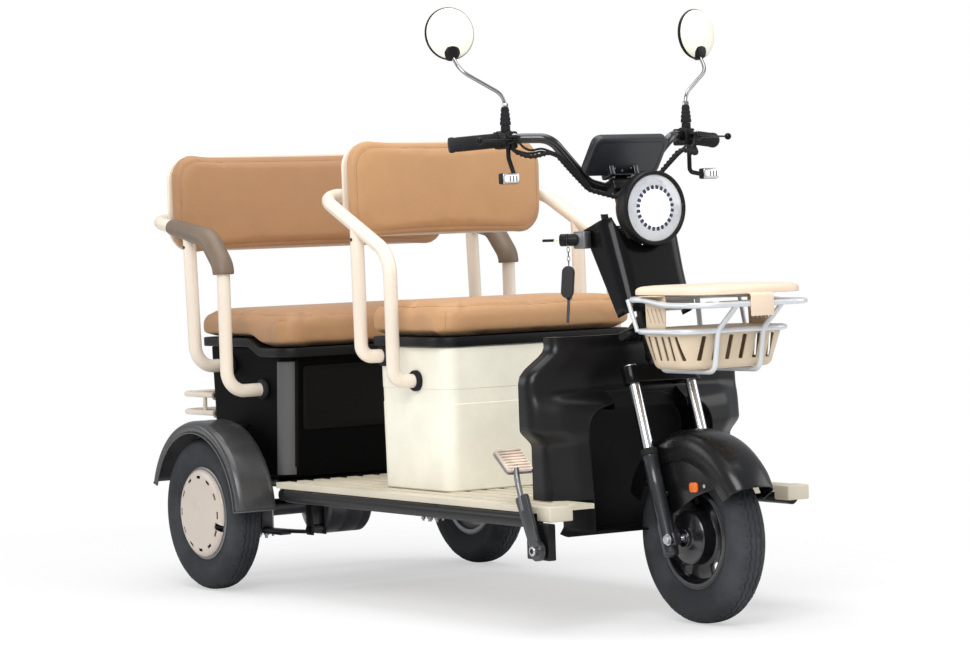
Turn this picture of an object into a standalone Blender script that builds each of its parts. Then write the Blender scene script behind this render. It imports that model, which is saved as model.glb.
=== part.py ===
"""Electric passenger tricycle: one raked front wheel, two driven rear wheels, two seat benches.

Vehicle axes: +X forward, +Y to the rider's left, +Z up, metres. Every size is written from the
rear axle line, X = 0, and from the ground, Z = 0. The finished vehicle is then moved along X so
that its own origin lies on the ground under the middle of its length.
"""
import math

import bmesh
import bpy
from mathutils import Matrix, Vector

# Fits
GAP = 0.0003
RUNNING_GAP = 0.0005
ARC_STEP = math.radians(36.0)
SIDES = {"right": -1, "left": 1}

# Wheels
WHEEL_RADIUS = 0.187
WHEEL_SIDES = 20
TYRE_HALF_WIDTH = 0.0385
TREAD_HALF_WIDTH = 0.015
RIM_RADIUS = 0.104
RIM_HALF_WIDTH = 0.0262
FLANGE_RADIUS = 0.1142
WHEELBASE = 1.475
REAR_BOX_HALF = 0.305
WHEEL_STANDOFF = 0.081
REAR_TRACK = 2 * (REAR_BOX_HALF + WHEEL_STANDOFF)
CAP_RADIUS = 0.108
CAP_SLOTS = 12
STUB_RADIUS = 0.0095
FRONT_AXLE_RADIUS = 0.006

# Steering and fork
RAKE = math.radians(18.0)
AXLE_LEAD = 0.022
FORK_HALF_SPACING = 0.076
STANCHION_RADIUS = 0.0125
SLIDER_RADIUS = 0.0170
CROWN_BOTTOM = 0.352
CROWN_TOP = 0.392
HEAD_BOTTOM = 0.405
HEAD_TOP = 0.690
STEERER_RADIUS = 0.0145
NUT_RADIUS = 0.021
HEAD_TUBE_RADIUS = 0.022
STEM_TOP = 0.790
CLAMP_HEIGHT = 0.030
BAR_RADIUS = 0.011

# Grip ends of the handlebar, left side
GRIP_RADIUS = 0.016
GRIP_INNER = Vector((1.1335, 0.2320, 1.0568))
GRIP_OUTER = Vector((1.081, 0.362, 1.047))

# Switch housings: places are given from the housing's middle on the bar
HOUSING_SHARE = 0.11
LEVER_PIVOT = Vector((0.038, 0.0, -0.001))
MIRROR_FOOT = Vector((0.004, 0.0, 0.051))
MIRROR_STEM = 0.004
BUTTON_FACE = -0.0260
HORN_RADIUS = 0.0055
HORN_Y = -0.0115
HORN_BASE = Vector((BUTTON_FACE + 0.0020, HORN_Y, 0.0))
SWITCH_BASE = Vector((BUTTON_FACE - GAP, 0.0015, 0.0))

# Leaf springs
REAR_EYE_X = -0.250
FRONT_EYE_X = 0.262
EYE_HEIGHT = 0.152
EYE_PIN_RADIUS = 0.004
HANGER_GAP = 0.0150
HANGER_WALL = 0.005
LEAF_TOP = 0.1400
LEAF_THICKNESS = 0.007
LEAF_HALF_WIDTH = 0.0145

# Brake pedal
PEDAL_PIVOT = Vector((1.386, -0.3705, 0.180))
PEDAL_PIN_RADIUS = 0.005

# Floor and frame
FLOOR_TOP = 0.270
FLOOR_BOTTOM = 0.256
FLOOR_RIB_HEIGHT = 0.004
FLOOR_HALF_WIDTH = 0.350
FLOOR_REAR = 0.250
FLOOR_CENTRE_FRONT = 1.176
FLOOR_TAB_FRONT = 1.357
FLOOR_TAB_INNER = 0.200
RIB_PITCH = 0.046
RAIL_RADIUS = 0.016
RAIL_HEIGHT = FLOOR_BOTTOM - RAIL_RADIUS - GAP
RAIL_SIDE = 0.345
REAR_RAIL_SIDE = 0.250
CROSS_RADIUS = 0.013
BACKBONE_X = 1.140
DOWN_TUBE_X = 1.235
DOWN_TUBE_SIDE = 0.228
DOWN_TUBE_RADIUS = 0.012
SPINE_RADIUS = 0.019

# Rear seat box and bench
REAR_BOX_BOTTOM = 0.276
REAR_BOX_TOP = 0.5885
REAR_BOX_BACK = -0.130
REAR_BOX_FRONT = 0.214
REAR_BOX_FLARE = 0.019
BOX_WALL = 0.005
REAR_SEAT_BACK = -0.170
REAR_SEAT_FRONT = 0.262
REAR_SEAT_HALF = REAR_BOX_HALF + 0.017
REAR_SEAT_TOP = 0.680
REAR_STEP_HIGH = 0.590
REAR_STEP_LOW = 0.567
REAR_STEP_START = 0.075
REAR_STEP_END = 0.150
SEAT_TRIM = 0.022
SEAT_CORNER = 0.045

# Front seat box and bench
FRONT_BOX_TOP = 0.5975
FRONT_BOX_HALF = 0.255
FRONT_BOX_BACK = 0.580
FRONT_BOX_FRONT = 0.872
FRONT_BOX_FLARE = 0.008
BAND_LOW = 0.469
BAND_HIGH = 0.501
FRONT_SEAT_BACK = 0.550
FRONT_SEAT_FRONT = 0.886
FRONT_SEAT_HALF = 0.267
FRONT_SEAT_TOP = 0.700

# Seat rails and backrests
RAIL_TUBE = 0.0160
FRONT_ARM_SIDE = 0.311
REAR_ARM_SIDE = REAR_BOX_HALF + 0.108
COLLAR_RADIUS = 0.021
FRONT_BACK_X = 0.465
FRONT_BACK_HALF = 0.270
FRONT_BACK_LOW = 0.850
FRONT_BACK_HIGH = 1.075
REAR_BACK_X = -0.165
REAR_BACK_HALF = REAR_ARM_SIDE - 0.0165
REAR_BACK_LOW = 0.825
REAR_BACK_HIGH = 1.064
BACK_THICKNESS = 0.055
BACK_PLATE = 0.004

# Leg shield, front panel and lamp
SHIELD_TOP = 0.622
SHIELD_HALF = 0.285
SHIELD_WALL = 0.004
SHIELD_LEDGE = 0.498
UPPER_NOSE = 1.264
WELL_BACK = 1.185
WELL_HALF = 0.165
WELL_SHOULDER = 0.455
WELL_TOP = 0.490
WELL_CORNER = 0.050
WELL_BOTTOM = 0.200
PANEL_AHEAD = 0.065
PANEL_WALL = 0.003
PANEL_LOW = 0.500
PANEL_HIGH = 0.716
LAMP_HEIGHT = 0.896
LAMP_RADIUS = 0.082
LAMP_STANDOFF = 0.0406
LAMP_DEPTH = 0.081
LENS_RADIUS = 0.072
LOCK_LENGTH = 0.046

# Basket
BASKET_TUBE = 0.006
BASKET_BACK = 1.409
BASKET_FRONT = 1.700
BASKET_HALF = 0.150
BASKET_TOP = 0.702
BASKET_DIP = 0.012
BASKET_RAIL = 0.634
TUB_BACK = 1.439
TUB_FRONT = 1.623
TUB_HALF = 0.140
TUB_TOP = 0.640
TUB_BOTTOM = 0.553
TUB_TAPER = 0.022
TUB_WALL = 0.003
TONGUE_THICKNESS = 0.003
LID_BASE = BASKET_TOP + BASKET_TUBE + GAP + 0.0025

# Rear rack and mudguards
RACK_REAR = -0.320
RACK_HALF = 0.290
RACK_TUBE = 0.007
RACK_LEVELS = (0.420, 0.465)
MUDGUARD_RADIUS = 0.228
MUDGUARD_WALL = 0.0025

# Place of the vehicle's own origin, under the middle of its length
REACH_REAR = RACK_REAR - RACK_TUBE
REACH_FRONT = BASKET_FRONT + BASKET_TUBE + GAP + TONGUE_THICKNESS
CENTRE_X = (REACH_REAR + REACH_FRONT) / 2

FORWARD = Vector((math.cos(RAKE), 0.0, math.sin(RAKE)))
UP = Vector((-math.sin(RAKE), 0.0, math.cos(RAKE)))
ACROSS = Vector((0.0, 1.0, 0.0))
FRONT_AXLE = Vector((WHEELBASE, 0.0, WHEEL_RADIUS))
STEER_FOOT = FRONT_AXLE - FORWARD * AXLE_LEAD
LAMP_BACK = round(STEER_FOOT.x - (LAMP_HEIGHT - STEER_FOOT.z) * math.tan(RAKE) + LAMP_STANDOFF, 4)
LAMP_FRONT = LAMP_BACK + LAMP_DEPTH

COLOURS = {
    "black_paint": ((0.012, 0.012, 0.013, 1), 0.25, 0.0),
    "black_plastic": ((0.020, 0.020, 0.022, 1), 0.45, 0.0),
    "black_rubber": ((0.018, 0.018, 0.018, 1), 0.75, 0.0),
    "cream_plastic": ((0.78, 0.75, 0.60, 1), 0.35, 0.0),
    "cream_paint": ((0.80, 0.70, 0.57, 1), 0.35, 0.0),
    "tan_leather": ((0.47, 0.25, 0.11, 1), 0.55, 0.0),
    "brown_plastic": ((0.16, 0.12, 0.09, 1), 0.5, 0.0),
    "beige_plastic": ((0.72, 0.58, 0.40, 1), 0.45, 0.0),
    "peach_plastic": ((0.86, 0.70, 0.55, 1), 0.4, 0.0),
    "silver_paint": ((0.60, 0.62, 0.64, 1), 0.3, 0.9),
    "chrome": ((0.75, 0.75, 0.76, 1), 0.12, 1.0),
    "dark_metal": ((0.05, 0.05, 0.055, 1), 0.4, 0.8),
    "grey_metal": ((0.16, 0.16, 0.17, 1), 0.4, 0.8),
    "lamp_white": ((0.85, 0.88, 0.95, 1), 0.1, 0.0),
    "battery_blue": ((0.05, 0.12, 0.30, 1), 0.5, 0.0),
}


def clear_scene():
    for scene_object in list(bpy.data.objects):
        bpy.data.objects.remove(scene_object, do_unlink=True)


def on_steer(along, side=0.0, ahead=0.0):
    """Point given along the raked steering axis, sideways from it and ahead of it."""
    return STEER_FOOT + UP * along + ACROSS * side + FORWARD * ahead


def steer_frame(along=0.0, side=0.0, ahead=0.0):
    """Matrix whose local X points ahead, Y across and Z up the steering axis."""
    frame = Matrix.Identity(4)
    for column, direction in enumerate((FORWARD, ACROSS, UP)):
        for row in range(3):
            frame[row][column] = direction[row]
    frame.translation = on_steer(along, side, ahead)
    return frame


def flats(radius, sides):
    """Corner radius of a polygon whose flats lie at the given radius."""
    return radius / math.cos(math.pi / sides)


def moved(shape, matrix):
    bmesh.ops.transform(shape, matrix=matrix, verts=shape.verts)
    return shape


def tidy(shape):
    bmesh.ops.remove_doubles(shape, verts=shape.verts, dist=1e-6)
    bmesh.ops.dissolve_degenerate(shape, edges=shape.edges, dist=1e-6)
    bmesh.ops.recalc_face_normals(shape, faces=shape.faces)
    return shape


def block(low, high, bevel=0.0, segments=2, along=None):
    """Box between two corners, with all edges rounded or only those along one axis."""
    low = Vector(low)
    high = Vector(high)
    shape = bmesh.new()
    bmesh.ops.create_cube(shape, size=1.0)
    bmesh.ops.scale(shape, vec=high - low, verts=shape.verts)
    bmesh.ops.translate(shape, vec=(low + high) / 2, verts=shape.verts)
    if bevel:
        round_edges(shape, bevel, segments, along)
    return shape


def round_edges(shape, bevel, segments=2, along=None):
    chosen = []
    for edge in shape.edges:
        direction = (edge.verts[1].co - edge.verts[0].co).normalized()
        if along is None or abs(direction[along]) > 0.95:
            chosen.append(edge)
    bmesh.ops.bevel(
        shape, geom=chosen, offset=bevel, segments=segments, affect="EDGES", profile=0.5, material=-1)
    return shape


def prism(outline, axis, low, high):
    """Closed outline in the plane across an axis, extruded from low to high along it."""
    shape = bmesh.new()
    corners = []
    for first, second in outline:
        place = [first, second]
        place.insert(axis, low)
        corners.append(shape.verts.new(place))
    face = shape.faces.new(corners)
    extruded = bmesh.ops.extrude_face_region(shape, geom=[face])
    raised = [item for item in extruded["geom"] if isinstance(item, bmesh.types.BMVert)]
    shift = Vector((0.0, 0.0, 0.0))
    shift[axis] = high - low
    bmesh.ops.translate(shape, vec=shift, verts=raised)
    return tidy(shape)


def loft(rings):
    """Closed solid through rings of equally many points, with flat ends."""
    shape = bmesh.new()
    loops = [[shape.verts.new(point) for point in ring] for ring in rings]
    count = len(loops[0])
    for lower, upper in zip(loops, loops[1:]):
        for index in range(count):
            after = (index + 1) % count
            shape.faces.new((lower[index], lower[after], upper[after], upper[index]))
    shape.faces.new(list(reversed(loops[0])))
    shape.faces.new(loops[-1])
    return tidy(shape)


def turned(profile, sides, centre, axis, closed=False, phase=0.0):
    """Solid turned from (radius, distance along the axis) points."""
    shape = bmesh.new()
    points = [shape.verts.new((radius, 0.0, along)) for radius, along in profile]
    pairs = list(zip(points, points[1:]))
    if closed:
        pairs.append((points[-1], points[0]))
    edges = [shape.edges.new(pair) for pair in pairs]
    bmesh.ops.spin(
        shape, geom=points + edges, cent=(0, 0, 0), axis=(0, 0, 1), angle=2 * math.pi,
        steps=sides, use_merge=True)
    direction = Vector(axis).normalized()
    reference = Vector((1, 0, 0)) if abs(direction.x) < 0.8 else Vector((0, 0, 1))
    second = direction.cross(reference).normalized()
    first = second.cross(direction)
    frame = Matrix.Identity(4)
    for column, vector in enumerate((first, second, direction)):
        for row in range(3):
            frame[row][column] = vector[row]
    frame.translation = Vector(centre)
    moved(shape, frame @ Matrix.Rotation(phase, 4, "Z"))
    return tidy(shape)


def rod(start, end, radius, sides=12, end_radius=None):
    """Round bar between two points, tapered where an end radius is given."""
    start = Vector(start)
    end = Vector(end)
    length = (end - start).length
    far = radius if end_radius is None else end_radius
    return turned([(0, 0), (radius, 0), (far, length), (0, length)], sides, start, end - start)


def fillet(points, radius, closed=False):
    """Polyline whose corners are arcs. A radius may be given for each point; 0 keeps a corner."""
    corners = [Vector(point) for point in points]
    count = len(corners)
    result = []
    for index, corner in enumerate(corners):
        wanted = radius[index] if isinstance(radius, (list, tuple)) else radius
        is_end = not closed and index in (0, count - 1)
        if is_end or wanted == 0:
            result.append(corner)
            continue
        before = corners[index - 1] - corner
        after = corners[(index + 1) % count] - corner
        angle = before.angle(after)
        reach = min(wanted / math.tan(angle / 2), 0.49 * before.length, 0.49 * after.length)
        real = reach * math.tan(angle / 2)
        middle = corner + (before.normalized() + after.normalized()).normalized() * (
            real / math.sin(angle / 2))
        start = (corner + before.normalized() * reach - middle).normalized()
        end = (corner + after.normalized() * reach - middle).normalized()
        steps = max(1, round((math.pi - angle) / ARC_STEP))
        result.extend(middle + start.slerp(end, step / steps) * real for step in range(steps + 1))
    return result


def tube(points, radius, resolution=2, cyclic=False, radii=None):
    """Round tube along a route, made from a bevelled curve."""
    curve = bpy.data.curves.new("route", "CURVE")
    curve.dimensions = "3D"
    curve.bevel_depth = radius
    curve.bevel_resolution = resolution
    curve.use_fill_caps = not cyclic
    spline = curve.splines.new("POLY")
    spline.points.add(len(points) - 1)
    for index, point in enumerate(points):
        spline.points[index].co = (*point, 1.0)
        if radii:
            spline.points[index].radius = radii[index]
    spline.use_cyclic_u = cyclic
    holder = bpy.data.objects.new("route", curve)
    bpy.context.scene.collection.objects.link(holder)
    shape = evaluated(holder)
    bpy.data.objects.remove(holder, do_unlink=True)
    return tidy(shape)


def evaluated(holder):
    graph = bpy.context.evaluated_depsgraph_get()
    graph.update()
    shape = bmesh.new()
    mesh = holder.evaluated_get(graph).to_mesh()
    shape.from_mesh(mesh)
    return shape


def holder_of(shape):
    mesh = bpy.data.meshes.new("shape")
    shape.to_mesh(mesh)
    holder = bpy.data.objects.new("shape", mesh)
    bpy.context.scene.collection.objects.link(holder)
    return holder


def combine(base, others, operation):
    holder = holder_of(base)
    tools = [holder_of(other) for other in others]
    for tool in tools:
        step = holder.modifiers.new("step", "BOOLEAN")
        step.operation = operation
        step.solver = "EXACT"
        step.object = tool
    shape = evaluated(holder)
    for used in [holder] + tools:
        bpy.data.objects.remove(used, do_unlink=True)
    return tidy(shape)


def fused(base, *others):
    return combine(base, others, "UNION")


def cut(base, *others):
    return combine(base, others, "DIFFERENCE")


def rounded_rectangle(low, high, radius):
    """Outline of a rectangle with round corners, two corners given."""
    corners = [(low[0], low[1]), (high[0], low[1]), (high[0], high[1]), (low[0], high[1])]
    return [tuple(point) for point in fillet(corners, radius, closed=True)]


class Vehicle:
    """Bodies as empties on their joint axes, and the pieces that ride on them."""

    def __init__(self):
        self.anchors = {}
        self.empties = {}
        self.materials = {}

    def body(self, name, anchor, parent=None):
        empty = bpy.data.objects.new(name + "_body", None)
        bpy.context.scene.collection.objects.link(empty)
        anchor = Vector(anchor)
        if parent:
            empty.parent = self.empties[parent]
            empty.location = anchor - self.anchors[parent]
        else:
            empty.location = anchor - Vector((CENTRE_X, 0, 0))
        self.anchors[name] = anchor
        self.empties[name] = empty

    def material(self, finish):
        if finish not in self.materials:
            colour, roughness, metallic = COLOURS[finish]
            material = bpy.data.materials.new(finish)
            material.use_nodes = True
            shader = material.node_tree.nodes["Principled BSDF"]
            shader.inputs["Base Color"].default_value = colour
            shader.inputs["Roughness"].default_value = roughness
            shader.inputs["Metallic"].default_value = metallic
            self.materials[finish] = material
        return self.materials[finish]

    def piece(self, name, shape, finish, body, sharp=35.0):
        mesh = bpy.data.meshes.new(name)
        bmesh.ops.translate(shape, vec=-self.anchors[body], verts=shape.verts)
        shape.to_mesh(mesh)
        shape.free()
        mesh.shade_smooth()
        mesh.set_sharp_from_angle(angle=math.radians(sharp))
        mesh.materials.append(self.material(finish))
        piece = bpy.data.objects.new(name, mesh)
        piece.parent = self.empties[body]
        bpy.context.scene.collection.objects.link(piece)


# Wheels

def wheel_part(profile, centre, outward, closed=False):
    """Turned wheel part whose flats, one at the bottom, lie at the profile's radii."""
    corner = [(flats(radius, WHEEL_SIDES), along) for radius, along in profile]
    return turned(corner, WHEEL_SIDES, centre, (0, outward, 0), closed, math.pi / WHEEL_SIDES)


def tyre(centre):
    """Tyre with a flat tread band, round shoulders and beads inside the rim flanges."""
    seat = RIM_HALF_WIDTH - GAP
    half = [
        (WHEEL_RADIUS, TREAD_HALF_WIDTH), (0.181, 0.0290), (0.155, TYRE_HALF_WIDTH),
        (FLANGE_RADIUS + GAP, seat), (RIM_RADIUS + GAP, seat)]
    outline = half + [(radius, -along) for radius, along in reversed(half)]
    return wheel_part(outline, centre, 1, closed=True)


def rim_edge(side):
    """Barrel edge from inside to outside on one side of the rim."""
    points = [(RIM_RADIUS - 0.0035, 0.0285), (FLANGE_RADIUS, 0.0280), (RIM_RADIUS, RIM_HALF_WIDTH)]
    return [(radius, side * along) for radius, along in points]


def rear_rim(centre, outward):
    """Pressed rim, disc, brake drum and the stub that turns in the axle housing."""
    outline = [
        (0, -0.072), (STUB_RADIUS, -0.072), (STUB_RADIUS, -0.046), (0.060, -0.046),
        (0.060, -0.008), (RIM_RADIUS - 0.0035, -0.008)]
    outline += rim_edge(-1) + list(reversed(rim_edge(1)))
    outline += [(RIM_RADIUS - 0.0035, -0.002), (0, 0.006)]
    return wheel_part(outline, centre, outward)


def front_rim(centre):
    """Cast rim with five windows, hub bored for the axle and a drum on its right side."""
    bore = FRONT_AXLE_RADIUS + RUNNING_GAP
    outline = [
        (bore, -0.054), (0.020, -0.052), (0.056, -0.042), (0.058, -0.006), (RIM_RADIUS - 0.0035, -0.006)]
    outline += rim_edge(-1) + list(reversed(rim_edge(1)))
    outline += [(RIM_RADIUS - 0.0035, 0.006), (0.024, 0.006), (bore, 0.054)]
    shape = wheel_part(outline, centre, 1, closed=True)
    windows = []
    for index in range(5):
        hole = prism([(0.066, -0.012), (0.094, -0.022), (0.094, 0.022), (0.066, 0.012)], 2, -0.03, 0.03)
        turn = Matrix.Rotation(index * 2 * math.pi / 5, 4, "Y") @ Matrix.Rotation(math.pi / 2, 4, "X")
        windows.append(moved(hole, Matrix.Translation(centre) @ turn))
    return cut(shape, *windows)


def wheel_cap(centre, outward):
    """Domed cover shell with a ring of slots and a notch for the valve."""
    base = RIM_HALF_WIDTH + 0.0026
    outside = [(0, base), (CAP_RADIUS, base), (CAP_RADIUS, 0.034), (0.096, 0.0400), (0, 0.0445)]
    inside = [(0, base - 0.01), (CAP_RADIUS - 0.003, base - 0.01), (CAP_RADIUS - 0.003, 0.0325),
              (0, 0.0420)]
    shape = turned(outside, 2 * CAP_SLOTS, centre, (0, outward, 0), phase=math.pi / (2 * CAP_SLOTS))
    hollow = turned(inside, 2 * CAP_SLOTS, centre, (0, outward, 0), phase=math.pi / (2 * CAP_SLOTS))
    slots = []
    for index in range(CAP_SLOTS):
        slot = block((0.086, -0.007, 0.020), (0.092, 0.007, 0.060))
        turn = Matrix.Rotation(index * 2 * math.pi / CAP_SLOTS, 4, "Y")
        turn = turn @ Matrix.Rotation(-outward * math.pi / 2, 4, "X")
        slots.append(moved(slot, Matrix.Translation(centre) @ turn))
    return cut(shape, hollow, *slots)


def build_wheels(vehicle):
    vehicle.piece("front_tyre", tyre(FRONT_AXLE), "black_rubber", "front_wheel")
    vehicle.piece("front_rim", front_rim(FRONT_AXLE), "dark_metal", "front_wheel")
    for side, outward in SIDES.items():
        centre = Vector((0, outward * REAR_TRACK / 2, WHEEL_RADIUS))
        body = "rear_wheel_" + side
        vehicle.piece("rear_tyre_" + side, tyre(centre), "black_rubber", body)
        vehicle.piece("rear_rim_" + side, rear_rim(centre, outward), "grey_metal", body)
        vehicle.piece("rear_wheel_cap_" + side, wheel_cap(centre, outward), "cream_paint", body)


# Frame, floor and rear axle

def head_tube():
    return rod(on_steer(HEAD_BOTTOM), on_steer(HEAD_TOP), HEAD_TUBE_RADIUS, 12)


def spring_hanger(x, side, height):
    """Two cheeks and the pin that carries one eye of a leaf spring."""
    outer = HANGER_GAP + HANGER_WALL
    middle = side * REAR_RAIL_SIDE
    cheeks = []
    for low in (middle - outer, middle + HANGER_GAP):
        cheeks.append(block((x - 0.0145, low, 0.138), (x + 0.0145, low + HANGER_WALL, height + 0.0023)))
    reach = outer + 0.002
    pin = rod((x, middle - reach, EYE_HEIGHT), (x, middle + reach, EYE_HEIGHT), EYE_PIN_RADIUS, 6)
    return cheeks + [pin]


def between(first, second):
    """The two numbers in rising order."""
    return min(first, second), max(first, second)


def side_rail(side, rear_height):
    """One bent side tube with the blocks that carry the floor, the rear box and the bow."""
    route = fillet([
        (-0.272, side * REAR_RAIL_SIDE, rear_height), (0.110, side * REAR_RAIL_SIDE, rear_height),
        (0.215, side * (RAIL_SIDE - 0.050), RAIL_HEIGHT), (0.300, side * RAIL_SIDE, RAIL_HEIGHT),
        (FLOOR_TAB_FRONT - 0.006, side * RAIL_SIDE, RAIL_HEIGHT)], [0, 0.08, 0.08, 0.05, 0])
    parts = [tube(route, RAIL_RADIUS, 1)]
    inner, outer = between(side * DOWN_TUBE_SIDE, side * RAIL_SIDE)
    parts.append(block((DOWN_TUBE_X - 0.010, inner, RAIL_HEIGHT - 0.009),
                       (DOWN_TUBE_X + 0.010, outer, FLOOR_BOTTOM - GAP)))
    for x in (0.40, 0.95):
        parts.append(block((x - 0.020, side * RAIL_SIDE - 0.008, RAIL_HEIGHT),
                           (x + 0.020, side * RAIL_SIDE + 0.004, FLOOR_BOTTOM - GAP)))
    parts.append(block((-0.030, side * REAR_RAIL_SIDE - 0.008, rear_height),
                       (0.010, side * REAR_RAIL_SIDE + 0.008, REAR_BOX_BOTTOM - GAP)))
    return parts


def ladder_frame():
    """Two bent side tubes, cross tubes, mounting blocks, spring hangers and the pedal bracket."""
    rear_height = REAR_BOX_BOTTOM - RAIL_RADIUS - GAP
    parts = []
    for side in (-1, 1):
        parts += side_rail(side, rear_height)
        parts += spring_hanger(REAR_EYE_X, side, rear_height)
        parts += spring_hanger(FRONT_EYE_X, side, RAIL_HEIGHT)
    rear_cross = [(x, rear_height, REAR_RAIL_SIDE) for x in (REAR_EYE_X, 0.100)]
    floor_cross = [(x, RAIL_HEIGHT, RAIL_SIDE) for x in (FRONT_EYE_X, 0.720, BACKBONE_X)]
    for x, height, half in rear_cross + floor_cross:
        parts.append(rod((x, -half, height), (x, half, height), CROSS_RADIUS, 6))
    parts.append(block((BACKBONE_X - SPINE_RADIUS, -SPINE_RADIUS, RAIL_HEIGHT),
                       (BACKBONE_X + SPINE_RADIUS, SPINE_RADIUS, FLOOR_BOTTOM - GAP)))
    bracket = block((PEDAL_PIVOT.x - 0.061, -RAIL_SIDE - 0.012, 0.158),
                    (PEDAL_PIVOT.x + 0.022, -RAIL_SIDE + 0.008, 0.236))
    pin_start = Vector((PEDAL_PIVOT.x, -RAIL_SIDE, PEDAL_PIVOT.z))
    pin_end = Vector((PEDAL_PIVOT.x, -0.388, PEDAL_PIVOT.z))
    return fused(parts[0], *parts[1:], bracket, rod(pin_start, pin_end, PEDAL_PIN_RADIUS, 8))


def front_frame():
    """Head tube, spine and down tube bow that stand on the ladder frame."""
    base = FLOOR_BOTTOM
    foot = [(DOWN_TUBE_X, -DOWN_TUBE_SIDE, base), (DOWN_TUBE_X, -DOWN_TUBE_SIDE, 0.440),
            (1.222, -0.055, 0.598)]
    bow = foot + [(1.290, 0.0, 0.640)] + [(x, -y, z) for x, y, z in reversed(foot)]
    parts = [tube(fillet(bow, [0, 0.05, 0.05, 0.04, 0.05, 0.05, 0]), DOWN_TUBE_RADIUS, 1)]
    spine = fillet([
        on_steer(HEAD_BOTTOM + 0.10), (BACKBONE_X + 0.025, 0, 0.560),
        (BACKBONE_X, 0, 0.420), (BACKBONE_X, 0, base)], 0.09)
    parts.append(tube(spine, SPINE_RADIUS, 1))
    for along in (0.520, 0.640):
        mount = block((0.015, -0.025, -0.008), (PANEL_AHEAD - PANEL_WALL - GAP, 0.025, 0.008))
        parts.append(moved(mount, steer_frame(along)))
    frame = fused(head_tube(), *parts)
    bore_radius = flats(STEERER_RADIUS, 12) + RUNNING_GAP
    return cut(frame, rod(on_steer(HEAD_BOTTOM - 0.02), on_steer(HEAD_TOP + 0.02), bore_radius, 12))


def floor_board():
    """Ribbed plate cut back for the front wheel, with a block at each front corner."""
    slab_top = FLOOR_TOP - FLOOR_RIB_HEIGHT
    ribs = int(FLOOR_HALF_WIDTH * 2 / RIB_PITCH)
    rib_half = RIB_PITCH * 0.28
    outline = [(-FLOOR_HALF_WIDTH, FLOOR_BOTTOM), (FLOOR_HALF_WIDTH, FLOOR_BOTTOM)]
    for index in range(ribs):
        middle = FLOOR_HALF_WIDTH - (index + 0.5) * (2 * FLOOR_HALF_WIDTH / ribs)
        right = middle + rib_half
        left = middle - rib_half
        if index == 0:
            outline += [(FLOOR_HALF_WIDTH, FLOOR_TOP)]
        else:
            outline += [(right, slab_top), (right, FLOOR_TOP)]
        if index == ribs - 1:
            outline += [(-FLOOR_HALF_WIDTH, FLOOR_TOP)]
        else:
            outline += [(left, FLOOR_TOP), (left, slab_top)]
    plate = prism(outline, 0, FLOOR_REAR, FLOOR_TAB_FRONT)
    corners = []
    for side in (-1, 1):
        inner = side * (FLOOR_HALF_WIDTH - 0.060)
        outer = side * FLOOR_HALF_WIDTH
        corners.append(block(
            (FLOOR_TAB_FRONT - 0.001, min(inner, outer), 0.239),
            (FLOOR_TAB_FRONT + 0.050, max(inner, outer), FLOOR_TOP + 0.0015)))
    plate = fused(plate, *corners)
    wheel_gap = block((FLOOR_CENTRE_FRONT, -FLOOR_TAB_INNER, 0.2), (1.5, FLOOR_TAB_INNER, 0.3))
    holes = [rod((DOWN_TUBE_X, side * DOWN_TUBE_SIDE, 0.2), (DOWN_TUBE_X, side * DOWN_TUBE_SIDE, 0.3),
                 DOWN_TUBE_RADIUS + 0.0025, 8) for side in (-1, 1)]
    holes.append(rod((BACKBONE_X, 0, 0.2), (BACKBONE_X, 0, 0.3), SPINE_RADIUS + 0.0025, 8))
    return cut(plate, wheel_gap, *holes)


def axle_housing():
    """Axle tube with brake plates, bores for the wheel stubs and the drive motor in one."""
    inner = REAR_TRACK / 2 - 0.0495
    bore = STUB_RADIUS + RUNNING_GAP
    half = [(0, inner - 0.034), (bore * 1.03, inner - 0.034), (bore * 1.03, inner), (0.058, inner),
            (0.058, inner - 0.006), (0.020, inner - 0.006)]
    middle = [(0.020, 0.055), (0.060, 0.030), (0.075, 0.022), (0.075, -0.098), (0.060, -0.106),
              (0.020, -0.130)]
    outline = half + middle + [(radius, -along) for radius, along in reversed(half)]
    shape = turned(outline, 12, (0, 0, WHEEL_RADIUS), (0, 1, 0))
    pads = [block((-0.026, side * REAR_RAIL_SIDE - 0.015, LEAF_TOP + GAP),
                  (0.026, side * REAR_RAIL_SIDE + 0.015, WHEEL_RADIUS)) for side in (-1, 1)]
    return fused(shape, *pads)


def leaf_spring(side):
    """Main leaf with an eye at each end, a short leaf below it and the two axle bolts."""
    def height(x):
        reach = FRONT_EYE_X if x > 0 else REAR_EYE_X
        return LEAF_TOP + 0.008 * (x / reach) ** 2
    stations = [-0.243 + 0.498 * step / 6 for step in range(7)]
    upper = [(x, height(x)) for x in stations]
    lower = [(x, height(x) - LEAF_THICKNESS) for x in reversed(stations)]
    y = side * REAR_RAIL_SIDE
    leaf = prism(upper + lower, 1, y - LEAF_HALF_WIDTH, y + LEAF_HALF_WIDTH)
    short = block((-0.120, y - LEAF_HALF_WIDTH, LEAF_TOP - 0.0125),
                  (0.120, y + LEAF_HALF_WIDTH, LEAF_TOP - LEAF_THICKNESS + 0.001))
    parts = [short]
    for x in (-0.018, 0.018):
        parts.append(rod((x, y, LEAF_TOP - 0.012), (x, y, LEAF_TOP - 0.026), 0.007, 6))
    bores = []
    eye_half = LEAF_HALF_WIDTH - 0.0005
    for x in (REAR_EYE_X, FRONT_EYE_X):
        parts.append(rod((x, y - eye_half, EYE_HEIGHT), (x, y + eye_half, EYE_HEIGHT), 0.0105, 8))
        bores.append(rod((x, y - 0.03, EYE_HEIGHT), (x, y + 0.03, EYE_HEIGHT),
                         flats(EYE_PIN_RADIUS, 8) + GAP, 8))
    return cut(fused(leaf, *parts), *bores)


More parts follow.
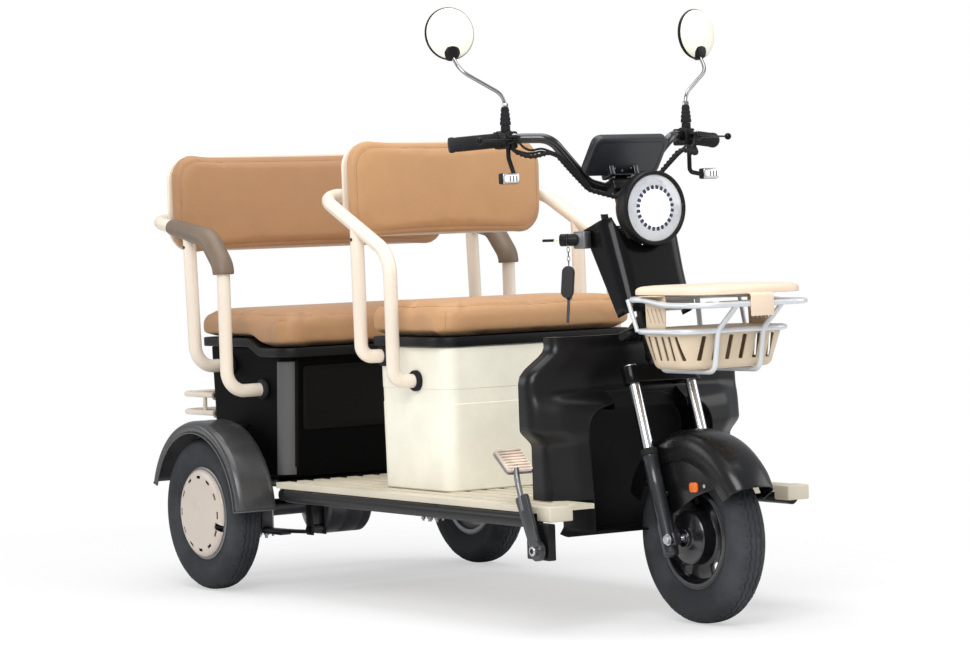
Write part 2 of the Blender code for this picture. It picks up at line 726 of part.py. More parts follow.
def rear_rack():
    """Two flat hoops of tube behind the rear box, tied by cross tubes and feet on its wall."""
    parts = []
    for level in RACK_LEVELS:
        share = (level - REAR_BOX_BOTTOM) / (REAR_BOX_TOP - REAR_BOX_BOTTOM)
        wall = REAR_BOX_BACK - REAR_BOX_FLARE * share - 2 * GAP
        route = fillet([
            (wall, -RACK_HALF, level), (RACK_REAR, -RACK_HALF, level),
            (RACK_REAR, RACK_HALF, level), (wall, RACK_HALF, level)], 0.035)
        parts.append(tube(route, RACK_TUBE, 1))
        for y in (-0.12, 0.12):
            parts.append(rod((wall, y, level), (RACK_REAR, y, level), RACK_TUBE * 0.8, 6))
    for y in (-RACK_HALF, RACK_HALF):
        parts.append(rod((-0.200, y, RACK_LEVELS[0]), (-0.200, y, RACK_LEVELS[1]), RACK_TUBE * 0.8, 6))
    return fused(parts[0], *parts[1:])


def rear_mudguard(side):
    """Arched shell over a rear wheel with turned-down lips and a tab to the seat box."""
    inner = REAR_TRACK / 2 - 0.053
    outer = REAR_TRACK / 2 + 0.055
    radius = MUDGUARD_RADIUS
    wall = MUDGUARD_WALL
    profile = [(radius - 0.030, outer), (radius - 0.008, outer), (radius, outer - 0.012),
               (radius, inner + 0.012), (radius - 0.008, inner), (radius - 0.030, inner)]
    inside = [(radius - 0.030, inner + wall), (radius - 0.0085, inner + wall),
              (radius - wall, inner + 0.0130), (radius - wall, outer - 0.0130),
              (radius - 0.0085, outer - wall), (radius - 0.030, outer - wall)]
    outline = profile + inside
    start = math.radians(4.0)
    finish = math.radians(162.0)
    steps = 11
    rings = []
    for step in range(steps + 1):
        angle = start + (finish - start) * step / steps
        rings.append([(r * math.cos(angle), side * y, WHEEL_RADIUS + r * math.sin(angle))
                      for r, y in outline])
    shape = loft(rings)
    tab_low = (-0.045, min(side * (REAR_BOX_HALF + GAP), side * (inner + 0.004)), 0.392)
    tab_high = (0.045, max(side * (REAR_BOX_HALF + GAP), side * (inner + 0.004)), 0.400)
    return fused(shape, block(tab_low, tab_high))


def build_chassis(vehicle):
    vehicle.piece("main_frame", ladder_frame(), "black_paint", "root")
    vehicle.piece("front_frame", front_frame(), "black_paint", "root")
    vehicle.piece("floor_board", floor_board(), "beige_plastic", "root")
    vehicle.piece("rear_axle_housing", axle_housing(), "dark_metal", "root")
    vehicle.piece("rear_rack", rear_rack(), "cream_paint", "root")
    for side, outward in SIDES.items():
        vehicle.piece("leaf_spring_" + side, leaf_spring(outward), "dark_metal", "root")
        vehicle.piece("rear_mudguard_" + side, rear_mudguard(outward), "black_plastic", "root")


# Seat boxes, benches and rails

def tapered_box(back, front, half, bottom, top, flare, inset=0.0, corner=0.03):
    """Upright box whose front and back lean out towards the top, with round corners."""
    rings = []
    for height, lean in ((bottom, 0.0), (top, flare)):
        outline = rounded_rectangle((back - lean + inset, -half + inset),
                                    (front + lean - inset, half - inset), max(corner - inset, 0.003))
        rings.append([(x, y, height) for x, y in outline])
    return loft(rings)


def front_seat_box():
    """Open-topped box with a sunk band round it."""
    bottom = FLOOR_TOP + GAP
    outer = tapered_box(FRONT_BOX_BACK, FRONT_BOX_FRONT, FRONT_BOX_HALF, bottom, FRONT_BOX_TOP,
                        FRONT_BOX_FLARE)
    inner = tapered_box(FRONT_BOX_BACK, FRONT_BOX_FRONT, FRONT_BOX_HALF, bottom + BOX_WALL,
                        FRONT_BOX_TOP + 0.02, FRONT_BOX_FLARE, BOX_WALL + 0.002)
    ring_out = tapered_box(FRONT_BOX_BACK - 0.05, FRONT_BOX_FRONT + 0.05, FRONT_BOX_HALF + 0.05,
                           BAND_LOW, BAND_HIGH, 0.0)
    ring_in = tapered_box(FRONT_BOX_BACK, FRONT_BOX_FRONT, FRONT_BOX_HALF, BAND_LOW - 0.02,
                          BAND_HIGH + 0.02, 0.002, 0.0)
    return cut(outer, inner, cut(ring_out, ring_in))


def step_profile(offset):
    """Stepped lower line of the rear bench, from back to front."""
    return [(REAR_SEAT_BACK, REAR_STEP_HIGH + offset), (REAR_STEP_START, REAR_STEP_HIGH + offset),
            (REAR_STEP_END, REAR_STEP_LOW + offset), (REAR_SEAT_FRONT, REAR_STEP_LOW + offset)]


def rear_seat_box():
    """Open-topped box with a framed panel on its front and a stepped upper edge."""
    outer = tapered_box(REAR_BOX_BACK, REAR_BOX_FRONT, REAR_BOX_HALF, REAR_BOX_BOTTOM, REAR_BOX_TOP,
                        REAR_BOX_FLARE)
    inner = tapered_box(REAR_BOX_BACK, REAR_BOX_FRONT, REAR_BOX_HALF, REAR_BOX_BOTTOM + BOX_WALL,
                        REAR_BOX_TOP + 0.02, REAR_BOX_FLARE, BOX_WALL)
    line = step_profile(-GAP)
    line[0] = (line[0][0] - 0.1, line[0][1])
    line[-1] = (line[-1][0] + 0.1, line[-1][1])
    above = prism(line + [(line[-1][0], 0.7), (line[0][0], 0.7)], 1, -0.5, 0.5)
    panel = block((-0.004, -0.255, 0.390), (0.004, 0.255, 0.545))
    lean = math.atan(REAR_BOX_FLARE / (REAR_BOX_TOP - REAR_BOX_BOTTOM))
    place = Matrix.Translation((REAR_BOX_FRONT, 0, REAR_BOX_BOTTOM)) @ Matrix.Rotation(lean, 4, "Y")
    moved(panel, place @ Matrix.Translation((0.0015, 0, -REAR_BOX_BOTTOM)))
    return cut(fused(outer, panel), inner, above)


def pillow_rings(low, high, corner, levels, tuck):
    """Rings of a stuffed pad: inset and height at each level, sides drawn in between corners."""
    middle = Vector(((low[0] + high[0]) / 2, (low[1] + high[1]) / 2))
    rings = []
    for inset, height in levels:
        outline = rounded_rectangle((low[0] + inset, low[1] + inset), (high[0] - inset, high[1] - inset),
                                    max(corner - inset, corner * 0.35))
        per_corner = len(outline) // 4
        ring = []
        for index, place in enumerate(outline):
            point = Vector(place)
            ring.append((point.x, point.y, height))
            if index % per_corner == per_corner - 1:
                run = Vector(outline[(index + 1) % len(outline)]) - point
                for share in (0.3, 0.7):
                    between = point + run * share
                    inward = Vector((run.y, -run.x)).normalized()
                    inward *= math.copysign(tuck, inward.dot(middle - between))
                    ring.append((between.x + inward.x, between.y + inward.y, height))
        rings.append(ring)
    return rings


def pad(low, high, base, top, corner, tuck=0.003):
    """Crowned seat pad, flat below, full at the sides and highest in the middle."""
    depth = top - base
    levels = [(0.006, base), (0.0, base + depth * 0.18), (0.0, base + depth * 0.50),
              (0.006, base + depth * 0.72), (0.020, base + depth * 0.86), (0.045, base + depth * 0.94),
              (0.090, base + depth * 0.985), (0.130, top)]
    return loft(pillow_rings(low, high, corner, levels, tuck))


def front_bench(vehicle):
    bottom = FRONT_BOX_TOP + GAP
    outline = rounded_rectangle((FRONT_SEAT_BACK, -FRONT_SEAT_HALF), (FRONT_SEAT_FRONT, FRONT_SEAT_HALF),
                                SEAT_CORNER)
    plate = prism(outline, 2, bottom, bottom + SEAT_TRIM)
    vehicle.piece("front_seat_base", plate, "black_plastic", "front_seat")
    cushion = pad((FRONT_SEAT_BACK + 0.002, -FRONT_SEAT_HALF + 0.002),
                  (FRONT_SEAT_FRONT - 0.002, FRONT_SEAT_HALF - 0.002),
                  bottom + SEAT_TRIM + GAP, FRONT_SEAT_TOP, SEAT_CORNER)
    vehicle.piece("front_seat_cushion", cushion, "tan_leather", "front_seat", 60)


def rear_bench(vehicle):
    outline = rounded_rectangle((REAR_SEAT_BACK, -REAR_SEAT_HALF), (REAR_SEAT_FRONT, REAR_SEAT_HALF),
                                SEAT_CORNER)
    column = prism(outline, 2, REAR_STEP_LOW - 0.05, REAR_SEAT_TOP + 0.05)
    line = step_profile(0.0)
    line[0] = (line[0][0] - 0.05, line[0][1])
    line[-1] = (line[-1][0] + 0.05, line[-1][1])
    upper = [(x, z + SEAT_TRIM) for x, z in line]
    under = prism(line + [(line[-1][0], 0.4), (line[0][0], 0.4)], 1, -0.5, 0.5)
    over = prism(upper + [(upper[-1][0], 0.9), (upper[0][0], 0.9)], 1, -0.5, 0.5)
    vehicle.piece("rear_seat_base", cut(column, under, over), "black_plastic", "rear_seat")
    start = upper[0][1] - 0.030
    cushion = pad((REAR_SEAT_BACK + 0.002, -REAR_SEAT_HALF + 0.002),
                  (REAR_SEAT_FRONT - 0.002, REAR_SEAT_HALF - 0.002), start, REAR_SEAT_TOP, SEAT_CORNER)
    seat = [(x, z + GAP) for x, z in upper]
    below = prism(seat + [(seat[-1][0], 0.4), (seat[0][0], 0.4)], 1, -0.5, 0.5)
    vehicle.piece("rear_seat_cushion", cut(cushion, below), "tan_leather", "rear_seat", 60)


def wall_collar(x, height, wall, side):
    """Flange by which a rail tube meets a box wall."""
    start = (x, side * (wall + GAP), height)
    return rod(start, (x, side * (wall + 0.012), height), COLLAR_RADIUS, 10)


def seat_rail(route, posts, plate, wall):
    """Hoop round both sides and the back, a post under each arm, collars and back plate."""
    parts = [tube(route, RAIL_TUBE)]
    for post in posts:
        parts.append(tube(post, RAIL_TUBE))
    for end in (route[0], route[-1]):
        side = math.copysign(1, end[1])
        parts.append(wall_collar(end[0], end[2], wall, side))
    for post in posts:
        side = math.copysign(1, post[0][1])
        parts.append(wall_collar(post[0][0], post[0][2], wall, side))
    parts += plate
    return fused(parts[0], *parts[1:])


def rail_side(side, arm, wall, foot, knee_x, knee_z, arm_end, marks):
    """Corner points of one side of a hoop, from the box wall up and back along the arm."""
    points = [(foot[0], side * (wall + GAP + 0.004), foot[1]), (knee_x, side * arm, foot[1]),
              (knee_x, side * arm, knee_z)]
    points += [(x, side * arm, z) for x, z in marks]
    points.append((arm_end[0], side * arm, arm_end[1]))
    return points


def front_rail_parts():
    wall = FRONT_BOX_HALF
    corners = rail_side(-1, FRONT_ARM_SIDE, wall, (0.748, 0.520), 0.737, 0.810, (0.437, 0.950), [])
    back = [(x, -y, z) for x, y, z in reversed(corners)]
    route = fillet(corners + back, [0, 0.050, 0.070, 0.055, 0.055, 0.070, 0.050, 0])
    posts = []
    for side in (-1, 1):
        posts.append(fillet([
            (0.612, side * (wall + GAP + 0.004), 0.575), (0.600, side * FRONT_ARM_SIDE, 0.575),
            (0.596, side * FRONT_ARM_SIDE, 0.876)], 0.050))
    plate = [block((FRONT_BACK_X - GAP - BACK_PLATE, -FRONT_BACK_HALF + 0.012, FRONT_BACK_LOW + 0.012),
                   (FRONT_BACK_X - GAP, FRONT_BACK_HALF - 0.012, FRONT_BACK_HIGH - 0.012), 0.045, 1, 0)]
    plate.append(block((0.437, -0.150, 0.940), (FRONT_BACK_X - GAP - 0.001, 0.150, 0.960)))
    return route, posts, plate, wall


def rear_rail_parts():
    wall = REAR_BOX_HALF
    corners = rail_side(-1, REAR_ARM_SIDE, wall, (0.128, 0.488), 0.140, 0.790, (-0.208, 0.905),
                        [(0.075, 0.858), (-0.105, 0.888)])
    back = [(x, -y, z) for x, y, z in reversed(corners)]
    radii = [0, 0.060, 0.030, 0.060, 0, 0.055]
    route = fillet(corners + back, radii + list(reversed(radii)))
    posts = []
    for side in (-1, 1):
        posts.append(fillet([
            (-0.030, side * (wall + GAP + 0.004), 0.545), (-0.012, side * REAR_ARM_SIDE, 0.545),
            (-0.026, side * REAR_ARM_SIDE, 0.872)], 0.060))
    plate = [block((REAR_BACK_X - GAP - BACK_PLATE, -REAR_BACK_HALF + 0.012, REAR_BACK_LOW + 0.012),
                   (REAR_BACK_X - GAP, REAR_BACK_HALF - 0.012, REAR_BACK_HIGH - 0.012), 0.045, 1, 0)]
    for y in (-0.22, 0.22):
        plate.append(block((-0.208, y - 0.02, 0.898), (REAR_BACK_X - GAP - 0.001, y + 0.02, 0.912)))
    return route, posts, plate, wall


def backrest(back, half, low, high):
    """Upright pad: flat behind, crowned in front, with round corners."""
    levels = [(0.004, 0.0), (0.0, 0.012), (0.0, 0.030), (0.008, 0.042), (0.024, 0.050),
              (0.055, BACK_THICKNESS)]
    rings = pillow_rings((-half, low), (half, high), 0.055, levels, 0.003)
    return loft([[(back + x, y, z) for y, z, x in ring] for ring in rings])


def arm_grip(route, side):
    """Moulded sleeve over the front bend of a rear arm."""
    points = [Vector(point) for point in route]
    points = [point for point in points if point.y * side > REAR_ARM_SIDE - 1e-4]
    chosen = [point for point in points if -0.110 < point.x and 0.774 < point.z]
    chosen = [point for point in chosen if point.x < 0.1405]
    chosen.sort(key=lambda point: -point.x + 0.5 * point.z)
    low = Vector((0.140, side * REAR_ARM_SIDE, 0.770))
    chosen = [low] + [point for point in chosen if (point - low).length > 0.004]
    outer = tube(chosen, RAIL_TUBE + 0.010, 2)
    inside = tube([chosen[0] - Vector((0, 0, 0.05))] + chosen[1:-1]
                  + [chosen[-1] + (chosen[-1] - chosen[-2]) * 0.5], flats(RAIL_TUBE, 8) + GAP, 2)
    post = rod((-0.0215, side * REAR_ARM_SIDE, 0.770), (-0.026, side * REAR_ARM_SIDE, 0.874),
               RAIL_TUBE + 0.0015, 10)
    return cut(outer, inside, post)


def battery_pack():
    """Battery on the floor of the rear box with the motor controller bolted to its right end."""
    floor = REAR_BOX_BOTTOM + BOX_WALL + GAP
    cells = block((-0.095, -0.200, floor), (0.175, 0.240, 0.470), 0.008, 1)
    controller = block((-0.050, -0.252, floor), (0.130, -0.195, 0.440))
    return fused(cells, controller)


def build_seats(vehicle):
    vehicle.piece("front_seat_box", front_seat_box(), "cream_plastic", "root")
    vehicle.piece("rear_seat_box", rear_seat_box(), "black_plastic", "root")
    front_bench(vehicle)
    rear_bench(vehicle)
    vehicle.piece("front_seat_rail", seat_rail(*front_rail_parts()), "cream_paint", "root")
    rear_parts = rear_rail_parts()
    vehicle.piece("rear_seat_rail", seat_rail(*rear_parts), "cream_paint", "root")
    front_back = backrest(FRONT_BACK_X, FRONT_BACK_HALF, FRONT_BACK_LOW, FRONT_BACK_HIGH)
    vehicle.piece("front_backrest", front_back, "tan_leather", "root", 60)
    rear_back = backrest(REAR_BACK_X, REAR_BACK_HALF, REAR_BACK_LOW, REAR_BACK_HIGH)
    vehicle.piece("rear_backrest", rear_back, "tan_leather", "root", 60)
    for side, outward in SIDES.items():
        vehicle.piece("arm_grip_" + side, arm_grip(rear_parts[0], outward), "brown_plastic", "root")
    vehicle.piece("battery_pack", battery_pack(), "battery_blue", "root")


# Front end

def shield_outline(height, grow):
    """Plan outline of the leg shield at one height, open to the rear, grown outwards by grow."""
    low = FLOOR_TOP + GAP
    share = (height - low) / (SHIELD_TOP - low)
    half = 0.255 if height < 0.40 else SHIELD_HALF
    if height > 0.57:
        half = 0.215
    nose = 1.330 - 0.045 * share if height < SHIELD_LEDGE + 0.001 else UPPER_NOSE
    edge = 1.262 - 0.022 * share
    half += grow
    nose += grow
    back = 1.205 if grow >= 0 else 1.19
    return [(back, -half), (edge + grow, -half), (edge + grow + (nose - edge) * 0.62, -half * 0.78),
            (nose, -half * 0.42), (nose, half * 0.42),
            (edge + grow + (nose - edge) * 0.62, half * 0.78), (edge + grow, half), (back, half)]


def well_outline(grow):
    """Outline of the wheel well across the vehicle: upright sides under a low pitched top."""
    half = WELL_HALF + grow
    corners = [(-half, WELL_BOTTOM), (half, WELL_BOTTOM), (half, WELL_SHOULDER + grow),
               (0.050, WELL_TOP + grow), (-0.050, WELL_TOP + grow), (-half, WELL_SHOULDER + grow)]
    points = [(y, z, 0.0) for y, z in corners]
    radii = [0, 0, WELL_CORNER, 0, 0, WELL_CORNER]
    return [(point.x, point.y) for point in fillet(points, radii, closed=True)]


def leg_shield():
    """Bulging apron open to the rear, with the arched well of the front wheel let into it."""
    low = FLOOR_TOP + GAP
    ledge = SHIELD_LEDGE
    heights = [low, 0.395, 0.412, ledge, ledge + 0.014, 0.570, 0.600, SHIELD_TOP]
    outer = loft([[(x, y, z) for x, y in shield_outline(z, 0.0)] for z in heights])
    inner_heights = [low - 0.01, 0.395, 0.412, ledge - 0.003, ledge + 0.011, 0.566, 0.594,
                     SHIELD_TOP - SHIELD_WALL]
    inner = loft([[(x, y, z) for x, y in shield_outline(max(z + (0.003 if z > 0.45 else 0), low),
                                                        -SHIELD_WALL)]
                  for z in inner_heights])
    arch = well_outline(0.0)
    wide = well_outline(SHIELD_WALL)
    liner = prism(wide, 0, WELL_BACK - SHIELD_WALL, 1.330)
    trim = loft([[(x, y, z) for x, y in shield_outline(min(max(z, low), SHIELD_TOP), 0.0)]
                 for z in (WELL_BOTTOM - 0.02, low, 0.412, 0.56)])
    back_part = block((1.10, -0.2, 0.1), (1.26, 0.2, 0.6))
    liner = combine(liner, [fused(trim, back_part)], "INTERSECT")
    below = [(y, z - (0.05 if z < WELL_BOTTOM + 0.001 else 0)) for y, z in arch]
    hole = prism(below, 0, WELL_BACK, 1.45)
    opening = block((1.17, -0.070, 0.604), (1.32, 0.070, 0.70))
    crown_room = block((UPPER_NOSE + 0.0005, -0.095, 0.470), (1.345, 0.095, ledge + 0.010))
    return cut(fused(cut(outer, inner), liner), hole, opening, crown_room)


def panel_ring(along, half, back, ahead):
    corners = [(back, -half), (ahead, -half), (ahead, half), (back, half)]
    points = fillet(corners, [0, 0.018, 0.018, 0], closed=True)
    frame = steer_frame(along)
    return [tuple(frame @ Vector((x, y, 0))) for x, y in points]


def front_panel():
    """Tall U-shaped cover on the head tube with a roof that the steering stem passes through."""
    outer = loft([panel_ring(PANEL_LOW, 0.090, 0.012, PANEL_AHEAD),
                  panel_ring(PANEL_HIGH, 0.100, -0.030, PANEL_AHEAD)])
    wall = PANEL_WALL
    inner = loft([panel_ring(PANEL_LOW - 0.02, 0.090 - wall - 0.001, -0.060, PANEL_AHEAD - wall),
                  panel_ring(PANEL_HIGH - wall, 0.100 - wall, -0.060, PANEL_AHEAD - wall)])
    shell = cut(outer, inner)
    visor = moved(block((-0.062, -0.096, -0.006), (0.010, 0.096, -0.001), 0.004, 1),
                  steer_frame(PANEL_HIGH))
    stem_hole = rod(on_steer(PANEL_HIGH - 0.05), on_steer(PANEL_HIGH + 0.05), 0.026, 16)
    lamp_hole = rod((1.20, 0, LAMP_HEIGHT), (1.40, 0, LAMP_HEIGHT), LAMP_RADIUS + GAP * 2, 28)
    low_lamp = block((1.255, -0.2, LAMP_HEIGHT), (1.45, 0.2, 1.1))
    return cut(fused(shell, visor), stem_hole, lamp_hole, low_lamp)


def headlight_housing():
    depth = LAMP_FRONT - LAMP_BACK
    seat = LENS_RADIUS + GAP
    outline = [(0, 0), (0.040, 0), (0.066, depth * 0.25), (LAMP_RADIUS - 0.002, depth * 0.62),
               (LAMP_RADIUS, depth * 0.75), (LAMP_RADIUS - 0.003, depth), (seat, depth),
               (seat, depth - 0.020), (0, depth - 0.020)]
    return turned(outline, 20, (LAMP_BACK, 0, LAMP_HEIGHT), (1, 0, 0))


def headlight_lens():
    back = LAMP_FRONT - 0.020 + GAP
    outline = [(0, 0), (LENS_RADIUS, 0), (LENS_RADIUS, 0.016), (LENS_RADIUS * 0.7, 0.021),
               (0, 0.024)]
    return turned(outline, 20, (back, 0, LAMP_HEIGHT), (1, 0, 0))


def basket_outline(back, front, half, corner):
    return rounded_rectangle((back, -half), (front, half), corner)


def basket_frame():
    """Tube loops, two front hoops that run on under the tub, rear struts and the panel foot."""
    def dipped(x):
        share = min(max((x - 1.47) / 0.12, 0.0), 1.0)
        return BASKET_TOP - BASKET_DIP * share
    upper = [(x, y, dipped(x)) for x, y in basket_outline(BASKET_BACK, BASKET_FRONT, BASKET_HALF, 0.060)]
    extra = []
    for index, point in enumerate(upper):
        extra.append(point)
        after = upper[(index + 1) % len(upper)]
        if abs(after[0] - point[0]) > 0.1:
            for x in (1.48, 1.58) if after[0] > point[0] else (1.58, 1.48):
                extra.append((x, point[1], dipped(x)))
    parts = [tube(extra, BASKET_TUBE, 1, cyclic=True)]
    reach = BASKET_TUBE + GAP
    slope = TUB_TAPER * (TUB_TOP - BASKET_RAIL) / (TUB_TOP - TUB_BOTTOM)
    middle = basket_outline(TUB_BACK - reach + slope, TUB_FRONT + reach - slope,
                            TUB_HALF + reach - slope * 0.8, 0.050)
    parts.append(tube([(x, y, BASKET_RAIL) for x, y in middle], BASKET_TUBE, 1, cyclic=True))
    floor = TUB_BOTTOM - BASKET_TUBE - GAP
    for side in (-1, 1):
        y = side * 0.060
        hoop = fillet([
            (BASKET_FRONT, y, dipped(BASKET_FRONT)), (TUB_FRONT + reach, y, BASKET_RAIL),
            (TUB_FRONT - TUB_TAPER + reach + 0.006, y, floor), (BASKET_BACK + 0.010, y, floor),
            (BASKET_BACK, y * 0.9, BASKET_TOP)], [0, 0.03, 0.022, 0.03, 0])
        parts.append(tube(hoop, BASKET_TUBE * 0.95, 1))
        parts.append(rod((TUB_BACK + 0.02, side * (TUB_HALF + reach - slope), BASKET_RAIL),
                         (TUB_BACK - 0.005, side * BASKET_HALF, dipped(TUB_BACK)), BASKET_TUBE * 0.8, 6))
    foot = moved(block((PANEL_AHEAD + GAP, -0.045, -0.010), (0.118, 0.045, 0.010)), steer_frame(0.505))
    parts.append(foot)
    return fused(parts[0], *parts[1:])


def basket_tub():
    """Moulded tub with slotted walls and a slotted plate that rises at each rear side."""
    def ring(height, inset):
        share = (TUB_TOP - height) / (TUB_TOP - TUB_BOTTOM)
        taper = TUB_TAPER * share
        outline = basket_outline(TUB_BACK + taper + inset, TUB_FRONT - taper - inset,
                                 TUB_HALF - taper * 0.8 - inset, 0.045 - inset)
        return [(x, y, height) for x, y in outline]
    outer = loft([ring(TUB_BOTTOM, 0.010), ring(TUB_BOTTOM + 0.008, 0.0), ring(TUB_TOP, 0.0)])
    inner = loft([ring(TUB_BOTTOM + TUB_WALL, 0.010 + TUB_WALL), ring(TUB_BOTTOM + 0.010, TUB_WALL),
                  ring(TUB_TOP + 0.02, TUB_WALL)])
    tub = cut(outer, inner)
    plates = []
    for side in (-1, 1):
        low = side * (TUB_HALF - TUB_WALL - 0.0015)
        high = side * (TUB_HALF - 0.0015)
        plates.append(block((TUB_BACK + 0.046, min(low, high), TUB_TOP - 0.004),
                            (TUB_BACK + 0.108, max(low, high), BASKET_TOP + BASKET_TUBE + GAP + 0.002)))
    tub = fused(tub, *plates)
    slots = []
    for index in range(5):
        x = TUB_BACK + 0.040 + index * 0.023
        slots.append(block((x - 0.0035, -0.3, TUB_BOTTOM + 0.018), (x + 0.0035, 0.3, TUB_TOP - 0.018)))
    for index in range(5):
        y = (index - 2) * 0.040
        slots.append(block((TUB_FRONT - 0.05, y - 0.005, TUB_BOTTOM + 0.018),
                           (TUB_FRONT + 0.02, y + 0.005, TUB_TOP - 0.018)))
    for index in range(3):
        x = TUB_BACK + 0.059 + index * 0.018
        slots.append(block((x - 0.002, -0.3, TUB_TOP + 0.012), (x + 0.002, 0.3, BASKET_TOP - 0.014)))
    return cut(tub, *slots)


def basket_lid():
    """Crowned lid on the top loop with a tongue that hooks over its front."""
    base = LID_BASE
    levels = [(0.0, base), (0.0, base + 0.004), (0.010, base + 0.012), (0.035, base + 0.018),
              (0.070, base + 0.020)]
    half = BASKET_HALF - 0.012
    rings = pillow_rings((BASKET_BACK - 0.004, -half), (BASKET_FRONT - 0.004, half), 0.060, levels, 0.0)
    lid = loft(rings)
    front = BASKET_FRONT + BASKET_TUBE + GAP
    tongue = block((front, -0.030, 0.663), (front + TONGUE_THICKNESS, 0.030, base + 0.003))
    bridge = block((BASKET_FRONT - 0.02, -0.030, base), (front + TONGUE_THICKNESS, 0.030, base + 0.003))
    return fused(lid, tongue, bridge)


def ignition_lock():
    """Base block and barrel, with the place where the key enters and the way it points."""
    direction = Vector((-0.75, -0.66, 0.0)).normalized()
    base = block((1.196, -0.122, 0.812), (1.238, -0.1003, 0.850), 0.004, 1)
    start = Vector((1.212, -0.112, 0.832))
    barrel = rod(start, start + direction * LOCK_LENGTH, 0.0135, 12)
    return fused(base, barrel), start + direction * (LOCK_LENGTH + GAP), direction


def ignition_key(start, direction):
    across = Vector((-direction.y, direction.x, 0))
    head = rod(start, start + direction * 0.016, 0.0085, 12)
    bow = block((0.0, -0.011, -0.0015), (0.030, 0.011, 0.0015), 0.003, 1)
    return fused(head, moved(bow, key_frame(start, direction, across)))


def key_frame(start, direction, across):
    frame = Matrix.Identity(4)
    columns = (direction, across, Vector((0, 0, 1)))
    for column, vector in enumerate(columns):
        for row in range(3):
            frame[row][column] = vector[row]
    frame.translation = start + direction * 0.010
    return frame


def build_front(vehicle):
    vehicle.piece("leg_shield", leg_shield(), "black_paint", "root")
    vehicle.piece("front_panel", front_panel(), "black_paint", "root")
    vehicle.piece("headlight_housing", headlight_housing(), "black_plastic", "root")
    vehicle.piece("headlight_lens", headlight_lens(), "lamp_white", "root")
    vehicle.piece("basket_frame", basket_frame(), "silver_paint", "root")
    vehicle.piece("basket_tub", basket_tub(), "beige_plastic", "root")
    vehicle.piece("basket_lid", basket_lid(), "peach_plastic", "basket_lid")
    lock, key_start, key_direction = ignition_lock()
    vehicle.piece("ignition_lock", lock, "black_plastic", "root")
    vehicle.piece("ignition_key", ignition_key(key_start, key_direction), "chrome", "ignition_key")


# Fork, handlebar and controls

def fork_upper():
    """Steerer, crown and the two stanchions."""
    parts = []
    for side in (-1, 1):
        leg = [(0, 0.105), (STANCHION_RADIUS, 0.105), (STANCHION_RADIUS, CROWN_BOTTOM),
               (0.020, CROWN_BOTTOM), (0.020, CROWN_TOP), (0, CROWN_TOP)]
        parts.append(turned(leg, 12, on_steer(0.0, side * FORK_HALF_SPACING), UP))
    parts.append(moved(block((-0.018, -FORK_HALF_SPACING, CROWN_BOTTOM + 0.004),
                             (0.018, FORK_HALF_SPACING, CROWN_TOP - 0.004)), steer_frame()))
    nut_end = HEAD_TOP + 0.024
    stem = [(0, CROWN_BOTTOM + 0.008), (NUT_RADIUS, CROWN_BOTTOM + 0.008), (NUT_RADIUS, HEAD_BOTTOM - GAP),
            (STEERER_RADIUS, HEAD_BOTTOM - GAP), (STEERER_RADIUS, HEAD_TOP + GAP),
            (NUT_RADIUS, HEAD_TOP + GAP), (NUT_RADIUS, nut_end), (STEERER_RADIUS, nut_end),
            (STEERER_RADIUS, STEM_TOP), (0, STEM_TOP)]
    return fused(turned(stem, 12, on_steer(0.0), UP), *parts)


def fork_slider(side):
    """Lower leg bored for its stanchion, with a seal collar and the axle lug."""
    y = side * FORK_HALF_SPACING
    radius = SLIDER_RADIUS
    bore = flats(STANCHION_RADIUS + RUNNING_GAP, 12)
    outline = [(0, 0), (radius - 0.004, 0), (radius, 0.004), (radius, 0.225), (radius + 0.002, 0.227),
               (radius + 0.002, 0.242), (bore, 0.242), (bore, 0.075), (0, 0.075)]
    leg = turned(outline, 12, on_steer(-0.034, y), UP)
    lug = moved(block((-0.004, -0.011, -0.014), (AXLE_LEAD + 0.012, 0.011, 0.014), 0.003, 1),
                steer_frame(0.0, y))
    hole = rod(FRONT_AXLE + Vector((0, y - 0.05, 0)), FRONT_AXLE + Vector((0, y + 0.05, 0)),
               flats(FRONT_AXLE_RADIUS, 8) + GAP, 8)
    return cut(fused(leg, lug), hole)


def front_axle():
    """Axle bar with a spacer inside and a nut outside each fork leg."""
    spacer = FORK_HALF_SPACING - SLIDER_RADIUS - GAP
    nut = FORK_HALF_SPACING + SLIDER_RADIUS + GAP
    half = [(0, nut + 0.011), (FRONT_AXLE_RADIUS, nut + 0.011), (FRONT_AXLE_RADIUS, nut + 0.008),
            (0.010, nut + 0.008), (0.010, nut), (FRONT_AXLE_RADIUS, nut), (FRONT_AXLE_RADIUS, spacer),
            (0.010, spacer), (0.010, 0.0545), (FRONT_AXLE_RADIUS, 0.0545)]
    outline = half + [(radius, -along) for radius, along in reversed(half)]
    return turned(outline, 8, FRONT_AXLE, (0, 1, 0))


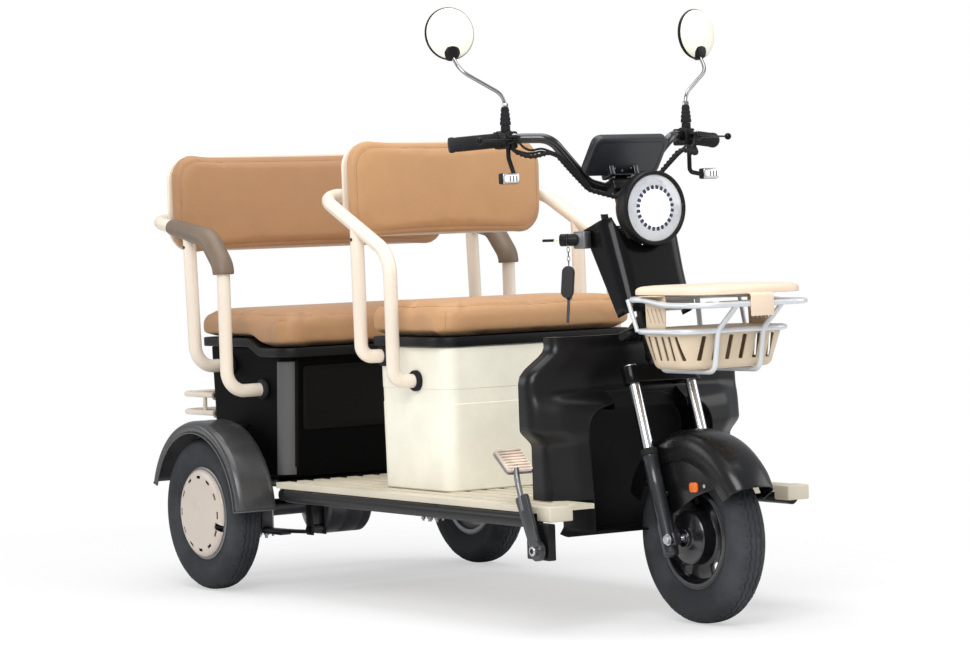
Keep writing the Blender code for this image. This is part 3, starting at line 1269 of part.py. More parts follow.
def front_mudguard():
    """Deep arched shell between the fork legs with a stay down to each slider."""
    wall = MUDGUARD_WALL
    half = FORK_HALF_SPACING - SLIDER_RADIUS - 0.003
    radius = 0.230
    outer = [(0.165, half), (0.207, half), (0.222, half - 0.011), (radius, half - 0.038)]
    inner = [(radius - wall, half - 0.0385), (0.2195, half - 0.0128), (0.206, half - wall),
             (0.165, half - wall)]
    ring = outer + [(r, -y) for r, y in reversed(outer)] + [(r, -y) for r, y in reversed(inner)] + inner
    rings = []
    steps = 8
    for step in range(steps + 1):
        angle = math.radians(30 + 125 * step / steps)
        swell = 1.0 + 0.05 * max(0.0, math.cos(angle)) ** 2
        forward = swell * math.cos(angle)
        upward = swell * math.sin(angle)
        rings.append([(FRONT_AXLE.x + r * forward, y, FRONT_AXLE.z + r * upward) for r, y in ring])
    shell = loft(rings)
    stays = []
    for side in (-1, 1):
        outline = [(-0.100, 0.145), (0.020, 0.178), (0.004, 0.060), (-0.020, 0.034), (-0.046, 0.040)]
        outline = [(FRONT_AXLE.x + x, FRONT_AXLE.z + z) for x, z in outline]
        low, high = sorted((side * (half - wall), side * half))
        stays.append(prism(outline, 1, low, high))
        boss = on_steer(0.105, side * (half - wall / 2))
        boss_end = on_steer(0.105, side * (FORK_HALF_SPACING - SLIDER_RADIUS - GAP))
        stays.append(rod(boss, boss_end, 0.008, 10))
    return fused(shell, *stays)


def bar_route():
    right = [(1.196, 0.0, 0.937), (1.180, -0.062, 0.955), (1.184, -0.165, 1.056), (1.140, -0.215, 1.058),
             (1.081, -0.362, 1.047)]
    corners = list(reversed(right)) + [(x, -y, z) for x, y, z in right[1:]]
    radii = [0, 0.09, 0.045, 0.05, 0.06, 0.05, 0.045, 0.09, 0]
    return fillet(corners, radii)


def on_grip(share, side):
    point = GRIP_INNER.lerp(GRIP_OUTER, share)
    return Vector((point.x, side * point.y, point.z))


def handlebar():
    bar = tube(bar_route(), BAR_RADIUS, 2)
    clamp = block((-0.026, -0.028, 0), (0.022, 0.028, CLAMP_HEIGHT), 0.005, 1)
    return fused(bar, moved(clamp, steer_frame(STEM_TOP + GAP)))


def grip(side):
    """Rubber sleeve with a flange at its inner end, over the outer part of the bar end."""
    first = on_grip(0.245, side)
    second = on_grip(1.0, side)
    length = (second - first).length
    bore = flats(BAR_RADIUS, 8) + GAP
    radius = GRIP_RADIUS
    outline = [(bore, 0), (radius + 0.003, 0), (radius + 0.003, 0.004), (radius, 0.006),
               (radius, length - 0.004), (radius - 0.002, length), (bore, length)]
    return turned(outline, 12, first, second - first, closed=True)


def switch_housing(side, middle):
    """Split housing on the bar with the lever perch and the mirror boss."""
    body = rod(on_grip(0.0, side), on_grip(0.24, side), 0.0205, 12)
    inner, outer = sorted((-side * 0.018, side * 0.009))
    box = block(middle + Vector((BUTTON_FACE, inner, -0.020)), middle + Vector((0.026, outer, 0.018)))
    stem = middle + Vector((0.004, 0, 0))
    rise = Vector((0, 0, 1))
    boss = rod(stem + rise * 0.010, stem + rise * 0.040, 0.0095, 8)
    boot = rod(stem + rise * 0.036, stem + rise * 0.072, 0.0115, 10, 0.0075)
    perch = block(middle + Vector((0.020, -0.010, -0.010)), middle + Vector((0.046, 0.012, 0.008)))
    bore_start = on_grip(-0.3, side)
    bore_end = on_grip(0.6, side)
    bore = rod(bore_start, bore_end, flats(BAR_RADIUS, 8) + GAP, 8)
    lever_room = block(middle + Vector((0.028, -0.014, -0.0045)), middle + Vector((0.050, 0.016, 0.0025)))
    pocket = rod(stem + rise * 0.050, stem + rise * 0.080, flats(MIRROR_STEM, 8) + GAP, 8)
    holes = [bore, lever_room, pocket]
    if side > 0:
        floor = middle + Vector((BUTTON_FACE + 0.0045, HORN_Y, 0))
        holes.append(rod(floor, floor - Vector((0.02, 0, 0)), flats(HORN_RADIUS, 12) + GAP, 12))
    return cut(fused(body, box, boss, boot, perch), *holes)


def lever(side, middle):
    """Brake lever: eye on its pivot, a tapering blade and a ball end."""
    pivot = middle + LEVER_PIVOT
    tip = Vector((1.166, side * 0.338, 1.052))
    waist = pivot.lerp(tip, 0.35) + Vector((0.006, 0, 0))
    eye = rod(pivot - Vector((0, 0, 0.0025)), pivot + Vector((0, 0, 0.0025)), 0.0075, 12)
    blade = tube([pivot, waist, tip], 0.0045, 1, radii=[1.0, 1.2, 0.9])
    flatten = Matrix.Translation(pivot) @ Matrix.Diagonal((1, 1, 0.52, 1)) @ Matrix.Translation(-pivot)
    moved(blade, flatten)
    ball = turned([(0, -0.0085), (0.007, -0.005), (0.007, 0.005), (0, 0.0085)], 8,
                  flatten @ tip, (0, 0, 1))
    return fused(eye, blade, ball)


def mirror(side, foot):
    """Stem out of the rubber boot and a round head with a domed back."""
    head = Vector((1.064, side * 0.338, 1.292))
    normal = Vector((math.cos(math.radians(10)), side * math.sin(math.radians(10)), 0.05)).normalized()
    joint = head + Vector((0.004, 0, -0.050))
    bend = joint.lerp(foot, 0.25) + Vector((0.012, side * 0.02, 0))
    stem_route = fillet([foot, foot + Vector((0, 0, 0.045)), bend, joint], 0.05)
    stem = tube(stem_route, MIRROR_STEM, 1)
    outline = [(0, 0.011), (0.034, 0.009), (0.051, 0.003), (0.058, -0.004), (0.058, -0.009), (0, -0.009)]
    return fused(turned(outline, 18, head, normal), stem)


def turn_signal(side, middle):
    """Lamp block on a stalk below the bar."""
    top = middle + Vector((0.012, 0, -0.020 - GAP))
    if side < 0:
        route = [top, top + Vector((0, 0, -0.020)), (1.176, -0.256, 0.972)]
    else:
        route = [top, top + Vector((0, 0, -0.060)), (1.184, 0.252, 0.966)]
    stalk = tube(route, 0.005, 1)
    lamp = block((1.166, side * 0.272 - 0.022, 0.958), (1.196, side * 0.272 + 0.022, 0.982), 0.004, 1)
    return fused(lamp, stalk)


def display_unit():
    """Rounded display case on a two-armed bracket above the bar clamp."""
    lean = math.atan2(0.060, 0.083)
    frame = Matrix.Translation((1.233, 0, 1.015)) @ Matrix.Rotation(lean, 4, "Y")
    case = block((-0.010, -0.100, -0.050), (0.009, 0.100, 0.050), 0.012, 2, 0)
    moved(case, frame)
    arm = block((-0.004, -0.040, 0.0), (0.036, 0.040, 0.050), 0.004, 1)
    return fused(case, moved(arm, steer_frame(STEM_TOP + CLAMP_HEIGHT + 2 * GAP)))


def cable_loom():
    """Control cables in their wrap: out of one perch, along the bar and into the other perch."""
    right = [(1.161, -0.2463, 1.0457 - GAP), (1.161, -0.2463, 1.030), (1.196, -0.226, 1.014),
             (1.206, -0.172, 1.026),
             (1.203, -0.118, 0.975), (1.203, -0.080, 0.940)]
    route = right + [(1.252, 0.0, 0.912)] + [(x, -y, z) for x, y, z in reversed(right)]
    return tube(fillet(route, 0.03), 0.0055, 0)


def build_steering(vehicle):
    vehicle.piece("fork_upper", fork_upper(), "chrome", "steering")
    vehicle.piece("handlebar", handlebar(), "black_paint", "steering")
    vehicle.piece("display_unit", display_unit(), "black_plastic", "steering")
    vehicle.piece("cable_loom", cable_loom(), "black_rubber", "steering")
    for side, outward in SIDES.items():
        middle = on_grip(HOUSING_SHARE, outward)
        housing = switch_housing(outward, middle)
        vehicle.piece("fork_slider_" + side, fork_slider(outward), "dark_metal", "fork_lower")
        vehicle.piece("switch_housing_" + side, housing, "black_plastic", "steering")
        vehicle.piece("brake_lever_" + side, lever(outward, middle), "black_paint", "brake_lever_" + side)
        vehicle.piece("turn_signal_" + side, turn_signal(outward, middle), "black_plastic", "steering")
        mirror_shape = mirror(outward, middle + MIRROR_FOOT)
        vehicle.piece("mirror_" + side, mirror_shape, "cream_paint", "mirror_" + side)
    vehicle.piece("front_axle", front_axle(), "chrome", "fork_lower")
    vehicle.piece("front_mudguard", front_mudguard(), "black_paint", "fork_lower")
    vehicle.piece("left_grip", grip(1), "black_rubber", "steering")
    vehicle.piece("throttle_grip", grip(-1), "black_rubber", "throttle")
    left_middle = on_grip(HOUSING_SHARE, 1)
    horn_base = left_middle + HORN_BASE
    horn = rod(horn_base, horn_base - Vector((0.0070, 0, 0)), HORN_RADIUS, 12)
    vehicle.piece("horn_button", horn, "brown_plastic", "horn_button")
    switch_base = left_middle + SWITCH_BASE
    switch = block((-0.0050, -0.004, -0.004), (0, 0.004, 0.004), 0.0012, 1)
    moved(switch, Matrix.Translation(switch_base))
    vehicle.piece("turn_switch", switch, "brown_plastic", "turn_switch")


# Foot brake

def brake_pedal():
    """Boss on its pin, a tapered arm, a round bar and the padded foot plate."""
    y = PEDAL_PIVOT.y
    boss_half = Vector((0, 0.0065, 0))
    boss = rod(PEDAL_PIVOT - boss_half, PEDAL_PIVOT + boss_half, 0.022, 12)
    outline = [(1.402, 0.176), (1.378, 0.168), (1.324, 0.288), (1.345, 0.292)]
    arm = prism(outline, 1, y - 0.0045, y + 0.0045)
    bar = tube(fillet([(1.340, y, 0.262), (1.318, y, 0.325), (1.276, -0.345, 0.352)], 0.03), 0.0065, 2)
    pad_frame = Matrix.Translation((1.262, -0.340, 0.366)) @ Matrix.Rotation(math.radians(-52), 4, "Y")
    plate = moved(block((-0.010, -0.034, -0.036), (-0.006, 0.034, 0.036), 0.008, 1, 0), pad_frame)
    foot = moved(block((-0.007, -0.032, -0.034), (0.006, 0.032, 0.034)), pad_frame)
    shape = fused(boss, arm, bar, plate, foot)
    through = Vector((0, 0.05, 0))
    bore_radius = flats(PEDAL_PIN_RADIUS, 8) + RUNNING_GAP
    return cut(shape, rod(PEDAL_PIVOT - through, PEDAL_PIVOT + through, bore_radius, 8))


def build_bodies(vehicle):
    vehicle.body("root", (0, 0, 0))
    vehicle.body("rear_wheel_right", (0, -REAR_TRACK / 2, WHEEL_RADIUS), "root")
    vehicle.body("rear_wheel_left", (0, REAR_TRACK / 2, WHEEL_RADIUS), "root")
    vehicle.body("front_seat", (FRONT_SEAT_FRONT, 0, FRONT_BOX_TOP + GAP), "root")
    vehicle.body("rear_seat", (REAR_SEAT_FRONT, 0, REAR_STEP_LOW), "root")
    vehicle.body("basket_lid", (BASKET_BACK - 0.004, 0, LID_BASE), "root")
    vehicle.body("brake_pedal", PEDAL_PIVOT, "root")
    _, key_start, _ = ignition_lock()
    vehicle.body("ignition_key", key_start, "root")
    vehicle.body("steering", on_steer(HEAD_BOTTOM), "root")
    vehicle.body("fork_lower", on_steer(0.0), "steering")
    vehicle.body("front_wheel", FRONT_AXLE, "fork_lower")
    vehicle.body("throttle", on_grip(0.6, -1), "steering")
    for side, outward in SIDES.items():
        middle = on_grip(HOUSING_SHARE, outward)
        vehicle.body("brake_lever_" + side, middle + LEVER_PIVOT, "steering")
        vehicle.body("mirror_" + side, middle + MIRROR_FOOT, "steering")
    left_middle = on_grip(HOUSING_SHARE, 1)
    vehicle.body("horn_button", left_middle + HORN_BASE, "steering")
    vehicle.body("turn_switch", left_middle + SWITCH_BASE, "steering")


def main():
    clear_scene()
    vehicle = Vehicle()
    build_bodies(vehicle)
    build_wheels(vehicle)
    build_chassis(vehicle)
    build_seats(vehicle)
    build_front(vehicle)
    build_steering(vehicle)
    vehicle.piece("brake_pedal", brake_pedal(), "dark_metal", "brake_pedal")


main()
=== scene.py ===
"""Looks of the electric passenger tricycle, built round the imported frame.

Places are written as in the vehicle: X forward from the rear axle line, Y to the rider's left,
Z up from the ground, in metres. piece() moves them to the frame's own coordinates.
"""

import math

import bmesh
import bpy
from mathutils import Matrix, Vector
from mathutils.bvhtree import BVHTree


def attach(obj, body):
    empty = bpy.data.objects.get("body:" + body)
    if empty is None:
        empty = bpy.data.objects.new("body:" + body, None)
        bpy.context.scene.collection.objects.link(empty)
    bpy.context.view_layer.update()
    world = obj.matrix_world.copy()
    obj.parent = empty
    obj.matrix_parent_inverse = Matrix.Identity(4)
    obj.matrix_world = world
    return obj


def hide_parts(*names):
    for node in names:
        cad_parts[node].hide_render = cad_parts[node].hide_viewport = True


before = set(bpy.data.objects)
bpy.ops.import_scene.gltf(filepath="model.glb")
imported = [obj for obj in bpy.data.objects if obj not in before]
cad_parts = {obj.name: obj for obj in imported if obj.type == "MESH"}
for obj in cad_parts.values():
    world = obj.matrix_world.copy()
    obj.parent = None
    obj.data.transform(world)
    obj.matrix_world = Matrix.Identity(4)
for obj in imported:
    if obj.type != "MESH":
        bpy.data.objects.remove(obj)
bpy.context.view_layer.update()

CENTRE_X = 0.69115
SIDES = {"right": -1, "left": 1}
RAKE = math.radians(18.0)
FORWARD = Vector((math.cos(RAKE), 0.0, math.sin(RAKE)))
UP = Vector((-math.sin(RAKE), 0.0, math.cos(RAKE)))
ACROSS = Vector((0.0, 1.0, 0.0))
WHEEL_HEIGHT = 0.187
FRONT_AXLE = Vector((1.475, 0.0, WHEEL_HEIGHT))
STEER_FOOT = FRONT_AXLE - FORWARD * 0.022
TRACK = 0.772


# Shader nodes

class Value:
    """A shader value that Python's own operators work on."""

    def __init__(self, finish, socket):
        self.finish = finish
        self.socket = socket

    def math(self, operation, other):
        return self.finish.node("ShaderNodeMath", {"operation": operation}, self, other)

    def __add__(self, other):
        return self.math("ADD", other)

    __radd__ = __add__

    def __sub__(self, other):
        return self.math("SUBTRACT", other)

    def __mul__(self, other):
        return self.math("MULTIPLY", other)

    def between(self, low, high):
        """0 at low and 1 at high, eased and kept within that range."""
        return self.finish.node(
            "ShaderNodeMapRange", {"interpolation_type": "SMOOTHSTEP"}, self, low, high, 0.0, 1.0)


class Finish:
    """One material: its Principled shader and the nodes that feed it."""

    def __init__(self, name, slot, colour, roughness, metallic=0.0, **fixed):
        self.slot = slot
        self.material = bpy.data.materials.new(name)
        self.material.use_nodes = True
        self.tree = self.material.node_tree
        self.shader = self.tree.nodes["Principled BSDF"]
        self.shader.inputs["Base Color"].default_value = (*colour, 1.0)
        self.shader.inputs["Roughness"].default_value = roughness
        self.shader.inputs["Metallic"].default_value = metallic
        for socket, value in fixed.items():
            self.shader.inputs[socket.replace("_", " ")].default_value = value
        self.colour = (*colour, 1.0)
        self.roughness = roughness
        self.places = None

    def node(self, kind, settings, *inputs, output=0, **named):
        """Adds a node, with settings first and then the values or links of its sockets."""
        made = self.tree.nodes.new(kind)
        for setting, value in settings.items():
            setattr(made, setting, value)
        sockets = list(zip([s for s in made.inputs if s.enabled], inputs))
        sockets += [(made.inputs[name.replace("_", " ")], value) for name, value in named.items()]
        for socket, value in sockets:
            if isinstance(value, Value):
                self.tree.links.new(value.socket, socket)
            elif value is not None:
                socket.default_value = value
        outputs = [s for s in made.outputs if s.enabled]
        return Value(self, outputs[output] if isinstance(output, int) else made.outputs[output])

    def object_place(self):
        if self.places is None:
            self.places = self.node("ShaderNodeTexCoord", {}, output="Object")
        return self.places

    def stretched(self, scale):
        return self.node("ShaderNodeVectorMath", {"operation": "MULTIPLY"}, self.object_place(), scale)

    def noise(self, scale, detail=4.0, rough=0.55, where=None):
        return self.node("ShaderNodeTexNoise", {}, Vector=where or self.object_place(), Scale=scale,
                         Detail=detail, Roughness=rough, output="Fac")

    def cells(self, scale, where=None, feature="F1"):
        return self.node("ShaderNodeTexVoronoi", {"feature": feature}, Vector=where or self.object_place(),
                         Scale=scale, output="Distance")

    def mix(self, share, first, second):
        made = self.tree.nodes.new("ShaderNodeMix")
        made.data_type = "RGBA"
        for index, value in ((0, share), (6, first), (7, second)):
            if isinstance(value, Value):
                self.tree.links.new(value.socket, made.inputs[index])
            else:
                made.inputs[index].default_value = value
        return Value(self, made.outputs[2])

    def shade(self, colour):
        self.tree.links.new(colour.socket, self.shader.inputs["Base Color"])
        return self

    def rough(self, value):
        self.tree.links.new(value.socket, self.shader.inputs["Roughness"])
        return self

    def metal(self, value):
        self.tree.links.new(value.socket, self.shader.inputs["Metallic"])
        return self

    def raised(self, height, strength, depth):
        bump = self.node("ShaderNodeBump", {}, Strength=strength, Distance=depth, Height=height)
        self.tree.links.new(bump.socket, self.shader.inputs["Normal"])
        return self


def tint(colour, factor):
    return tuple(min(1.0, channel * factor) for channel in colour[:3]) + (1.0,)


def leather(name, slot, colour):
    """Soft grained upholstery leather: pebble cells, fine creases and a slow change of tone."""
    made = Finish(name, slot, colour, 0.5, Specular_IOR_Level=0.42, Sheen_Weight=0.12, Sheen_Roughness=0.5)
    slow = made.noise(5.0, 3.0)
    blotch = made.noise(26.0, 5.0)
    pebble = made.cells(620.0)
    crease = made.noise(240.0, 6.0, 0.7)
    tone = slow * 0.6 + blotch * 0.4
    base = made.mix(tone.between(0.32, 0.68), tint(colour, 0.95), tint(colour, 1.04))
    made.shade(made.mix(pebble.between(0.3, 0.75) * 0.16, base, tint(colour, 0.72)))
    made.rough(0.44 + blotch * 0.16 + crease * 0.06)
    return made.raised(crease * 0.5 - pebble * 0.6, 0.22, 0.0006)


def moulded(name, slot, colour, roughness, grain=900.0, depth=0.00025, dust_and_sheen=0.0, shine=0.45):
    """Injection moulded plastic with a fine eroded grain and a slight change of tone."""
    made = Finish(name, slot, colour, roughness, Specular_IOR_Level=shine)
    slow = made.noise(7.0, 4.0)
    fine = made.noise(grain, 2.0, 0.5)
    base = made.mix(slow.between(0.3, 0.7), tint(colour, 0.93), tint(colour, 1.05))
    # Pale patches laid in at random: dust on the floor plate; on the rear mudguards they are painted sheen,
    # standing in for the grey gloss.
    if dust_and_sheen:
        patch = made.noise(14.0, 6.0, 0.65)
        base = made.mix(patch.between(0.45, 0.85) * dust_and_sheen, base, (0.3, 0.28, 0.25, 1.0))
    made.shade(base)
    made.rough(roughness - 0.05 + slow * 0.12)
    return made.raised(fine, 0.12, depth)


def painted(name, slot, colour, roughness, coat=0.6, flake=0.0, shine=0.5):
    """Sprayed paint under a clear coat, with a little orange peel and rubbed places."""
    made = Finish(name, slot, colour, roughness, Specular_IOR_Level=shine, Coat_Weight=coat,
                  Coat_Roughness=0.08)
    slow = made.noise(4.0, 4.0)
    peel = made.noise(160.0, 2.0, 0.4)
    rub = made.noise(45.0, 8.0, 0.75)
    made.shade(made.mix(slow.between(0.3, 0.7), tint(colour, 0.94), tint(colour, 1.05)))
    made.rough(roughness + rub.between(0.55, 0.85) * 0.12 + slow * 0.04)
    if flake:
        made.metal(slow * flake)
    return made.raised(peel, 0.05, 0.0004)


def bare_metal(name, slot, colour, roughness, grain=(30.0, 30.0, 900.0)):
    """Plated or machined metal with fine draw marks and a few dull spots."""
    made = Finish(name, slot, colour, roughness, 1.0)
    marks = made.noise(1.0, 5.0, 0.6, made.stretched(grain))
    spots = made.noise(60.0, 6.0, 0.7)
    made.shade(made.mix(spots.between(0.45, 0.8) * 0.5, (*colour, 1.0), tint(colour, 0.72)))
    made.rough(roughness + spots.between(0.5, 0.8) * 0.18 + marks * 0.05)
    return made.raised(marks, 0.04, 0.0002)


def rubber(name, slot, colour=(0.01, 0.01, 0.011), shine=0.2):
    made = Finish(name, slot, colour, 0.72, Specular_IOR_Level=shine)
    slow = made.noise(9.0, 5.0)
    fine = made.noise(700.0, 3.0)
    made.shade(made.mix(slow.between(0.4, 0.75), (*colour, 1.0), tint(colour, 2.2)))
    made.rough(0.62 + slow * 0.2)
    return made.raised(fine, 0.2, 0.0003)


def lamp_finish(name, colour, roughness, light):
    made = Finish(name, "lamp_white", colour, roughness, Emission_Strength=light)
    flutes = made.noise(90.0, 3.0)
    made.shade(made.mix(flutes.between(0.3, 0.7), tint(colour, 0.92), (*colour, 1.0)))
    made.rough(roughness + flutes * 0.1)
    made.shader.inputs["Emission Color"].default_value = (1.0, 1.0, 1.0, 1.0)
    return made


def clear_glass():
    made = Finish("lamp_glass", "lamp_white", (0.96, 0.97, 0.98), 0.05, Transmission_Weight=1.0, IOR=1.45)
    rub = made.noise(60.0, 5.0)
    made.shade(made.mix(rub.between(0.4, 0.8), (0.97, 0.98, 0.99, 1.0), (0.93, 0.94, 0.95, 1.0)))
    made.rough(0.03 + rub.between(0.5, 0.85) * 0.06)
    return made


def amber_finish():
    made = Finish("amber_reflector", "lamp_white", (0.85, 0.17, 0.02), 0.16)
    prisms = made.cells(700.0)
    made.shade(made.mix(prisms.between(0.2, 0.8), (0.95, 0.24, 0.04, 1.0), (0.62, 0.09, 0.012, 1.0)))
    made.rough(0.14 + prisms * 0.12)
    made.raised(prisms, 0.35, 0.0004)
    return made


# Shapes, as bmesh in the vehicle's own places

def cleaned(shape, merge=1e-5):
    bmesh.ops.remove_doubles(shape, verts=shape.verts, dist=merge)
    bmesh.ops.recalc_face_normals(shape, faces=shape.faces)
    return shape


def moved(shape, matrix):
    bmesh.ops.transform(shape, matrix=matrix, verts=shape.verts)
    return shape


def axes_frame(origin, first, second, third):
    made = Matrix.Identity(4)
    for column, direction in enumerate((first, second, third)):
        for row in range(3):
            made[row][column] = direction[row]
    made.translation = Vector(origin)
    return made


def on_steer(along, side=0.0, ahead=0.0):
    """Point along the raked steering axis, sideways from it and ahead of it."""
    return STEER_FOOT + UP * along + ACROSS * side + FORWARD * ahead


def steer_frame(along=0.0, side=0.0, ahead=0.0):
    return axes_frame(on_steer(along, side, ahead), FORWARD, ACROSS, UP)


def linked(name, data):
    """New object in the scene that holds a mesh, curve, light or camera."""
    made = bpy.data.objects.new(name, data)
    bpy.context.scene.collection.objects.link(made)
    return made


def mesh_of(name, shape):
    mesh = bpy.data.meshes.new(name)
    shape.to_mesh(mesh)
    shape.free()
    return mesh


def turned_at(place, degrees, axis="Y"):
    """Matrix that turns a shape about an axis and sets it at a place."""
    return Matrix.Translation(place) @ Matrix.Rotation(math.radians(degrees), 4, axis)


def bevelled(shape, edges, offset, segments, clamped=False):
    bmesh.ops.bevel(shape, geom=edges, offset=offset, segments=segments, affect="EDGES",
                    profile=0.5, material=-1, clamp_overlap=clamped)
    return shape


def block(low, high, bevel=0.0, segments=3):
    """Box between two corners, with rounded edges."""
    low = Vector(low)
    high = Vector(high)
    shape = bmesh.new()
    bmesh.ops.create_cube(shape, size=1.0)
    bmesh.ops.scale(shape, vec=high - low, verts=shape.verts)
    bmesh.ops.translate(shape, vec=(low + high) / 2, verts=shape.verts)
    if bevel:
        bevelled(shape, list(shape.edges), bevel, segments)
    return shape


def between(first, second, bevel=0.0, segments=3):
    """Box between any two opposite corners."""
    pairs = list(zip(first, second))
    return block([min(pair) for pair in pairs], [max(pair) for pair in pairs], bevel, segments)


def prism(outline, axis, low, high, bevel=0.0, segments=2):
    """Outline in the plane across an axis, extruded from low to high, with softened rims."""
    shape = bmesh.new()
    corners = []
    for first, second in outline:
        point = [first, second]
        point.insert(axis, low)
        corners.append(shape.verts.new(point))
    face = shape.faces.new(corners)
    raised = bmesh.ops.extrude_face_region(shape, geom=[face])["geom"]
    shift = Vector((0.0, 0.0, 0.0))
    shift[axis] = high - low
    bmesh.ops.translate(shape, vec=shift,
                        verts=[item for item in raised if isinstance(item, bmesh.types.BMVert)])
    cleaned(shape)
    if bevel:
        rims = [edge for edge in shape.edges
                if abs((edge.verts[1].co - edge.verts[0].co).normalized()[axis]) < 0.5]
        bevelled(shape, rims, bevel, segments)
    return shape


def ring_of(shape, points):
    corners = [shape.verts.new(point) for point in points]
    return [shape.edges.new(pair) for pair in zip(corners, corners[1:] + corners[:1])]


def loft(rings, ends=True):
    """Skin through closed rings, bridged one to the next."""
    shape = bmesh.new()
    loops = [ring_of(shape, ring) for ring in rings]
    for lower, upper in zip(loops, loops[1:]):
        bmesh.ops.bridge_loops(shape, edges=lower + upper)
    if ends:
        bmesh.ops.contextual_create(shape, geom=loops[0])
        bmesh.ops.contextual_create(shape, geom=loops[-1])
    return cleaned(shape)


def ribbon(lines):
    """Open skin through open lines of points, one bridged to the next."""
    shape = bmesh.new()
    strips = []
    for line in lines:
        points = [shape.verts.new(point) for point in line]
        strips.append([shape.edges.new(pair) for pair in zip(points, points[1:])])
    for lower, upper in zip(strips, strips[1:]):
        bmesh.ops.bridge_loops(shape, edges=lower + upper)
    return cleaned(shape)


def turned(profile, centre, axis, sides=48, closed=False):
    """Shape turned from (radius, distance along the axis) points."""
    shape = bmesh.new()
    points = [shape.verts.new((radius, 0.0, along)) for radius, along in profile]
    pairs = list(zip(points, points[1:]))
    if closed:
        pairs.append((points[-1], points[0]))
    edges = [shape.edges.new(pair) for pair in pairs]
    bmesh.ops.spin(shape, geom=points + edges, cent=(0, 0, 0), axis=(0, 0, 1),
                   angle=2 * math.pi, steps=sides, use_merge=True)
    direction = Vector(axis).normalized()
    reference = Vector((1, 0, 0)) if abs(direction.x) < 0.8 else Vector((0, 0, 1))
    second = direction.cross(reference).normalized()
    moved(shape, axes_frame(centre, second.cross(direction), second, direction))
    return cleaned(shape)


def rod(start, end, radius, sides=24, end_radius=None, bevel=0.0):
    """Round bar between two points, with eased ends."""
    start = Vector(start)
    end = Vector(end)
    length = (end - start).length
    far = radius if end_radius is None else end_radius
    profile = [(0, 0), (radius - bevel, 0), (radius, bevel), (far, length - bevel),
               (far - bevel, length), (0, length)]
    if not bevel:
        profile = [(0, 0), (radius, 0), (far, length), (0, length)]
    return turned(profile, start, end - start, sides)


def fillet(points, radius, closed=False, step=9.0):
    """Polyline whose corners are arcs. A radius may be given for each point; 0 keeps a corner."""
    corners = [Vector(point) for point in points]
    count = len(corners)
    result = []
    for index, corner in enumerate(corners):
        wanted = radius[index] if isinstance(radius, (list, tuple)) else radius
        if wanted == 0 or (not closed and index in (0, count - 1)):
            result.append(corner)
            continue
        before = corners[index - 1] - corner
        after = corners[(index + 1) % count] - corner
        angle = before.angle(after)
        if math.pi - angle < 0.01:
            result.append(corner)
            continue
        reach = min(wanted / math.tan(angle / 2), 0.49 * before.length, 0.49 * after.length)
        real = reach * math.tan(angle / 2)
        bisector = (before.normalized() + after.normalized()).normalized()
        middle = corner + bisector * (real / math.sin(angle / 2))
        start = (corner + before.normalized() * reach - middle).normalized()
        end = (corner + after.normalized() * reach - middle).normalized()
        steps = max(2, round(math.degrees(math.pi - angle) / step))
        result.extend(middle + start.slerp(end, share / steps) * real for share in range(steps + 1))
    return result


def rounded(corners, radii, step=9.0):
    """Closed outline with arcs at its corners, as (first, second) pairs."""
    points = fillet([(first, second, 0) for first, second in corners], radii, True, step)
    return [(point.x, point.y) for point in points]


def rectangle(low, high, radius, step=9.0):
    return rounded([low, (high[0], low[1]), high, (low[0], high[1])], radius, step)


def evaluated(holder):
    graph = bpy.context.evaluated_depsgraph_get()
    graph.update()
    shape = bmesh.new()
    shape.from_mesh(holder.evaluated_get(graph).to_mesh())
    return shape


def holder_of(shape):
    return linked("shape", mesh_of("shape", shape))


def discard(*holders):
    for holder in holders:
        bpy.data.objects.remove(holder, do_unlink=True)


def tube(points, radius, resolution=6, cyclic=False, radii=None):
    """Round tube along a route."""
    curve = bpy.data.curves.new("route", "CURVE")
    curve.dimensions = "3D"
    curve.bevel_depth = radius
    curve.bevel_resolution = resolution
    curve.use_fill_caps = not cyclic
    spline = curve.splines.new("POLY")
    spline.points.add(len(points) - 1)
    for index, point in enumerate(points):
        spline.points[index].co = (*point, 1.0)
        if radii:
            spline.points[index].radius = radii[index]
    spline.use_cyclic_u = cyclic
    holder = linked("route", curve)
    shape = evaluated(holder)
    discard(holder)
    return cleaned(shape)


def combine(base, tools, operation):
    holder = holder_of(base)
    others = [holder_of(tool) for tool in tools]
    for other in others:
        step = holder.modifiers.new("step", "BOOLEAN")
        step.operation = operation
        step.solver = "EXACT"
        step.object = other
    shape = evaluated(holder)
    discard(holder, *others)
    return cleaned(shape)


def cut(base, *tools):
    return combine(base, tools, "DIFFERENCE")


def fused(base, *tools):
    return combine(base, tools, "UNION")


def joined(*shapes):
    """Several shapes in one mesh, laid together without melting them."""
    whole = bmesh.new()
    for shape in shapes:
        mesh = mesh_of("part", shape)
        whole.from_mesh(mesh)
        bpy.data.meshes.remove(mesh)
    return whole


def softened(shape, offset, segments=2, sharper=30.0):
    """Bevels every edge that turns by more than the given angle."""
    limit = math.radians(sharper)
    edges = [edge for edge in shape.edges
             if len(edge.link_faces) == 2 and edge.calc_face_angle(0.0) > limit]
    return bevelled(shape, edges, offset, segments, True)


def thickened(skin, thickness):
    bmesh.ops.solidify(skin, geom=list(skin.faces), thickness=thickness)
    bmesh.ops.recalc_face_normals(skin, faces=skin.faces)
    return skin


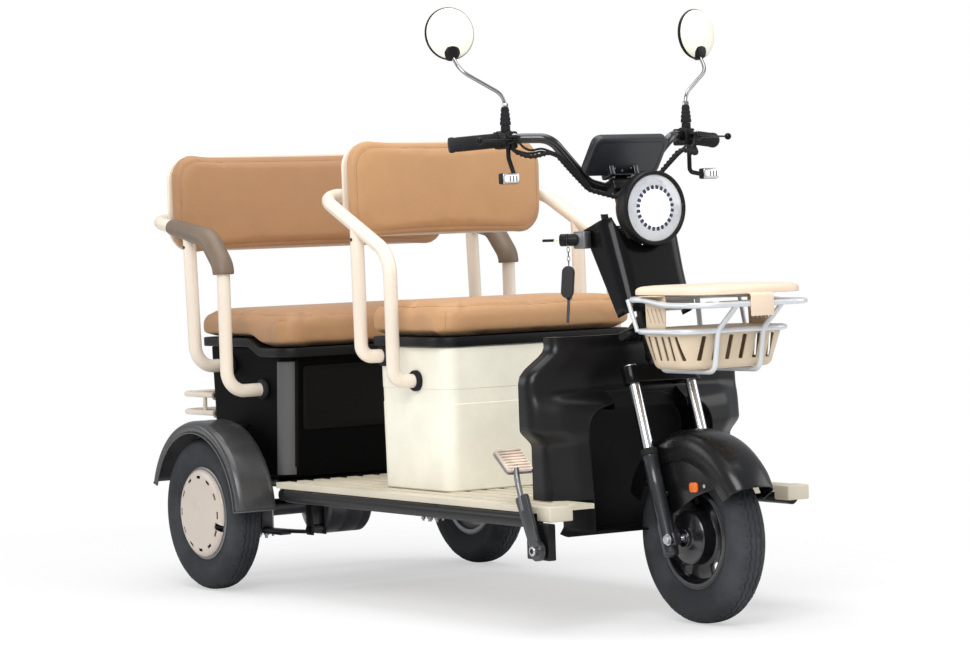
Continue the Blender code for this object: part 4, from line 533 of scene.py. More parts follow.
def piece(name, shape, finish, body="chassis", stands_for=(), sharp=38.0, levels=0, wall=0.0, inward=True):
    """Puts a shape, or a list of them, into the scene on its body and in place of its CAD nodes."""
    if isinstance(shape, list):
        shape = joined(*shape)
    bmesh.ops.translate(shape, vec=(-CENTRE_X, 0, 0), verts=shape.verts)
    mesh = mesh_of(name, shape)
    mesh.shade_smooth()
    mesh.set_sharp_from_angle(angle=math.radians(sharp))
    mesh.materials.append(finish.material)
    made = linked(name, mesh)
    if wall:
        thick = made.modifiers.new("wall", "SOLIDIFY")
        thick.thickness = wall
        thick.offset = -1.0 if inward else 1.0
        thick.use_even_offset = True
    if levels:
        smooth = made.modifiers.new("smooth", "SUBSURF")
        smooth.levels = levels
        smooth.render_levels = levels
    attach(made, body)
    if stands_for:
        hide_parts(*([stands_for] if isinstance(stands_for, str) else stands_for))
    return made


# Finishes of this vehicle

TAN = leather("tan_leather", "tan_leather", (0.49, 0.268, 0.122))
# Darker copy of the same tan leather for the rear pads: painted shade, standing in for the light falling off
# towards the rear.
TAN_PAINTED_SHADE = leather("tan_leather_painted_shade", "tan_leather", (0.385, 0.205, 0.094))
CREAM = moulded("cream_moulding", "cream_plastic", (0.9, 0.865, 0.735), 0.38, 1200.0, 0.00012)
CREAM_PAINT = painted("cream_paint", "cream_paint", (0.8, 0.7, 0.58), 0.32, 0.35)
CAP_PAINT = painted("wheel_cap_paint", "cream_paint", (0.6, 0.515, 0.44), 0.32, 0.35)
GLOSS_BLACK = painted("black_gloss_paint", "black_paint", (0.003, 0.003, 0.0034), 0.18, 0.12, shine=0.14)
SOFT_BLACK = painted("black_satin_paint", "black_paint", (0.004, 0.004, 0.0045), 0.3, 0.06, shine=0.3)
ARCH_BLACK = painted("front_mudguard_paint", "black_paint", (0.004, 0.004, 0.0044), 0.25, 0.05, shine=0.4)
BAR_BLACK = painted("handlebar_paint", "black_paint", (0.006, 0.0062, 0.008), 0.22, 0.5, shine=0.5)
FRAME_BLACK = painted("black_frame_paint", "black_paint", (0.0045, 0.0045, 0.005), 0.34, 0.08, shine=0.2)
BLACK = moulded("black_moulding", "black_plastic", (0.006, 0.006, 0.0065), 0.42, 900.0, 0.0002, shine=0.2)
# Rear mudguard black: lighter grey than the other blacks and with pale patches, both painted sheen standing
# in for its grey gloss.
GUARD_BLACK_PAINTED_SHEEN = moulded("mudguard_moulding_painted_sheen", "black_plastic", (0.042, 0.042, 0.044), 0.26, 500.0, 0.0003,
                      0.12, shine=0.6)
BOX_BLACK = moulded("rear_box_moulding", "black_plastic", (0.0016, 0.0016, 0.0018), 0.5, 700.0, 0.0002,
                    shine=0.05)
PANEL_BLACK = moulded("rear_panel_moulding", "black_plastic", (0.004, 0.004, 0.0043), 0.34, 700.0, 0.0002,
                      shine=0.14)
DISPLAY_BLACK = moulded("display_moulding", "black_plastic", (0.016, 0.0175, 0.022), 0.36, 900.0, 0.0002,
                        shine=0.5)
STRIP_GREY = moulded("corner_strip", "black_plastic", (0.085, 0.085, 0.085), 0.4, 700.0, 0.0002)
RUBBER = rubber("black_rubber", "black_rubber")
TYRE = rubber("tyre_rubber", "tyre", (0.021, 0.023, 0.026), 0.28)
BEIGE = moulded("beige_moulding", "beige_plastic", (0.62, 0.5, 0.36), 0.42, 700.0, 0.0002)
FLOOR_BEIGE = moulded("floor_moulding", "beige_plastic", (0.62, 0.56, 0.44), 0.45, 260.0, 0.0004, 0.12)
PEACH = moulded("lid_moulding", "peach_plastic", (0.8, 0.635, 0.485), 0.4, 900.0, 0.00015)
BROWN = moulded("brown_moulding", "brown_plastic", (0.17, 0.12, 0.082), 0.46, 600.0, 0.0003)
SILVER = painted("silver_paint", "silver_paint", (0.62, 0.64, 0.66), 0.28, 0.3, 0.5)
CHROME = bare_metal("chrome_plate", "chrome", (0.78, 0.78, 0.79), 0.1)
# Chrome darkened for the mirror stems: painted shade, standing in for the dark reflections on them.
STEM_CHROME_PAINTED_SHADE = bare_metal("mirror_stem_painted_shade_chrome", "chrome", (0.34, 0.33, 0.325), 0.15)
DARK_METAL = bare_metal("dark_metal", "dark_metal", (0.1, 0.1, 0.11), 0.34)
GREY_METAL = bare_metal("grey_metal", "grey_metal", (0.23, 0.23, 0.24), 0.36)
BOLT = bare_metal("bolt_zinc", "chrome", (0.55, 0.55, 0.56), 0.3)
THREAD = rubber("sewing_thread", "tan_leather", (0.2, 0.105, 0.05))
WELL_BLACK = moulded("well_liner_moulding", "black_paint", (0.0035, 0.0035, 0.004), 0.4, 60.0, 0.0006,
                     shine=0.15)
BRASS = bare_metal("key_brass", "chrome", (0.62, 0.5, 0.34), 0.24)
POUCH = leather("key_pouch_leather", "black_plastic", (0.016, 0.014, 0.014))
SLIDER_GREY = painted("slider_grey", "dark_metal", (0.022, 0.023, 0.026), 0.24, 0.4, 0.3, shine=0.4)
MIRROR_GLASS = bare_metal("mirror_glass", "chrome", (0.86, 0.88, 0.9), 0.03, (40.0, 40.0, 40.0))
PAD_GREY = rubber("pedal_pad_rubber", "black_rubber", (0.47, 0.385, 0.32))
BATTERY = moulded("battery_wrap", "battery_blue", (0.05, 0.12, 0.3), 0.45, 200.0, 0.0003)
SCREEN = moulded("display_glass", "black_plastic", (0.01, 0.011, 0.013), 0.12, 80.0, 0.00002)
LAMP_BOWL = lamp_finish("lamp_bowl", (0.82, 0.84, 0.88), 0.25, 0.25)
LAMP_GLOW = lamp_finish("lamp_glow", (0.9, 0.91, 0.93), 0.3, 0.9)
LAMP_DARK = moulded("lamp_ring_dark", "black_plastic", (0.03, 0.03, 0.075), 0.35, 600.0, 0.0001)
SIGNAL_WHITE = lamp_finish("signal_lens_white", (0.86, 0.87, 0.88), 0.18, 0.12)
GLASS = clear_glass()
AMBER = amber_finish()


# Wheels

WHEEL_BOLTS = 5
CAP_SLOTS = 12
RIM_WINDOWS = 5
VALVE_TURN = 108.0


def smoother(value, low, high):
    share = min(max((value - low) / (high - low), 0.0), 1.0)
    return share * share * (3 - 2 * share)


def zigzag(turns):
    """Triangle wave from -1 to 1 over whole turns."""
    share = turns % 1.0
    return 4 * abs(share - 0.5) - 1


def tread_depth(angle, across):
    """How deep the tread is moulded below the crown at one place."""
    waves = angle / (2 * math.pi) * 24
    edge = 0.0265 + 0.003 * math.sin(2 * math.pi * waves)
    distance = abs(across)
    depth = 0.0013 * smoother(distance, edge - 0.001, edge + 0.0012)
    if distance < edge:
        groove = 0.0125 + 0.0022 * zigzag(waves * 2)
        depth += 0.0032 * (1 - smoother(abs(distance - groove), 0.0007, 0.002))
        centre = across - 0.0022 * zigzag(waves * 2 + 0.5)
        depth += 0.003 * (1 - smoother(abs(centre), 0.0006, 0.0018))
        lug = abs((waves * 2) % 1.0 - 0.5)
        if distance > groove + 0.003:
            depth += 0.0026 * (1 - smoother(lug, 0.03, 0.07)) * smoother(distance, 0.016, 0.019)
    return depth


def tyre(name, centre, body, node):
    half = [(WHEEL_HEIGHT, 0.0), (0.1869, 0.008), (0.1862, 0.015), (0.1838, 0.0225), (0.18, 0.029)]
    crown = []
    for start, end in zip(half, half[1:]):
        for share in range(8):
            crown.append(tuple(a + (b - a) * share / 8 for a, b in zip(start, end)))
    wall = [(0.18, 0.029), (0.1762, 0.0326), (0.1715, 0.0355), (0.1665, 0.0372), (0.164, 0.0374),
            (0.1615, 0.0385), (0.156, 0.0387), (0.148, 0.038), (0.14, 0.036), (0.133, 0.0333),
            (0.129, 0.0322), (0.1268, 0.0322), (0.125, 0.0308), (0.12, 0.0285), (0.116, 0.0275),
            (0.115, 0.0262), (0.104, 0.0255)]
    side = crown + wall
    profile = side + [(radius, -across) for radius, across in reversed(side[1:])]
    shape = turned(profile, centre, (0, 1, 0), 288, closed=True)
    for vertex in shape.verts:
        local = vertex.co - centre
        radius = math.hypot(local.x, local.z)
        if radius > 0.172:
            depth = tread_depth(math.atan2(local.z, local.x), local.y)
            vertex.co.x -= local.x / radius * depth
            vertex.co.z -= local.z / radius * depth
    return piece(name, shape, TYRE, body, node, 60)


def rim_barrel(side):
    points = [(0.1, 0.02), (0.1, 0.028), (0.105, 0.029), (0.111, 0.0285), (0.1136, 0.027),
              (0.113, 0.0256), (0.104, 0.025)]
    return [(radius, side * along) for radius, along in points]


def round_about(centre, shape, turns, axis="Y", start=0.0):
    """Copies of a shape set round an axle, the first one start steps on."""
    made = []
    for index in range(turns):
        turn = Matrix.Rotation((index + start) * 2 * math.pi / turns, 4, axis)
        made.append(moved(shape.copy(), Matrix.Translation(centre) @ turn))
    shape.free()
    return made


def rear_wheel(side, outward):
    centre = Vector((0.0, outward * TRACK / 2, WHEEL_HEIGHT))
    body = "rear_wheel_" + side
    tyre("tyre_" + side, centre, body, "rear_tyre_" + side)
    profile = [(0, -0.072), (0.0095, -0.072), (0.0095, -0.048), (0.016, -0.0465), (0.0585, -0.0465),
               (0.06, -0.045), (0.06, -0.01), (0.064, -0.008), (0.09, -0.008), (0.0965, -0.015)]
    profile += rim_barrel(-1) + list(reversed(rim_barrel(1)))
    profile += [(0.0965, 0.012), (0.09, -0.001), (0.06, 0.002), (0, 0.006)]
    rim = turned(profile, centre, (0, outward, 0), 72)
    bolt = rod((0.04, outward * -0.046, 0), (0.04, outward * -0.05, 0), 0.006, 6)
    rim = joined(rim, *round_about(centre, bolt, WHEEL_BOLTS))
    piece("rim_" + side, rim, GREY_METAL, body, "rear_rim_" + side)

    crown = [(0, 0.0444), (0.02, 0.0443), (0.0235, 0.0437), (0.0262, 0.0426), (0.03, 0.0422), (0.055, 0.0418),
             (0.075, 0.0411), (0.088, 0.0402), (0.096, 0.039), (0.102, 0.0368), (0.1062, 0.0335),
             (0.1078, 0.03)]
    under = [(radius - 0.0022 if radius > 0.05 else radius, along - 0.0022) for radius, along in crown]
    under[0] = (0, 0.0422)
    shell = turned(crown + list(reversed(under)), centre, (0, outward, 0), 144)
    slot = rectangle((-0.0095, 0.0855), (0.0095, 0.0925), 0.0022, 30)
    slots = round_about(centre, prism(slot, 1, outward * 0.02, outward * 0.06), CAP_SLOTS)
    notch = rectangle((-0.0085, 0.08), (0.0085, 0.115), 0.004, 30)
    notch = moved(prism(notch, 1, outward * 0.01, outward * 0.06), turned_at(centre, VALVE_TURN))
    shell = cut(shell, *slots, notch)
    piece("cap_" + side, softened(shell, 0.0004, 1, 40), CAP_PAINT, body, "rear_wheel_cap_" + side)

    stem = joined(
        rod((0.0, outward * 0.027, 0.098), (0.0, outward * 0.04, 0.09), 0.0045, 16, 0.0035, 0.0005),
        rod((0.0, outward * 0.04, 0.09), (0.0, outward * 0.044, 0.0875), 0.003, 12, bevel=0.0005))
    moved(stem, turned_at(centre, VALVE_TURN))
    piece("valve_" + side, stem, RUBBER, body)


def front_wheel():
    centre = FRONT_AXLE
    tyre("tyre_front", centre, "front_wheel", "front_tyre")
    bore = 0.0066
    profile = [(bore, -0.054), (0.0185, -0.054), (0.02, -0.0525), (0.0205, -0.045), (0.024, -0.043),
               (0.055, -0.0415), (0.0575, -0.039), (0.058, -0.009), (0.062, -0.0062), (0.09, -0.006),
               (0.0965, -0.013)]
    profile += rim_barrel(-1) + list(reversed(rim_barrel(1)))
    profile += [(0.0965, 0.013), (0.09, 0.006), (0.06, 0.006), (0.03, 0.008), (0.023, 0.014),
                (0.0215, 0.04), (0.02, 0.053), (0.0185, 0.054), (bore, 0.054)]
    rim = turned(profile, centre, (0, 1, 0), 96, closed=True)
    opening = rounded([(-0.0115, 0.066), (0.0115, 0.066), (0.0215, 0.093), (-0.0215, 0.093)], 0.005, 18)
    window = prism(opening, 1, -0.03, 0.03)
    rim = softened(cut(rim, *round_about(centre, window, RIM_WINDOWS)), 0.001, 2, 50)
    piece("rim_front", rim, BAR_BLACK, "front_wheel", "front_rim")


# Frame, floor and rear axle

RAIL_HEIGHT = 0.2397
RAIL_SIDE = 0.345
REAR_HEIGHT = 0.2597
SPRING_SIDE = 0.25
SPRING_EYES = ((-0.25, REAR_HEIGHT), (0.262, RAIL_HEIGHT))
EYE_HEIGHT = 0.152
CROSS_TUBES = (0.262, 0.72, 1.14)
U_BOLTS = (-0.018, 0.018)
SHIELD_FOOT_SIDE = 0.228
FLOOR_TOP = 0.2703


def frame_tubes():
    parts = []
    for side in (-1, 1):
        rail = side * RAIL_SIDE
        rear = side * SPRING_SIDE
        route = fillet([(-0.272, rear, REAR_HEIGHT), (0.11, rear, REAR_HEIGHT),
                        (0.215, side * 0.295, RAIL_HEIGHT), (0.3, rail, RAIL_HEIGHT),
                        (1.351, rail, RAIL_HEIGHT)], [0, 0.08, 0.08, 0.05, 0])
        parts.append(tube(route, 0.016, 8))
        parts.append(rod((-0.2725, rear, REAR_HEIGHT), (-0.275, rear, REAR_HEIGHT), 0.0145, 24))
        parts.append(rod((1.3505, rail, RAIL_HEIGHT), (1.3535, rail, RAIL_HEIGHT), 0.0145, 24))
        parts.append(between((1.225, side * SHIELD_FOOT_SIDE, 0.2307), (1.245, rail, 0.2557), 0.002))
        parts += [between((x - 0.02, rail - 0.008, RAIL_HEIGHT), (x + 0.02, rail + 0.004, 0.2557), 0.0015)
                  for x in (0.4, 0.95)]
        parts.append(between((-0.03, rear - 0.008, REAR_HEIGHT), (0.01, rear + 0.008, 0.2757), 0.0015))
        for x, height in SPRING_EYES:
            parts += hanger(x, rear, height)
    across = [(x, REAR_HEIGHT, SPRING_SIDE) for x in (-0.25, 0.1)]
    across += [(x, RAIL_HEIGHT, RAIL_SIDE) for x in CROSS_TUBES]
    parts += [rod((x, -half, height), (x, half, height), 0.0128, 24) for x, height, half in across]
    foot = [(1.235, -SHIELD_FOOT_SIDE, 0.256), (1.235, -SHIELD_FOOT_SIDE, 0.44), (1.222, -0.055, 0.598)]
    bow = foot + [(1.29, 0.0, 0.64)] + [(x, -y, z) for x, y, z in reversed(foot)]
    parts.append(tube(fillet(bow, [0, 0.05, 0.05, 0.04, 0.05, 0.05, 0]), 0.012, 8))
    spine = fillet([on_steer(0.505), (1.165, 0, 0.56), (1.14, 0, 0.42), (1.14, 0, RAIL_HEIGHT)], 0.09)
    parts.append(tube(spine, 0.0185, 8))
    head = [(0.016, 0.4045), (0.0235, 0.405), (0.0245, 0.41), (0.0245, 0.42), (0.022, 0.423),
            (0.022, 0.672), (0.0245, 0.675), (0.0245, 0.685), (0.0235, 0.6895), (0.016, 0.69)]
    parts.append(turned(head, on_steer(0.0), UP, 48, closed=True))
    parts += [moved(block((0.015, -0.025, -0.008), (0.0617, 0.025, 0.008), 0.002), steer_frame(along))
              for along in (0.52, 0.64)]
    parts.append(block((1.325, -0.357, 0.158), (1.408, -0.337, 0.236), 0.003))
    parts.append(rod((1.386, -RAIL_SIDE, 0.18), (1.386, -0.388, 0.18), 0.0048, 24, bevel=0.001))
    piece("frame_tubes", parts, FRAME_BLACK, "chassis", ("main_frame", "front_frame"))
    bead = [(0.0128, 0.0), (0.015, 0.0015), (0.0155, 0.003), (0.0128, 0.0055)]
    welds = [turned(bead, (x, side * (RAIL_SIDE - 0.016), RAIL_HEIGHT), (0, -side, 0), 24)
             for side in (-1, 1) for x in CROSS_TUBES]
    piece("frame_welds", welds, FRAME_BLACK)


def hanger(x, y, height):
    """Two cheeks and the pin that carries one eye of a leaf spring."""
    parts = [between((x - 0.0145, y + turn * 0.015, 0.138), (x + 0.0145, y + turn * 0.02, height + 0.0023),
                     0.0012) for turn in (-1, 1)]
    parts.append(rod((x, y - 0.022, EYE_HEIGHT), (x, y + 0.022, EYE_HEIGHT), 0.004, 16))
    parts += [rod((x, y + turn * 0.0201, EYE_HEIGHT), (x, y + turn * 0.026, EYE_HEIGHT), 0.0075, 6)
              for turn in (-1, 1)]
    return parts


def floor_plate():
    """Ribbed plate cut back for the front wheel, with two fine grooves down every rib."""
    top = 0.27
    valley = 0.266
    edge = 0.35
    ribs = 15
    pitch = 2 * edge / ribs
    half = 0.046 * 0.28
    outline = [(-edge, 0.256), (edge, 0.256)]
    for index in range(ribs):
        middle = edge - (index + 0.5) * pitch
        right = edge if index == 0 else middle + half
        left = -edge if index == ribs - 1 else middle - half
        if index:
            outline += [(right + 0.0015, valley), (right, valley + 0.001)]
        outline += [(right, top - 0.0008), (right - 0.0008, top)]
        for share in (0.33, 0.67):
            groove = right + (left - right) * share
            outline += [(groove + 0.0014, top), (groove + 0.0009, top - 0.0014),
                        (groove - 0.0009, top - 0.0014), (groove - 0.0014, top)]
        outline += [(left + 0.0008, top), (left, top - 0.0008)]
        if index < ribs - 1:
            outline += [(left, valley + 0.001), (left - 0.0015, valley)]
    plate = prism(outline, 0, 0.25, 1.357)
    gap = prism(rectangle((1.176, -0.2), (1.5, 0.2), 0.03, 15), 2, 0.2, 0.3)
    holes = [rod((x, y, 0.2), (x, y, 0.3), radius, 32)
             for x, y, radius in ((1.14, 0, 0.0212), (1.235, -SHIELD_FOOT_SIDE, 0.0143),
                                  (1.235, SHIELD_FOOT_SIDE, 0.0143))]
    piece("floor_plate", cut(plate, gap, *holes), FLOOR_BEIGE, "chassis", "floor_board", 25)
    blocks = [between((1.3565, side * 0.29, 0.239), (1.407, side * 0.35, 0.2715), 0.003) for side in (-1, 1)]
    blocks += [rod((1.38, side * 0.32, 0.2715), (1.38, side * 0.32, 0.2722), 0.006, 20, bevel=0.0003)
               for side in (-1, 1)]
    piece("floor_end_blocks", blocks, FLOOR_BEIGE)
    screws = [screw((x, side * 0.3265, 0.2662), (0, 0, 1), 0.005)
              for x in (0.3, 0.62, 0.95, 1.12) for side in (-1, 1)]
    piece("floor_screws", screws, BOLT)


def screw(place, axis, radius):
    """Low domed screw head with a round socket."""
    profile = [(0, -0.001), (radius, -0.001), (radius, radius * 0.22), (radius * 0.75, radius * 0.42),
               (radius * 0.5, radius * 0.48), (radius * 0.46, radius * 0.2), (0, radius * 0.16)]
    return turned(profile, place, axis, 18)


def hex_nut(place, axis, radius, height):
    shape = turned([(0, 0), (radius, 0), (radius, height), (0, height)], place, axis, 6)
    return softened(shape, radius * 0.06, 1)


def axle_housing():
    """Axle tube with brake plates, a ringed and finned motor drum, and pads for the springs."""
    half = [(0, 0.3025), (0.0104, 0.3025), (0.0104, 0.3365), (0.05, 0.3365), (0.058, 0.335), (0.058, 0.332),
            (0.05, 0.3305), (0.03, 0.33), (0.0215, 0.322)]
    middle = [(0.0205, 0.06), (0.03, 0.05), (0.05, 0.04), (0.062, 0.03), (0.07, 0.026), (0.075, 0.02)]
    for ring in (0.0, -0.05):
        middle += [(0.075, ring + 0.004), (0.0735, ring + 0.002), (0.0735, ring - 0.002),
                   (0.075, ring - 0.004)]
    middle += [(0.075, -0.094), (0.07, -0.1), (0.06, -0.105), (0.04, -0.112), (0.0205, -0.13)]
    outline = half + middle + [(radius, -along) for radius, along in reversed(half)]
    centre = (0, 0, WHEEL_HEIGHT)
    parts = [turned(outline, centre, (0, 1, 0), 64)]
    parts += [between((-0.026, y - 0.015, 0.1403), (0.026, y + 0.015, WHEEL_HEIGHT), 0.002)
              for y in (-SPRING_SIDE, SPRING_SIDE)]
    parts += round_about(centre, block((-0.0015, -0.09, 0.073), (0.0015, -0.01, 0.0748), 0.0006, 1), 12)
    piece("axle_and_motor", parts, DARK_METAL, "chassis", "rear_axle_housing")
    ties = []
    for side in (-1, 1):
        for x in U_BOLTS:
            for turn in (-1, 1):
                y = side * SPRING_SIDE + turn * 0.0185
                ties.append(rod((x, y, 0.118), (x, y, WHEEL_HEIGHT), 0.003, 12))
                ties.append(hex_nut((x, y, 0.1275), (0, 0, -1), 0.006, 0.005))
    piece("axle_u_bolts", ties, BOLT)


def leaf_height(x):
    reach = 0.262 if x > 0 else 0.25
    return 0.14 + 0.008 * (x / reach) ** 2


def leaf_spring(side, outward):
    y = outward * SPRING_SIDE
    half = 0.0145
    stations = [-0.243 + 0.498 * share / 24 for share in range(25)]
    outline = [(x, leaf_height(x)) for x in stations]
    outline += [(x, leaf_height(x) - 0.007) for x in reversed(stations)]
    short = [(-0.12, 0.1328), (0.12, 0.1328), (0.112, 0.1278), (-0.112, 0.1278)]
    eye = [(0.0043, -0.014), (0.0105, -0.014), (0.0105, 0.014), (0.0043, 0.014)]
    parts = [prism(outline, 1, y - half, y + half, 0.001), prism(short, 1, y - half, y + half, 0.0008)]
    parts += [turned(eye, (x, y, EYE_HEIGHT), (0, 1, 0), 32, closed=True) for x, _ in SPRING_EYES]
    piece("leaf_" + side, parts, DARK_METAL, "chassis", "leaf_spring_" + side)
    nuts = []
    for x in U_BOLTS:
        nuts.append(hex_nut((x, y, 0.1277), (0, 0, -1), 0.0075, 0.006))
        nuts.append(rod((x, y, 0.1277), (x, y, 0.1145), 0.004, 12, bevel=0.0006))
    piece("leaf_bolts_" + side, nuts, BOLT)


def rear_rack():
    """Two hoops of tube, one above the other, with flanges on the wall of the box."""
    back = -0.32
    half = 0.29
    levels = (0.42, 0.465)
    flange = [(0, 0), (0.0125, 0), (0.0125, 0.0015), (0.0095, 0.004), (0.0069, 0.005), (0, 0.005)]
    parts = []
    for level in levels:
        wall = -0.13 - 0.019 * (level - 0.276) / 0.3125 - 0.0006
        route = fillet([(wall, -half, level), (back, -half, level), (back, half, level),
                        (wall, half, level)], 0.035)
        parts.append(tube(route, 0.0069, 8))
        parts += [rod((wall, y, level), (back, y, level), 0.0056, 20) for y in (-0.12, 0.12)]
        parts += [turned(flange, (wall, y, level), (-1, 0, 0), 28) for y in (-half, -0.12, 0.12, half)]
    parts += [rod((-0.2, y, levels[0]), (-0.2, y, levels[1]), 0.0056, 20) for y in (-half, half)]
    piece("rack", parts, CREAM_PAINT, "chassis", "rear_rack")


def rear_mudguard(side, outward):
    """Arched shell over a rear wheel, its lips turned down and its ends rolled."""
    inner = 0.333
    outer = 0.441
    radius = 0.228
    lip = radius - 0.03
    centre = (0, 0, WHEEL_HEIGHT)
    corners = [(lip, outer - 0.0012, 0), (radius - 0.0075, outer - 0.0012, 0),
               (radius - 0.0012, outer - 0.016, 0), (radius - 0.0012, inner + 0.016, 0),
               (radius - 0.0075, inner + 0.0012, 0), (lip, inner + 0.0012, 0)]
    line = fillet(corners, [0, 0.01, 0.016, 0.016, 0.01, 0], step=10)
    shape = bmesh.new()
    points = [shape.verts.new((point.x, outward * point.y, WHEEL_HEIGHT)) for point in line]
    edges = [shape.edges.new(pair) for pair in zip(points, points[1:])]
    start = math.radians(4.0)
    span = math.radians(158.0)
    bmesh.ops.rotate(shape, cent=centre, matrix=Matrix.Rotation(-start, 3, "Y"), verts=shape.verts)
    bmesh.ops.spin(shape, geom=points + edges, cent=centre, axis=(0, -1, 0), angle=span, steps=64)
    cleaned(shape)
    piece("mudguard_" + side, shape, GUARD_BLACK_PAINTED_SHEEN, "chassis", "rear_mudguard_" + side, 40, wall=0.0024)
    routes = [[(start + span * index / 64, lip, edge) for index in range(65)]
              for edge in (outer - 0.0008, inner + 0.0008)]
    routes += [[(angle, point.x, point.y) for point in line] for angle in (start, start + span)]
    trims = [tube([(reach * math.cos(angle), outward * y, WHEEL_HEIGHT + reach * math.sin(angle))
                   for angle, reach, y in route], 0.0016, 3) for route in routes]
    piece("mudguard_trim_" + side, trims, STRIP_GREY)
    tab = between((-0.045, outward * 0.3053, 0.392), (0.045, outward * 0.337, 0.4), 0.002)
    piece("mudguard_tab_" + side, tab, BLACK)


# Seat boxes

FRONT_BOX_TOP = 0.5975
REAR_BOX_TOP = 0.5897


def tapered_box(back, front, half, flare, corner, low, high, levels):
    """Open box whose walls lean out by flare; each level is a height and its inset."""
    rings = []
    for height, inset in levels:
        lean = flare * (height - low) / (high - low)
        outline = rectangle((back - lean + inset, -half + inset), (front + lean - inset, half - inset),
                            max(corner - inset, 0.003))
        rings.append([(x, y, height) for x, y in outline])
    return loft(rings)


def front_box():
    """Open-topped moulding with a shallow sunk band and a rolled upper edge."""
    low = FLOOR_TOP
    high = FRONT_BOX_TOP
    levels = [(low, 0.0025), (low + 0.0025, 0.0), (0.4675, 0.0), (0.469, 0.0012), (0.501, 0.0012),
              (0.5025, 0.0), (high - 0.0025, 0.0), (high, 0.0025),
              (high, 0.0055), (high - 0.02, 0.0065), (low + 0.012, 0.0065), (low + 0.006, 0.011)]
    box = tapered_box(0.58, 0.872, 0.255, 0.008, 0.034, low, high, levels)
    piece("front_box", box, CREAM, "chassis", "front_seat_box", 30)


def step_height(x):
    """Height of the rear box's upper edge, which steps down towards the front."""
    return REAR_BOX_TOP - 0.023 * smoother(x, 0.075, 0.15)


def rear_box():
    low = 0.276
    high = 0.5885
    flare = 0.019
    front = 0.214
    levels = [(low, 0.004), (low + 0.004, 0.0), (high - 0.002, 0.0), (high, 0.002),
              (high, 0.0045), (low + 0.012, 0.005), (low + 0.006, 0.01)]
    box = tapered_box(-0.13, front, 0.305, flare, 0.03, low, high, levels)
    line = [(x / 1000, step_height(x / 1000) - 0.0006) for x in range(75, 151, 5)]
    line = [(-0.3, REAR_BOX_TOP)] + line + [(0.4, 0.5661)]
    above = prism(line + [(0.4, 0.7), (-0.3, 0.7)], 1, -0.5, 0.5)
    piece("rear_box", cut(box, above), BOX_BLACK, "chassis", "rear_seat_box", 30)

    lean = Matrix.Rotation(math.atan(flare / (high - low)), 4, "Y")
    on_front = Matrix.Translation((front, 0, low)) @ lean @ Matrix.Translation((0, 0, -low))
    raised = prism(rectangle((-0.255, 0.39), (0.255, 0.545), 0.01, 15), 0, -0.002, 0.005, 0.0015)
    hollow = prism(rectangle((-0.24, 0.404), (0.24, 0.531), 0.008, 15), 0, 0.0034, 0.02)
    ribs = [prism(rectangle((y - 0.0045, 0.3), (y + 0.0045, 0.56), 0.003, 30), 0, -0.001, 0.003, 0.001)
            for y in (-0.273, 0.273)]
    piece("rear_box_panel", moved(joined(cut(raised, hollow), *ribs), on_front), PANEL_BLACK)
    turns = [math.radians(-4 + index * 98 / 12) for index in range(13)]
    arc = [(angle, 0.0322) for angle in turns] + [(angle, 0.0295) for angle in reversed(turns)]
    strips = []
    for side in (-1, 1):
        rail = []
        for height in (0.282, 0.556):
            centre = Vector((0.184 + flare * (height - low) / (high - low), side * 0.275, height))
            rail.append([centre + Vector((math.cos(angle), side * math.sin(angle), 0)) * reach
                         for angle, reach in arc])
        strips.append(softened(loft(rail), 0.0008, 1, 50))
    piece("rear_box_corner_strips", strips, STRIP_GREY)


# Cushions

PAD_CORNER = 0.05
PAD_TUCK = 0.004


def stuffed(shape, voxel, pressure, cap):
    """Skin of a pad swollen by a short cloth simulation, no point moving further than cap."""
    holder = holder_of(shape)
    remesh = holder.modifiers.new("remesh", "REMESH")
    remesh.mode = "VOXEL"
    remesh.voxel_size = voxel
    even = evaluated(holder)
    discard(holder)
    holder = holder_of(even)
    start = [vertex.co.copy() for vertex in holder.data.vertices]
    cloth = holder.modifiers.new("cloth", "CLOTH")
    cloth.settings.use_pressure = True
    cloth.settings.uniform_pressure_force = pressure
    cloth.settings.effector_weights.gravity = 0.0
    cloth.settings.quality = 5
    cloth.settings.tension_stiffness = 12
    cloth.settings.compression_stiffness = 12
    scene = bpy.context.scene
    for moment in range(1, 19):
        scene.frame_set(moment)
    swollen = evaluated(holder)
    scene.frame_set(1)
    discard(holder)
    swollen.verts.ensure_lookup_table()
    for vertex, before in zip(swollen.verts, start):
        move = vertex.co - before
        if move.length > cap:
            vertex.co = before + move.normalized() * cap
    return swollen


def pad_ring(low, high, inset, height, corner, tuck):
    """One level of a pad: a rounded rectangle drawn in a little along each straight side."""
    outline = rectangle((low[0] + inset, low[1] + inset), (high[0] - inset, high[1] - inset),
                        max(corner - inset * 0.6, 0.012))
    middle = Vector(((low[0] + high[0]) / 2, (low[1] + high[1]) / 2))
    half = Vector(((high[0] - low[0]) / 2, (high[1] - low[1]) / 2))
    ring = []
    count = len(outline)
    for index, corner_point in enumerate(outline):
        point = Vector(corner_point)
        ring.append(point)
        after = Vector(outline[(index + 1) % count])
        gap = (after - point).length
        if gap > 0.05:
            steps = int(gap / 0.02)
            ring += [point.lerp(after, share / steps) for share in range(1, steps)]
    drawn = []
    for point in ring:
        across = point - middle
        pull = [0.0, 0.0]
        for axis, other in ((0, 1), (1, 0)):
            if abs(across[axis]) > half[axis] * 0.8:
                along = 1 - abs(across[other] / half[other]) ** 2
                pull[axis] = tuck * max(along, 0.0) * math.copysign(1, across[axis])
        drawn.append((point.x - pull[0], point.y - pull[1], height))
    return drawn


